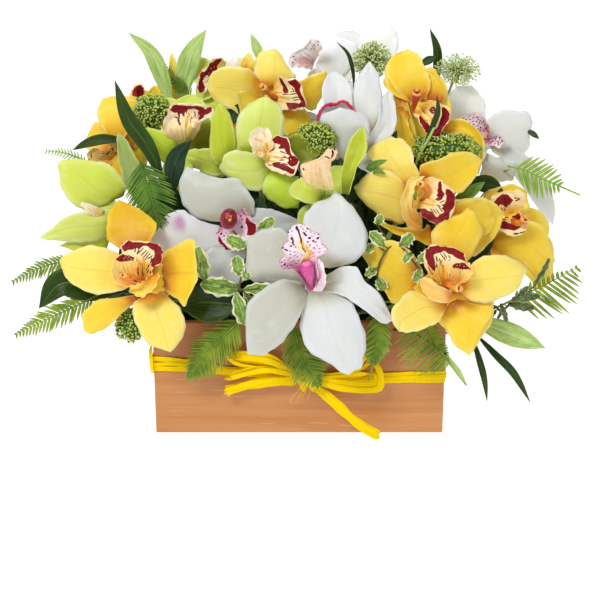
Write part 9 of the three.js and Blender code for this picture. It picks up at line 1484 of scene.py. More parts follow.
    'white_mid_left': {'skip': [0, 1, 2, 3, 4], 'petals': [{'L': [[-55.3, -71.7, 179.7], [-75.3, -72.1, 181.5], [-84.4, -71.7, 184.6], [-91.8, -70.5, 193.3], [-96.3, -68.7, 205.4], [-94.4, -66.1, 215.9], [-89.3, -62.7, 223.7]], 'R': [[-35.7, -71.7, 185.5], [-36.6, -72.1, 199.4], [-43.9, -71.7, 210.4], [-51.5, -70.5, 216.8], [-65.3, -68.7, 215.8], [-78.0, -66.1, 220.3], [-89.3, -62.7, 223.7]], 'M': [[-45.5, -72.0, 182.7], [-55.8, -73.3, 190.7], [-63.9, -73.4, 197.9], [-71.4, -72.5, 205.5], [-80.6, -70.4, 211.0], [-86.1, -67.3, 218.3], [-89.3, -63.0, 223.8]], 'look': 'WG'}, {'L': [[-63.3, -72.8, 177.6], [-75.9, -74.4, 181.2], [-86.0, -74.9, 187.0], [-93.9, -74.5, 191.0], [-102.9, -73.2, 188.3], [-111.3, -71.0, 180.4], [-123.4, -67.8, 165.6]], 'R': [[-60.5, -72.8, 157.8], [-71.0, -74.4, 148.2], [-83.0, -74.9, 148.3], [-95.8, -74.5, 151.6], [-107.1, -73.2, 155.4], [-118.4, -71.0, 159.8], [-123.4, -67.8, 165.6]], 'M': [[-61.9, -73.0, 167.7], [-73.4, -74.9, 164.9], [-84.5, -75.8, 168.0], [-94.8, -75.5, 171.6], [-104.9, -74.1, 172.1], [-114.8, -71.6, 170.3], [-123.4, -68.0, 165.6]], 'blotch': 1}, {'L': [[-62.0, -73.2, 162.8], [-73.0, -76.5, 158.7], [-78.0, -77.0, 148.9], [-74.5, -74.5, 136.5], [-61.3, -69.2, 124.0]], 'R': [[-46.0, -73.2, 159.5], [-37.9, -76.5, 152.1], [-40.4, -77.0, 140.6], [-47.9, -74.5, 129.8], [-61.3, -69.2, 124.0]], 'M': [[-54.0, -73.0, 161.1], [-55.5, -75.8, 155.2], [-59.3, -76.0, 144.5], [-61.3, -73.8, 133.0], [-61.3, -69.0, 124.0]]}, {'L': [[-47.3, -69.7, 188.3], [-35.3, -70.0, 191.6], [-23.4, -69.0, 190.6], [-12.2, -67.0, 186.8], [1.4, -63.7, 178.7]], 'R': [[-43.6, -69.7, 170.2], [-31.6, -70.0, 167.0], [-19.5, -69.0, 166.7], [-7.5, -67.0, 170.4], [1.4, -63.7, 178.7]], 'M': [[-45.4, -70.0, 179.3], [-33.4, -71.5, 179.7], [-21.4, -71.0, 179.2], [-9.8, -68.5, 179.0], [1.4, -64.0, 178.7]]}], 'lips': [{'kind': 'lip', 'L': [[-59.0, -79.0, 177.4], [-62.9, -86.0, 178.3], [-65.4, -91.0, 175.5], [-64.1, -93.0, 170.7], [-60.3, -94.0, 165.7], [-53.7, -93.0, 162.2], [-43.5, -92.0, 164.4]], 'R': [[-50.1, -79.0, 188.0], [-44.1, -86.0, 194.8], [-39.7, -91.0, 191.2], [-35.0, -93.0, 186.0], [-33.0, -94.0, 180.3], [-35.5, -93.0, 173.6], [-43.5, -92.0, 164.4]], 'M': [[-54.8, -74.0, 181.5], [-54.0, -77.0, 184.5], [-53.1, -80.0, 180.7], [-50.0, -84.0, 176.2], [-46.9, -89.0, 171.8], [-44.6, -92.0, 167.7], [-43.4, -93.0, 164.7]], 'areas': {'red': [[[0.345, 0.833], [0.44, 0.883], [0.555, 0.933], [0.66, 0.967], [0.785, 0.917], [0.72, 0.517], [0.685, 0.4], [0.595, 0.533], [0.515, 0.6], [0.44, 0.633], [0.46, 0.55]], [[0.39, -0.883], [0.505, -0.817], [0.58, -0.817], [0.685, -0.833], [0.83, -0.9], [0.765, -1.0], [0.655, -1.0], [0.515, -0.983]]]}, 'dots': [['d', 0.86, 0.31, -0.883], ['d', 1.12, 0.405, -0.733], ['d', 0.77, 0.475, -0.633], ['d', 1.12, 0.525, -0.467], ['d', 0.6, 0.44, -0.483], ['d', 0.69, 0.28, 0.617], ['d', 0.6, 0.355, 0.567], ['d', 0.43, 0.275, 0.9], ['d', 1.03, 0.485, 0.35], ['d', 0.43, 0.22, 0.567], ['d', 0.52, 0.34, 0.967], ['d', 0.43, 0.585, 0.283], ['d', 0.43, 0.545, -0.7], ['d', 0.43, 0.59, -0.55], ['d', 0.43, 0.54, 0.5], ['d', 0.34, 0.395, 0.383], ['d', 0.34, 0.81, 0.7], ['d', 0.43, 0.685, -0.6], ['d', 0.43, 0.785, -0.567], ['d', 0.34, 0.24, 0.967]], 'strips': [['d', 0.65, [0.455, -0.133], [0.565, -0.083], [0.69, -0.017], [0.78, 0.083], [0.86, 0.367]], ['d', 0.3, [0.155, 0.867], [0.245, 0.85], [0.325, 0.867]], ['k', 0.86, [0.44, -0.25], [0.61, -0.133], [0.8, 0.0]]]}], 'col': {'p': [[-56.5, -81.0, 176.3], [-56.1, -87.0, 181.0], [-55.6, -91.0, 186.0], [-55.1, -94.0, 190.0]], 'r': 1.5, 'key': 'ring', 'hood': 1}},
    'white_centre_back': {'skip': [1, 0, 2, 3], 'petals': [{'L': [[28.1, -35.5, 253.0], [19.3, -32.7, 267.2], [18.5, -28.4, 278.2], [20.7, -22.3, 287.5], [24.5, -14.3, 291.8], [28.9, -4.7, 292.3]], 'R': [[44.1, -35.5, 255.9], [43.0, -32.7, 268.6], [42.0, -28.4, 279.6], [38.5, -22.3, 287.5], [34.5, -14.3, 291.1], [28.9, -4.7, 292.3]], 'M': [[36.1, -35.0, 254.4], [31.2, -30.8, 267.6], [30.3, -25.6, 278.5], [29.7, -19.4, 287.2], [29.6, -12.3, 291.2], [28.9, -4.2, 292.3]]}, {'L': [[47.2, -34.5, 247.0], [43.3, -30.0, 263.9], [43.8, -24.5, 277.7], [47.2, -18.3, 288.5], [52.7, -11.4, 295.9], [58.2, -3.5, 300.0]], 'R': [[57.4, -34.5, 244.1], [66.5, -30.0, 260.9], [67.3, -24.5, 274.8], [65.2, -18.3, 287.1], [62.4, -11.4, 295.3], [58.2, -3.5, 300.0]], 'M': [[52.3, -35.0, 245.6], [54.8, -32.0, 262.7], [55.4, -27.4, 276.6], [56.0, -21.2, 288.1], [57.4, -13.4, 295.8], [58.2, -4.0, 300.0]]}, {'L': [[53.2, -35.6, 229.5], [57.4, -35.7, 244.3], [63.1, -34.0, 255.7], [66.5, -30.1, 266.8], [67.8, -24.1, 273.2], [72.9, -16.3, 277.8]], 'R': [[56.2, -35.6, 228.8], [66.6, -35.7, 236.6], [75.3, -34.0, 246.6], [78.2, -30.1, 259.5], [76.9, -24.1, 270.3], [72.9, -16.3, 277.8]], 'M': [[54.7, -35.0, 229.0], [62.1, -33.1, 240.0], [69.4, -30.2, 250.6], [72.6, -26.3, 262.6], [72.5, -21.5, 271.4], [72.9, -15.7, 277.7]]}, {'L': [[37.2, -34.2, 221.8], [28.2, -37.3, 235.7], [22.8, -39.4, 247.8], [15.3, -41.1, 257.4], [20.5, -42.4, 264.4], [33.5, -42.8, 267.3]], 'R': [[48.9, -34.2, 227.8], [54.0, -37.3, 237.2], [56.2, -39.4, 247.8], [55.7, -41.1, 258.2], [48.3, -42.4, 265.1], [33.5, -42.8, 267.3]], 'M': [[43.0, -35.0, 225.0], [41.0, -40.6, 237.0], [39.3, -44.2, 248.6], [35.3, -45.9, 258.5], [34.3, -45.7, 265.2], [33.5, -43.6, 267.4]]}], 'lips': [{'L': [[32.6, -36.0, 235.5], [22.3, -37.0, 244.5], [15.7, -37.0, 251.8], [14.8, -37.0, 257.6], [17.5, -37.0, 266.0], [23.3, -37.0, 269.2], [30.8, -37.0, 268.6], [36.3, -37.0, 271.2]], 'R': [[42.9, -36.0, 235.5], [50.0, -37.0, 244.5], [52.8, -37.0, 253.2], [48.3, -37.0, 260.5], [43.6, -37.0, 264.1], [41.7, -37.0, 268.5], [39.2, -37.0, 270.4], [36.3, -37.0, 271.2]], 'M': [[38.0, -30.0, 234.4], [36.4, -30.0, 243.3], [34.4, -31.0, 251.6], [31.7, -32.0, 258.3], [30.7, -34.0, 264.7], [32.5, -35.0, 268.6], [35.0, -36.0, 269.4], [36.3, -37.0, 271.2]], 'kind': 'lip'}], 'col': 'none', 'ribbons': [['g', 1.25, [[14.6, -43.0, 256.9], [15.8, -42.0, 262.4], [18.2, -41.0, 266.2], [21.4, -40.0, 268.9], [25.5, -39.0, 270.0], [29.5, -39.0, 269.7], [33.5, -39.0, 271.9], [37.4, -40.0, 271.5], [40.6, -41.0, 268.6], [43.1, -42.0, 265.6], [45.4, -43.0, 264.1]]]]},
    'white_top_back': {'skip': [0, 1], 'petals': [{'L': [[24.0, 56.7, 281.2], [14.2, 57.1, 288.9], [18.1, 59.2, 299.5], [21.3, 63.2, 308.4], [23.1, 69.0, 313.3], [26.6, 76.6, 315.6]], 'R': [[43.0, 56.7, 274.9], [51.0, 57.1, 288.9], [51.7, 59.2, 299.5], [47.8, 63.2, 308.4], [37.0, 69.0, 313.5], [26.6, 76.6, 315.6]], 'M': [[33.5, 57.0, 278.0], [32.6, 58.4, 288.8], [35.0, 61.1, 299.3], [34.6, 65.1, 308.2], [30.1, 70.4, 313.3], [26.6, 76.9, 315.6]], 'look': 'WB'}, {'L': [[52.3, 57.5, 282.6], [50.0, 60.8, 294.7], [50.8, 65.1, 308.2], [54.8, 70.1, 317.1], [62.1, 75.9, 322.8], [72.0, 82.6, 324.6]], 'R': [[71.2, 57.5, 284.2], [83.7, 60.8, 297.8], [86.9, 65.1, 309.8], [85.5, 70.1, 318.6], [79.5, 75.9, 323.6], [72.0, 82.6, 324.6]], 'M': [[61.7, 57.0, 283.5], [66.7, 58.8, 296.5], [68.7, 62.2, 309.3], [70.0, 67.3, 318.1], [70.7, 73.9, 323.4], [72.0, 82.1, 324.7]], 'look': 'WB'}], 'lips': [{'kind': 'lip', 'L': [[11.0, 53.0, 286.6], [4.9, 48.0, 288.9], [-1.2, 45.0, 289.6], [-7.2, 44.0, 290.2], [-8.9, 44.0, 296.1], [-6.3, 44.0, 301.6], [-1.2, 45.0, 302.8]], 'R': [[12.7, 53.0, 293.5], [17.0, 48.0, 300.8], [19.5, 45.0, 307.0], [16.9, 44.0, 312.6], [10.9, 44.0, 313.5], [5.7, 44.0, 307.1], [-1.2, 45.0, 302.8]], 'M': [[11.9, 56.0, 289.7], [11.0, 53.0, 294.3], [9.2, 50.0, 297.8], [4.9, 47.0, 301.1], [1.0, 45.0, 304.7], [-0.3, 44.0, 304.4], [-1.2, 45.0, 302.8]], 'dots': [['m', 0.69, 0.66, -0.633], ['m', 0.6, 0.565, -0.6], ['m', 0.77, 0.555, -0.8], ['m', 0.43, 0.495, -0.8], ['m', 0.34, 0.675, -0.833], ['m', 0.69, 0.52, 0.667], ['m', 0.52, 0.505, 0.55], ['m', 0.52, 0.465, 0.617], ['m', 0.6, 0.48, 0.417], ['m', 0.69, 0.435, 0.517], ['m', 0.6, 0.435, 0.817], ['m', 0.43, 0.5, 0.917], ['m', 0.43, 0.59, 0.217], ['m', 0.52, 0.07, 0.983], ['m', 0.43, 0.195, 0.233], ['m', 0.34, 0.505, -0.6], ['m', 0.34, 0.615, 0.667]], 'areas': {'pink': [[[0.58, -0.433], [0.475, -0.05], [0.295, 0.117], [0.05, 0.1], [0.165, -0.867], [0.37, -0.867]]]}}], 'col': 'none'},
    'white_right_back': {'skip': [0, 1, 2], 'petals': [{'L': [[144.4, 26.5, 236.4], [126.6, 27.7, 250.2], [125.6, 30.5, 264.6], [134.2, 35.2, 273.3], [144.5, 41.7, 274.4], [150.0, 49.7, 273.4]], 'R': [[160.3, 26.5, 236.4], [159.9, 27.7, 250.2], [160.4, 30.5, 257.7], [157.7, 35.2, 265.0], [153.0, 41.7, 271.1], [150.0, 49.7, 273.4]], 'M': [[152.4, 27.0, 236.4], [143.5, 29.7, 249.9], [143.3, 33.4, 260.8], [146.3, 38.0, 268.8], [149.0, 43.6, 272.5], [150.0, 50.2, 273.4]]}, {'L': [[160.6, 27.5, 232.3], [162.1, 28.0, 247.2], [171.9, 29.8, 254.2], [186.3, 32.7, 254.8], [198.6, 36.6, 252.5], [202.4, 41.8, 245.1]], 'R': [[167.2, 27.5, 220.2], [178.0, 28.0, 213.7], [190.0, 29.8, 211.3], [199.4, 32.7, 221.3], [201.8, 36.6, 234.8], [202.4, 41.8, 245.1]], 'M': [[163.8, 27.0, 226.4], [169.7, 26.0, 230.8], [180.4, 27.0, 233.4], [192.3, 29.8, 238.6], [199.8, 34.6, 244.0], [202.3, 41.3, 245.1]]}, {'L': [[159.2, 27.5, 220.2], [168.8, 23.9, 215.8], [178.5, 21.4, 214.9], [186.7, 19.6, 211.6], [186.5, 18.4, 203.8], [185.2, 18.3, 196.7]], 'R': [[157.5, 27.5, 212.2], [157.3, 23.9, 204.7], [158.3, 21.4, 197.1], [169.2, 19.6, 193.0], [181.0, 18.4, 194.7], [185.2, 18.3, 196.7]], 'M': [[158.3, 27.0, 216.3], [162.8, 22.0, 210.7], [168.0, 18.5, 206.6], [177.5, 16.7, 202.9], [183.4, 16.4, 199.6], [185.2, 17.8, 196.8]]}], 'lips': [{'kind': 'lip', 'L': [[160.5, 22.0, 229.7], [154.4, 17.0, 234.0], [149.3, 13.0, 240.6], [142.2, 12.0, 245.5], [135.5, 13.0, 247.9], [136.3, 14.0, 251.5]], 'R': [[162.0, 22.0, 234.0], [162.2, 17.0, 240.9], [158.4, 13.0, 248.3], [152.9, 12.0, 254.0], [145.4, 13.0, 255.1], [136.3, 14.0, 251.5]], 'M': [[161.8, 26.0, 231.2], [159.1, 22.0, 236.6], [154.7, 19.0, 243.5], [148.1, 16.0, 249.1], [140.5, 14.0, 251.3], [136.3, 14.0, 251.5]], 'dots': [['d', 0.86, 0.86, -0.6], ['d', 0.95, 0.8, -0.233], ['d', 0.86, 0.72, -0.333], ['d', 0.69, 0.725, 0.083], ['d', 0.77, 0.655, -0.183], ['d', 0.77, 0.64, 0.183], ['d', 0.86, 0.6, 0.6], ['d', 0.86, 0.575, -0.3], ['d', 0.86, 0.535, 0.017], ['d', 0.69, 0.54, 0.417], ['d', 0.69, 0.485, 0.45], ['d', 0.77, 0.43, 0.683], ['d', 0.86, 0.465, 0.083], ['d', 0.69, 0.41, 0.333], ['d', 0.69, 0.355, 0.617], ['d', 0.86, 0.51, -0.55], ['d', 0.77, 0.445, -0.317], ['d', 0.86, 0.37, -0.183], ['d', 1.03, 0.275, 0.483], ['d', 0.6, 0.455, -0.633], ['d', 0.77, 0.38, -0.633], ['d', 0.77, 0.325, -0.5], ['d', 0.69, 0.29, 0.067], ['d', 0.6, 0.645, -0.767], ['d', 0.69, 0.585, -0.65], ['d', 0.52, 0.745, 0.45], ['d', 0.52, 0.69, 0.667], ['d', 0.52, 0.51, 0.9], ['d', 0.52, 0.3, 0.767], ['d', 0.43, 0.335, 0.333], ['d', 0.43, 0.72, -0.633]], 'areas': {'orange': [[[0.295, -0.567], [0.255, 0.033], [0.14, 0.767], [0.0, 0.317], [0.03, -1.0], [0.165, -0.767]]]}, 'strips': [['d', 0.6, [0.095, -1.0], [0.04, -0.567]]]}, {'kind': 'lip', 'L': [[160.5, 22.0, 229.7], [162.7, 19.0, 226.8], [166.8, 17.0, 225.8], [171.0, 16.0, 224.7], [175.8, 16.0, 229.9]], 'R': [[162.1, 22.0, 232.3], [165.8, 19.0, 234.1], [169.7, 17.0, 236.6], [173.9, 16.0, 234.6], [175.8, 16.0, 229.9]], 'M': [[161.9, 26.0, 230.3], [164.9, 23.0, 229.8], [168.7, 20.0, 230.7], [172.8, 18.0, 229.3], [176.0, 17.0, 229.7]], 'dots': [['d', 0.86, 0.39, -0.117], ['d', 0.77, 0.475, 0.25], ['d', 0.86, 0.605, -0.067], ['d', 0.86, 0.635, 0.583], ['d', 0.69, 0.76, 0.4], ['d', 0.77, 0.82, 0.183], ['d', 0.77, 0.665, -0.417], ['d', 0.6, 0.505, -0.55], ['d', 0.52, 0.485, 0.633], ['d', 0.6, 0.735, -0.133], ['d', 0.77, 0.3, -0.45], ['d', 0.6, 0.14, -0.4], ['d', 0.52, 0.64, 0.3]]}], 'col': 'none'},
    'lime_top_left': {'skip': [], 'petals': [], 'lips': [{'kind': 'lip', 'L': [[-61.1, 33.0, 278.7], [-68.5, 28.0, 278.4], [-76.0, 25.0, 276.3], [-79.4, 23.0, 271.5], [-84.4, 22.0, 270.8], [-86.4, 22.0, 275.8], [-85.9, 23.0, 281.6]], 'R': [[-62.6, 33.0, 290.5], [-63.9, 28.0, 297.8], [-69.6, 25.0, 300.2], [-75.4, 23.0, 297.5], [-78.9, 22.0, 291.8], [-84.0, 22.0, 287.2], [-85.9, 23.0, 281.6]], 'M': [[-62.0, 36.0, 284.3], [-66.5, 33.0, 287.6], [-73.1, 30.0, 287.7], [-77.7, 27.0, 284.1], [-81.9, 25.0, 280.9], [-85.3, 23.0, 281.4], [-85.9, 23.0, 281.6]], 'areas': {'red': [[[0.205, 0.917], [0.33, 0.967], [0.41, 0.8], [0.515, 0.933], [0.555, 0.733], [0.64, 0.767], [0.765, 0.867], [0.85, 0.85], [0.785, 0.167], [0.855, -0.467], [0.79, -0.9], [0.69, -0.983], [0.545, -0.917], [0.55, -0.617], [0.65, -0.133], [0.65, 0.183], [0.585, 0.233], [0.485, 0.033], [0.405, 0.033], [0.32, -0.033], [0.265, 0.083], [0.285, 0.383], [0.26, 0.617]]]}, 'strips': [['r', 0.52, [0.195, 0.267], [0.165, 0.05]], ['r', 0.6, [0.155, 0.05], [0.125, -0.183]], ['r', 0.34, [0.54, 0.1], [0.39, -0.133]]], 'dots': [['c', 0.52, 0.665, 0.0], ['c', 0.6, 0.435, 0.383], ['c', 0.43, 0.35, 0.35], ['c', 0.43, 0.515, 0.25]]}], 'col': 'none'},
    'yellow_far_left': {'skip': [0, 1], 'petals': [{'L': [[-114.8, 44.8, 272.1], [-114.2, 43.2, 284.3], [-112.2, 43.0, 292.8], [-111.3, 44.2, 298.7], [-109.7, 46.8, 301.8]], 'R': [[-105.2, 44.8, 272.1], [-104.8, 43.2, 282.6], [-105.4, 43.0, 291.1], [-107.0, 44.2, 297.8], [-109.7, 46.8, 301.8]], 'M': [[-110.0, 45.0, 272.1], [-109.6, 44.0, 283.3], [-108.9, 44.0, 291.9], [-109.2, 45.0, 298.1], [-109.8, 47.0, 301.8]], 'look': 'YP'}, {'L': [[-131.5, 42.8, 260.2], [-131.8, 40.0, 266.7], [-128.9, 39.7, 271.9], [-124.8, 41.8, 275.0]], 'R': [[-117.6, 42.8, 260.2], [-117.0, 40.0, 267.5], [-120.3, 39.7, 272.7], [-124.8, 41.8, 275.0]], 'M': [[-124.5, 43.0, 260.2], [-124.5, 40.9, 267.0], [-124.7, 40.6, 272.2], [-124.8, 42.0, 275.0]], 'look': 'Y'}], 'lips': [{'kind': 'lip', 'L': [[-143.1, 40.0, 264.1], [-145.2, 37.8, 268.7], [-143.1, 36.5, 274.0], [-139.6, 36.5, 276.5], [-137.2, 38.0, 277.2]], 'R': [[-135.3, 40.0, 264.1], [-133.1, 37.8, 268.7], [-133.7, 36.5, 273.1], [-135.3, 36.5, 275.7], [-137.2, 38.0, 277.2]], 'M': [[-138.9, 38.0, 264.4], [-138.8, 35.0, 269.0], [-138.1, 34.0, 273.9], [-137.2, 34.8, 276.3], [-137.0, 37.0, 277.3]], 'areas': {'red': [[[0.105, -1.0], [0.295, -0.867], [0.455, -0.733], [0.625, -0.483], [0.73, 0.567], [0.5, 0.917], [0.3, 0.85], [0.1, 0.833], [0.05, -0.083]]]}}], 'col': 'none', 'ribbons': []},
}


# ------------------------------------------------------------------ raffia
def strand(pc, C, w, rng, face, mat=None, th=0.24, fold=0.22, closed=False, nv=9, taper=(1.0, 1.0), frayed=False):
    """A flattened fibre strand with lengthwise creases. face is the way its flat side looks at each point."""
    n = len(C)
    C = np.asarray(C, float)
    if closed:
        T = np.roll(C, -1, 0) - np.roll(C, 1, 0)
    else:
        T = np.gradient(C, axis=0)
    T /= np.linalg.norm(T, axis=1)[:, None]
    F = np.broadcast_to(np.asarray(face, float), C.shape)
    N = F - (T * F).sum(1)[:, None] * T
    N /= np.maximum(np.linalg.norm(N, axis=1), 1e-6)[:, None]
    B = np.cross(T, N)
    u = np.linspace(0, 1, n)
    v = np.linspace(-1, 1, nv)
    ph = rng.uniform(0, 6.28, 4)
    L = np.linalg.norm(np.diff(C, axis=0), axis=1).sum()
    k = L / 60.0
    wid = w / 2 * (1 + 0.10 * np.sin(2 * np.pi * round(1.3 * k + 1) * u + ph[0]) + 0.05 * np.sin(2 * np.pi * round(3.1 * k + 1) * u + ph[1]))
    wid = wid * np.interp(u, [0, 0.08, 0.92, 1], [taper[0], 1, 1, taper[1]])
    z = fold * (np.sin(2.6 * np.pi * v[None, :] + ph[2] + 1.2 * np.sin(2 * np.pi * round(k + 1) * u[:, None] + ph[3])) + 0.45 * np.sin(6.1 * np.pi * v[None, :] + ph[1]))
    P = C[:, None, :] + (wid[:, None] * v[None, :])[:, :, None] * B[:, None, :] + z[:, :, None] * N[:, None, :]
    if frayed:
        cut = rng.uniform(-1.8, 1.2, nv)
        P[-1] += cut[:, None] * T[-1]
        P[-2] += 0.4 * cut[:, None] * T[-1]
    if closed:
        P = np.concatenate([P, P[:1]], 0)
        u = np.linspace(0, 1, n + 1)
    pc.sheet(P, th, mat or RAFFIA, rng.uniform(0, 1), u * max(L / 60.0, 1.0), v * max(w / 6.0, 0.4))


def tail(name, node, route, width, faces, length):
    rng = np.random.default_rng(len(name) * 7)
    C = smooth_path(route, 34)
    pc = Piece(name)
    strand(pc, C, width, rng, faces, th=0.3, fold=0.14, nv=13, taper=(0.66, 1.05), frayed=True)
    strand(pc, C + np.outer(np.linspace(0.4, 1.2, len(C)), faces) + arr((0, 0, 0.9)), width * 0.55, rng, faces, th=0.24, fold=0.1, nv=9, taper=(0.9, 0.6), frayed=True)
    strand(pc, C + np.outer(np.linspace(0.5, 0.9, len(C)), faces) - arr((0, 0, 1.4)), width * 0.4, rng, faces, th=0.22, fold=0.1, nv=7, taper=(1.0, 0.5), frayed=True)
    o = pc.done([node])
    line = smooth_path(route, 23) * MM
    return o


TAIL_L = [(-2.8, -81.4, 48.6), (-14.2, -82.2, 49), (-38.9, -83.2, 46.7), (-61.1, -83.6, 40.7)]
TAIL_R = [(13.2, -82.2, 42.4), (18.7, -83.0, 39.5), (30.2, -85.5, 30.1), (41.8, -88.5, 19.8), (53.3, -91.5, 11.6), (65.5, -94.5, 5.6)]
OUT = arr((0, -1.0, 0.12))
tail("raffia_tail_left_strands", "raffia_tail_left", TAIL_L, 8.0, unit(OUT), 0.059)
tail("raffia_tail_right_strands", "raffia_tail_right", TAIL_R, 8.0, unit(OUT), 0.066)

BOX_W, BOX_D, BOX_H, BOARD = 240.0, 150.0, 97.0, 8.0


def ring(off, r=2.0, step=4.0):
    """Closed line round the box at a distance off, with its outward direction."""
    hx, hy = BOX_W / 2 + off, BOX_D / 2 + off
    pts, nor = [], []

    def line(a, b, n):
        a, b = arr(a), arr(b)
        k = int(np.linalg.norm(b - a) / step)
        for i in range(k):
            pts.append(a + (b - a) * i / k); nor.append(n)

    def arc(cx, cy, a0):
        for i in range(5):
            a = a0 + math.pi / 2 * i / 5
            pts.append(arr((cx + r * math.cos(a), cy + r * math.sin(a)))); nor.append((math.cos(a), math.sin(a)))

    line((-hx + r, -hy), (hx - r, -hy), (0, -1)); arc(hx - r, -hy + r, -math.pi / 2)
    line((hx, -hy + r), (hx, hy - r), (1, 0)); arc(hx - r, hy - r, 0)
    line((hx - r, hy), (-hx + r, hy), (0, 1)); arc(-hx + r, hy - r, math.pi / 2)
    line((-hx, hy - r), (-hx, -hy + r), (-1, 0)); arc(-hx + r, -hy + r, math.pi)
    return np.array(pts), np.array(nor, float)


def band():
    rng = np.random.default_rng(5)
    pc = Piece("raffia_band_strands")
    for s in BAND:
        xy, nor = ring(s["off"])
        t = np.array(s["z"])
        zf = np.interp(xy[:, 0], t[:, 0], t[:, 1])
        zl, zr = np.interp(-120, t[:, 0], t[:, 1]), np.interp(120, t[:, 0], t[:, 1])
        bl, br = zl + s["back"][0], zr + s["back"][1]
        zb = bl + (br - bl) * (xy[:, 0] + 120) / 240
        k = np.clip((xy[:, 1] + 75) / 150, 0, 1)
        k = k * k * (3 - 2 * k)
        z = np.where(k <= 0, zf, np.where(xy[:, 0] < 0, zl + (zb - zl) * k, zr + (zb - zr) * k))
        z = z + 0.5 * np.sin(np.arange(len(z)) * 0.13 + s["off"] * 9)
        C = np.column_stack([xy, z])
        F = np.column_stack([nor, np.zeros(len(nor))])
        strand(pc, C, s["w"], rng, F, th=0.22, fold=0.13, closed=True, nv=11)
    # one strand that climbs up the front left corner, lies along the end board and comes down again
    C = smooth_path([(-120.9, -76.4, 54), (-121.6, -76.6, 60), (-122.0, -75.6, 68), (-122.2, -71.0, 76), (-121.4, -40, 78), (-121.4, 0, 72), (-121.6, 44, 61), (-122.0, 66, 54)], 60)
    F = np.column_stack([np.full(len(C), -1.0), np.interp(np.arange(len(C)), [0, 12, 22, 60], [-1.4, -1.0, -0.2, 0]), np.zeros(len(C))])
    strand(pc, C, 3.4, rng, F, th=0.22, fold=0.12, nv=7)
    pc.done(["raffia_band"])


def bow():
    rng = np.random.default_rng(8)
    pc = Piece("raffia_bow_strands")
    for s in BOW:
        C = smooth_path(s["p"], 44)
        k = np.linspace(0, 1, len(C))[:, None]
        # the strand turns over at the far end of its loop
        flip = np.clip((k - s["turn"] + 0.07) / 0.14, 0, 1)
        face = unit(OUT) * np.cos(np.pi * 0.8 * flip) + arr((0, 0.1, 1.0)) * np.sin(np.pi * 0.8 * flip)
        strand(pc, C, s["w"], rng, face, th=0.22, fold=0.10, nv=9, taper=(0.8, 0.8))
    for f in FIBRES:
        pc.tube(smooth_path(f, 12), np.linspace(0.3, 0.12, 13), RAFFIA, 5)
    # knot: flat strands wrapped over the middle
    for i, (dx, w, y) in enumerate(((-3.0, 6.0, -83.2), (4.5, 7.0, -84.0))):
        C = smooth_path([(0 + dx, -79.4, 58.5), (1.5 + dx, -82.2, 57), (4 + dx, y, 52), (6 + dx, y, 47), (7.5 + dx, -82.0, 43.0), (8.5 + dx, -79.8, 42.0)], 22)
        strand(pc, C, w, rng, OUT, th=0.26, fold=0.12, nv=9)
    C = smooth_path([(-7, -81.3, 54), (2, -84.6, 52.5), (10, -85.0, 48.5), (17, -82.0, 43)], 20)
    strand(pc, C, 5.4, rng, OUT, th=0.26, fold=0.12, nv=9)
    pc.blob(arr((4.5, -80.2, 50.0)), (1, 0, -0.2), 5.0, 9.0, RAFFIA, 0.4, 10, 16)
    pc.done(["raffia_bow"])


band()
bow()


# ------------------------------------------------------------------ box and foam
def board(name, node, lo, hi, mat, bevel=0.9, cuts=()):
    """Planed board with eased edges, as a box with bevelled edges."""
    import bmesh
    bm = bmesh.new()
    bmesh.ops.create_cube(bm, size=1.0)
    lo, hi = arr(lo), arr(hi)
    for q in bm.verts:
        p = arr(q.co)
        q.co = tuple((lo + (p + 0.5) * (hi - lo)) * MM)
    bmesh.ops.bevel(bm, geom=list(bm.edges), offset=bevel * MM, segments=3, profile=0.5, affect="EDGES")
    me = bpy.data.meshes.new(name)
    bm.to_mesh(me); bm.free()
    me.materials.append(mat)
    for p in me.polygons:
        p.use_smooth = max(abs(c) for c in p.normal) < 0.999
    o = bpy.data.objects.new(name, me)
    scene.collection.objects.link(o)
    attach(o, "root"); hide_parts(node)
    return o


board("front_board", "box_front", (-120, -75, 0), (120, -67, 97), WOOD_X)
board("back_board", "box_back", (-120, 67, 0), (120, 75, 97), WOOD_X)
board("left_board", "box_left", (-120, -66.7, 0), (-112, 66.7, 97), WOOD_Y)
board("right_board", "box_right", (112, -66.7, 0), (120, 66.7, 97), WOOD_Y)
board("bottom_board", "box_bottom", (-111.7, -66.7, 0), (111.7, 66.7, 8), WOOD_X, 0.5)


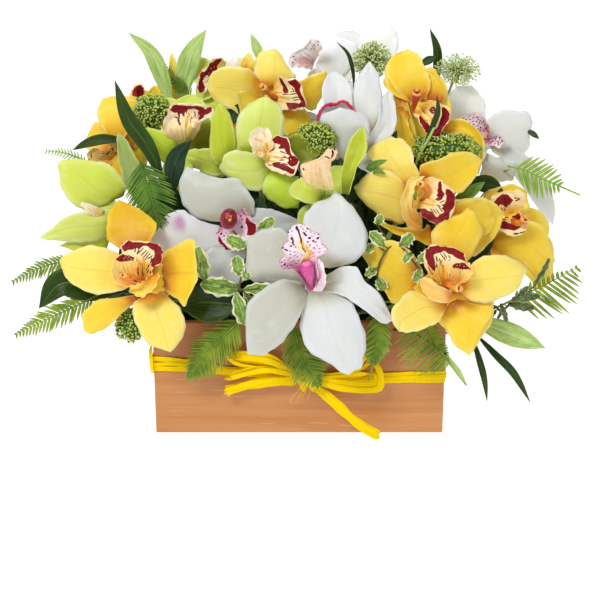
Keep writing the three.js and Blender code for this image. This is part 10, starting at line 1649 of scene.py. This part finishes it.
def foam():
    """Soaked foam block with a crumbly, slightly domed top."""
    rng = np.random.default_rng(3)
    nx, ny = 60, 36
    lo, hi = arr((-111.0, -66.0, 8.4)), arr((111.0, 66.0, 90.0))
    x = np.linspace(lo[0], hi[0], nx); y = np.linspace(lo[1], hi[1], ny)
    X, Y = np.meshgrid(x, y, indexing="ij")
    edge = np.minimum(np.minimum(X - lo[0], hi[0] - X), np.minimum(Y - lo[1], hi[1] - Y))
    Zt = 88.2 + 1.4 * np.sin(X * 0.11) * np.cos(Y * 0.13) + rng.uniform(-0.7, 0.7, X.shape) - 3.2 * np.exp(-edge / 3.0)
    Zt = np.minimum(Zt, 89.9)
    top = np.stack([X, Y, Zt], -1).reshape(-1, 3)
    bot = np.stack([X, Y, np.full_like(X, lo[2])], -1).reshape(-1, 3)
    idx = np.arange(nx * ny).reshape(nx, ny)
    a, b, c, d = idx[:-1, :-1].ravel(), idx[1:, :-1].ravel(), idx[1:, 1:].ravel(), idx[:-1, 1:].ravel()
    o = nx * ny
    faces = list(zip(a, b, c, d)) + list(zip(a + o, d + o, c + o, b + o))
    ringi = list(idx[:, 0]) + list(idx[-1, 1:]) + list(idx[-2::-1, -1]) + list(idx[0, -2:0:-1])
    for i in range(len(ringi)):
        p, q = ringi[i], ringi[(i + 1) % len(ringi)]
        faces.append((q, p, p + o, q + o))
    pc = Piece("foam_block")
    V = np.vstack([top, bot])
    pc.add(V, faces, FOAM, np.zeros((len(V), 3)))
    pc.done(["floral_foam"], smooth=False)


foam()


# ------------------------------------------------------------------ greenery that fills the middle
def filling():
    """Dark leaf stems rising from the foam in two fans behind the front flowers, and short ones between the stems.
    Their darkness is partly the leaves' own colour and partly painted shade of the inside of the bunch.
    """
    rng = np.random.default_rng(21)
    pc = Piece("inner_greenery")
    green = (LEAF["fill"], LEAF["fill"], LEAF["dark"])
    for fan, (y0, span, high, n) in enumerate(((10.0, 1.35, 118.0, 15), (-22.0, 1.45, 82.0, 13))):
        for k in range(n):
            a = (k / (n - 1) - 0.5) * 2 * span
            root = arr((70 * math.sin(a) * 0.8, y0 * 0.8, 84.0))
            tip = arr((150 * math.sin(a), y0 + rng.uniform(-4, 6), 98 + high * max(0.12, math.cos(a))))
            S = smooth_path([root, arr((root[0] * 1.3, y0, 105.0)), (root + tip) / 2 + arr((0, rng.uniform(-3, 3), 8)), tip], 18)
            pc.tube(S, np.linspace(1.3, 0.5, 19), LEAF["fill"], 6)
            for j in range(3, 19, 1):
                p = S[j]
                T = unit(S[min(18, j + 1)] - S[j - 1])
                s = -1 if j % 2 else 1
                side = unit(np.cross(T, (0, 1, 0))) * s
                d = unit(T * rng.uniform(0.4, 0.9) + side + arr((0, rng.uniform(-0.35, 0.35), 0)))
                L = rng.uniform(24, 36) * (1 - 0.25 * j / 18)
                q = p + d * L
                q[2] = max(q[2], 99.0)
                blade(pc, [p, (p + q) / 2 + arr((0, rng.uniform(-2, 2), 1.5)), q], rng.uniform(12, 17), green[j % 3], rng, 0.2, 7, 2,
                      unit(arr((0.0, -1.0, 0.35)) + rng.normal(0, 0.3, 3)), None, 0.3)
    for ix in range(-5, 6):
        for iy in range(-2, 3):
            x, y = ix * 19 + rng.uniform(-5, 5), iy * 22 + rng.uniform(-5, 5)
            root = arr((x, y, 84.0))
            h = rng.uniform(22, 44)
            tip = arr((x * 1.15, y * 1.1, 92 + h))
            S = smooth_path([root, (root + tip) / 2, tip], 8)
            pc.tube(S, np.linspace(1.3, 0.5, 9), LEAF["fill"], 6)
            for j in range(6):
                p = S[min(8, 2 + j)]
                a = j * 2.4 + rng.uniform(-0.4, 0.4)
                q = p + unit(arr((math.cos(a), math.sin(a), rng.uniform(0.1, 0.8)))) * rng.uniform(16, 26)
                q[0] = min(max(q[0], -150), 150); q[1] = min(max(q[1], -74), 84)
                q[2] = max(q[2], 99.0)
                blade(pc, [p, (p + q) / 2 + arr((0, 0, 2)), q], rng.uniform(9, 14), green[j % 3], rng, 0.2, 7, 2, unit(arr((0, 0, 1)) + 0.5 * rng.normal(0, 0.5, 3)), None, 0.3)
    # leaves and small fronds between the flowers, each on a stem of its own from the foam
    for path, w, key in EXTRA_LEAVES:
        foot = arr((path[0][0] * 0.45, max(-60.0, min(60.0, path[0][1] + 25)), 84.0))
        mid = arr((path[0][0] * 0.75, path[0][1] + 14, max(92.0, path[0][2] * 0.62)))
        pc.tube(smooth_path([foot, mid, path[0]], 16), np.linspace(1.2, 0.7, 17), LEAF["fill"], 6)
        blade(pc, path, w, LEAF[key], rng, 0.22, 22, 8)
    for path, d0, d1, gap, half, lean, key in EXTRA_FRONDS:
        foot = arr((path[0][0] * 0.45, max(-60.0, min(60.0, path[0][1] + 25)), 84.0))
        mid = arr((path[0][0] * 0.75, path[0][1] + 14, max(92.0, path[0][2] * 0.62)))
        pc.tube(smooth_path([foot, mid, path[0]], 16), np.linspace(1.0, 0.6, 17), FROND[key], 6)
        frond(pc, path, d0, d1, gap, half, lean, 1.0, 0.0, 1.0, FROND[key], rng)
    for path in EXTRA_STEMS:
        pc.tube(smooth_path(path, 20), np.linspace(1.0, 1.5, 21), LEAF["light"], 8)
    pc.done()


filling()


for b in BLOOMS:
    bloom(b)
for f in LEAVES:
    leaf_sprig(f)
for f in FERNS:
    fern(f)
for f in BUDS:
    buds(f)
for f in SPRIGS:
    pitto(f)


# ------------------------------------------------------------------ floor
def floor():
    me = bpy.data.meshes.new("floor")
    s = 60.0
    me.from_pydata([(-s, -s, 0), (s, -s, 0), (s, s, 0), (-s, s, 0)], [], [(0, 1, 2, 3)])
    me.materials.append(FLOOR)
    o = bpy.data.objects.new("floor", me)
    scene.collection.objects.link(o)


floor()

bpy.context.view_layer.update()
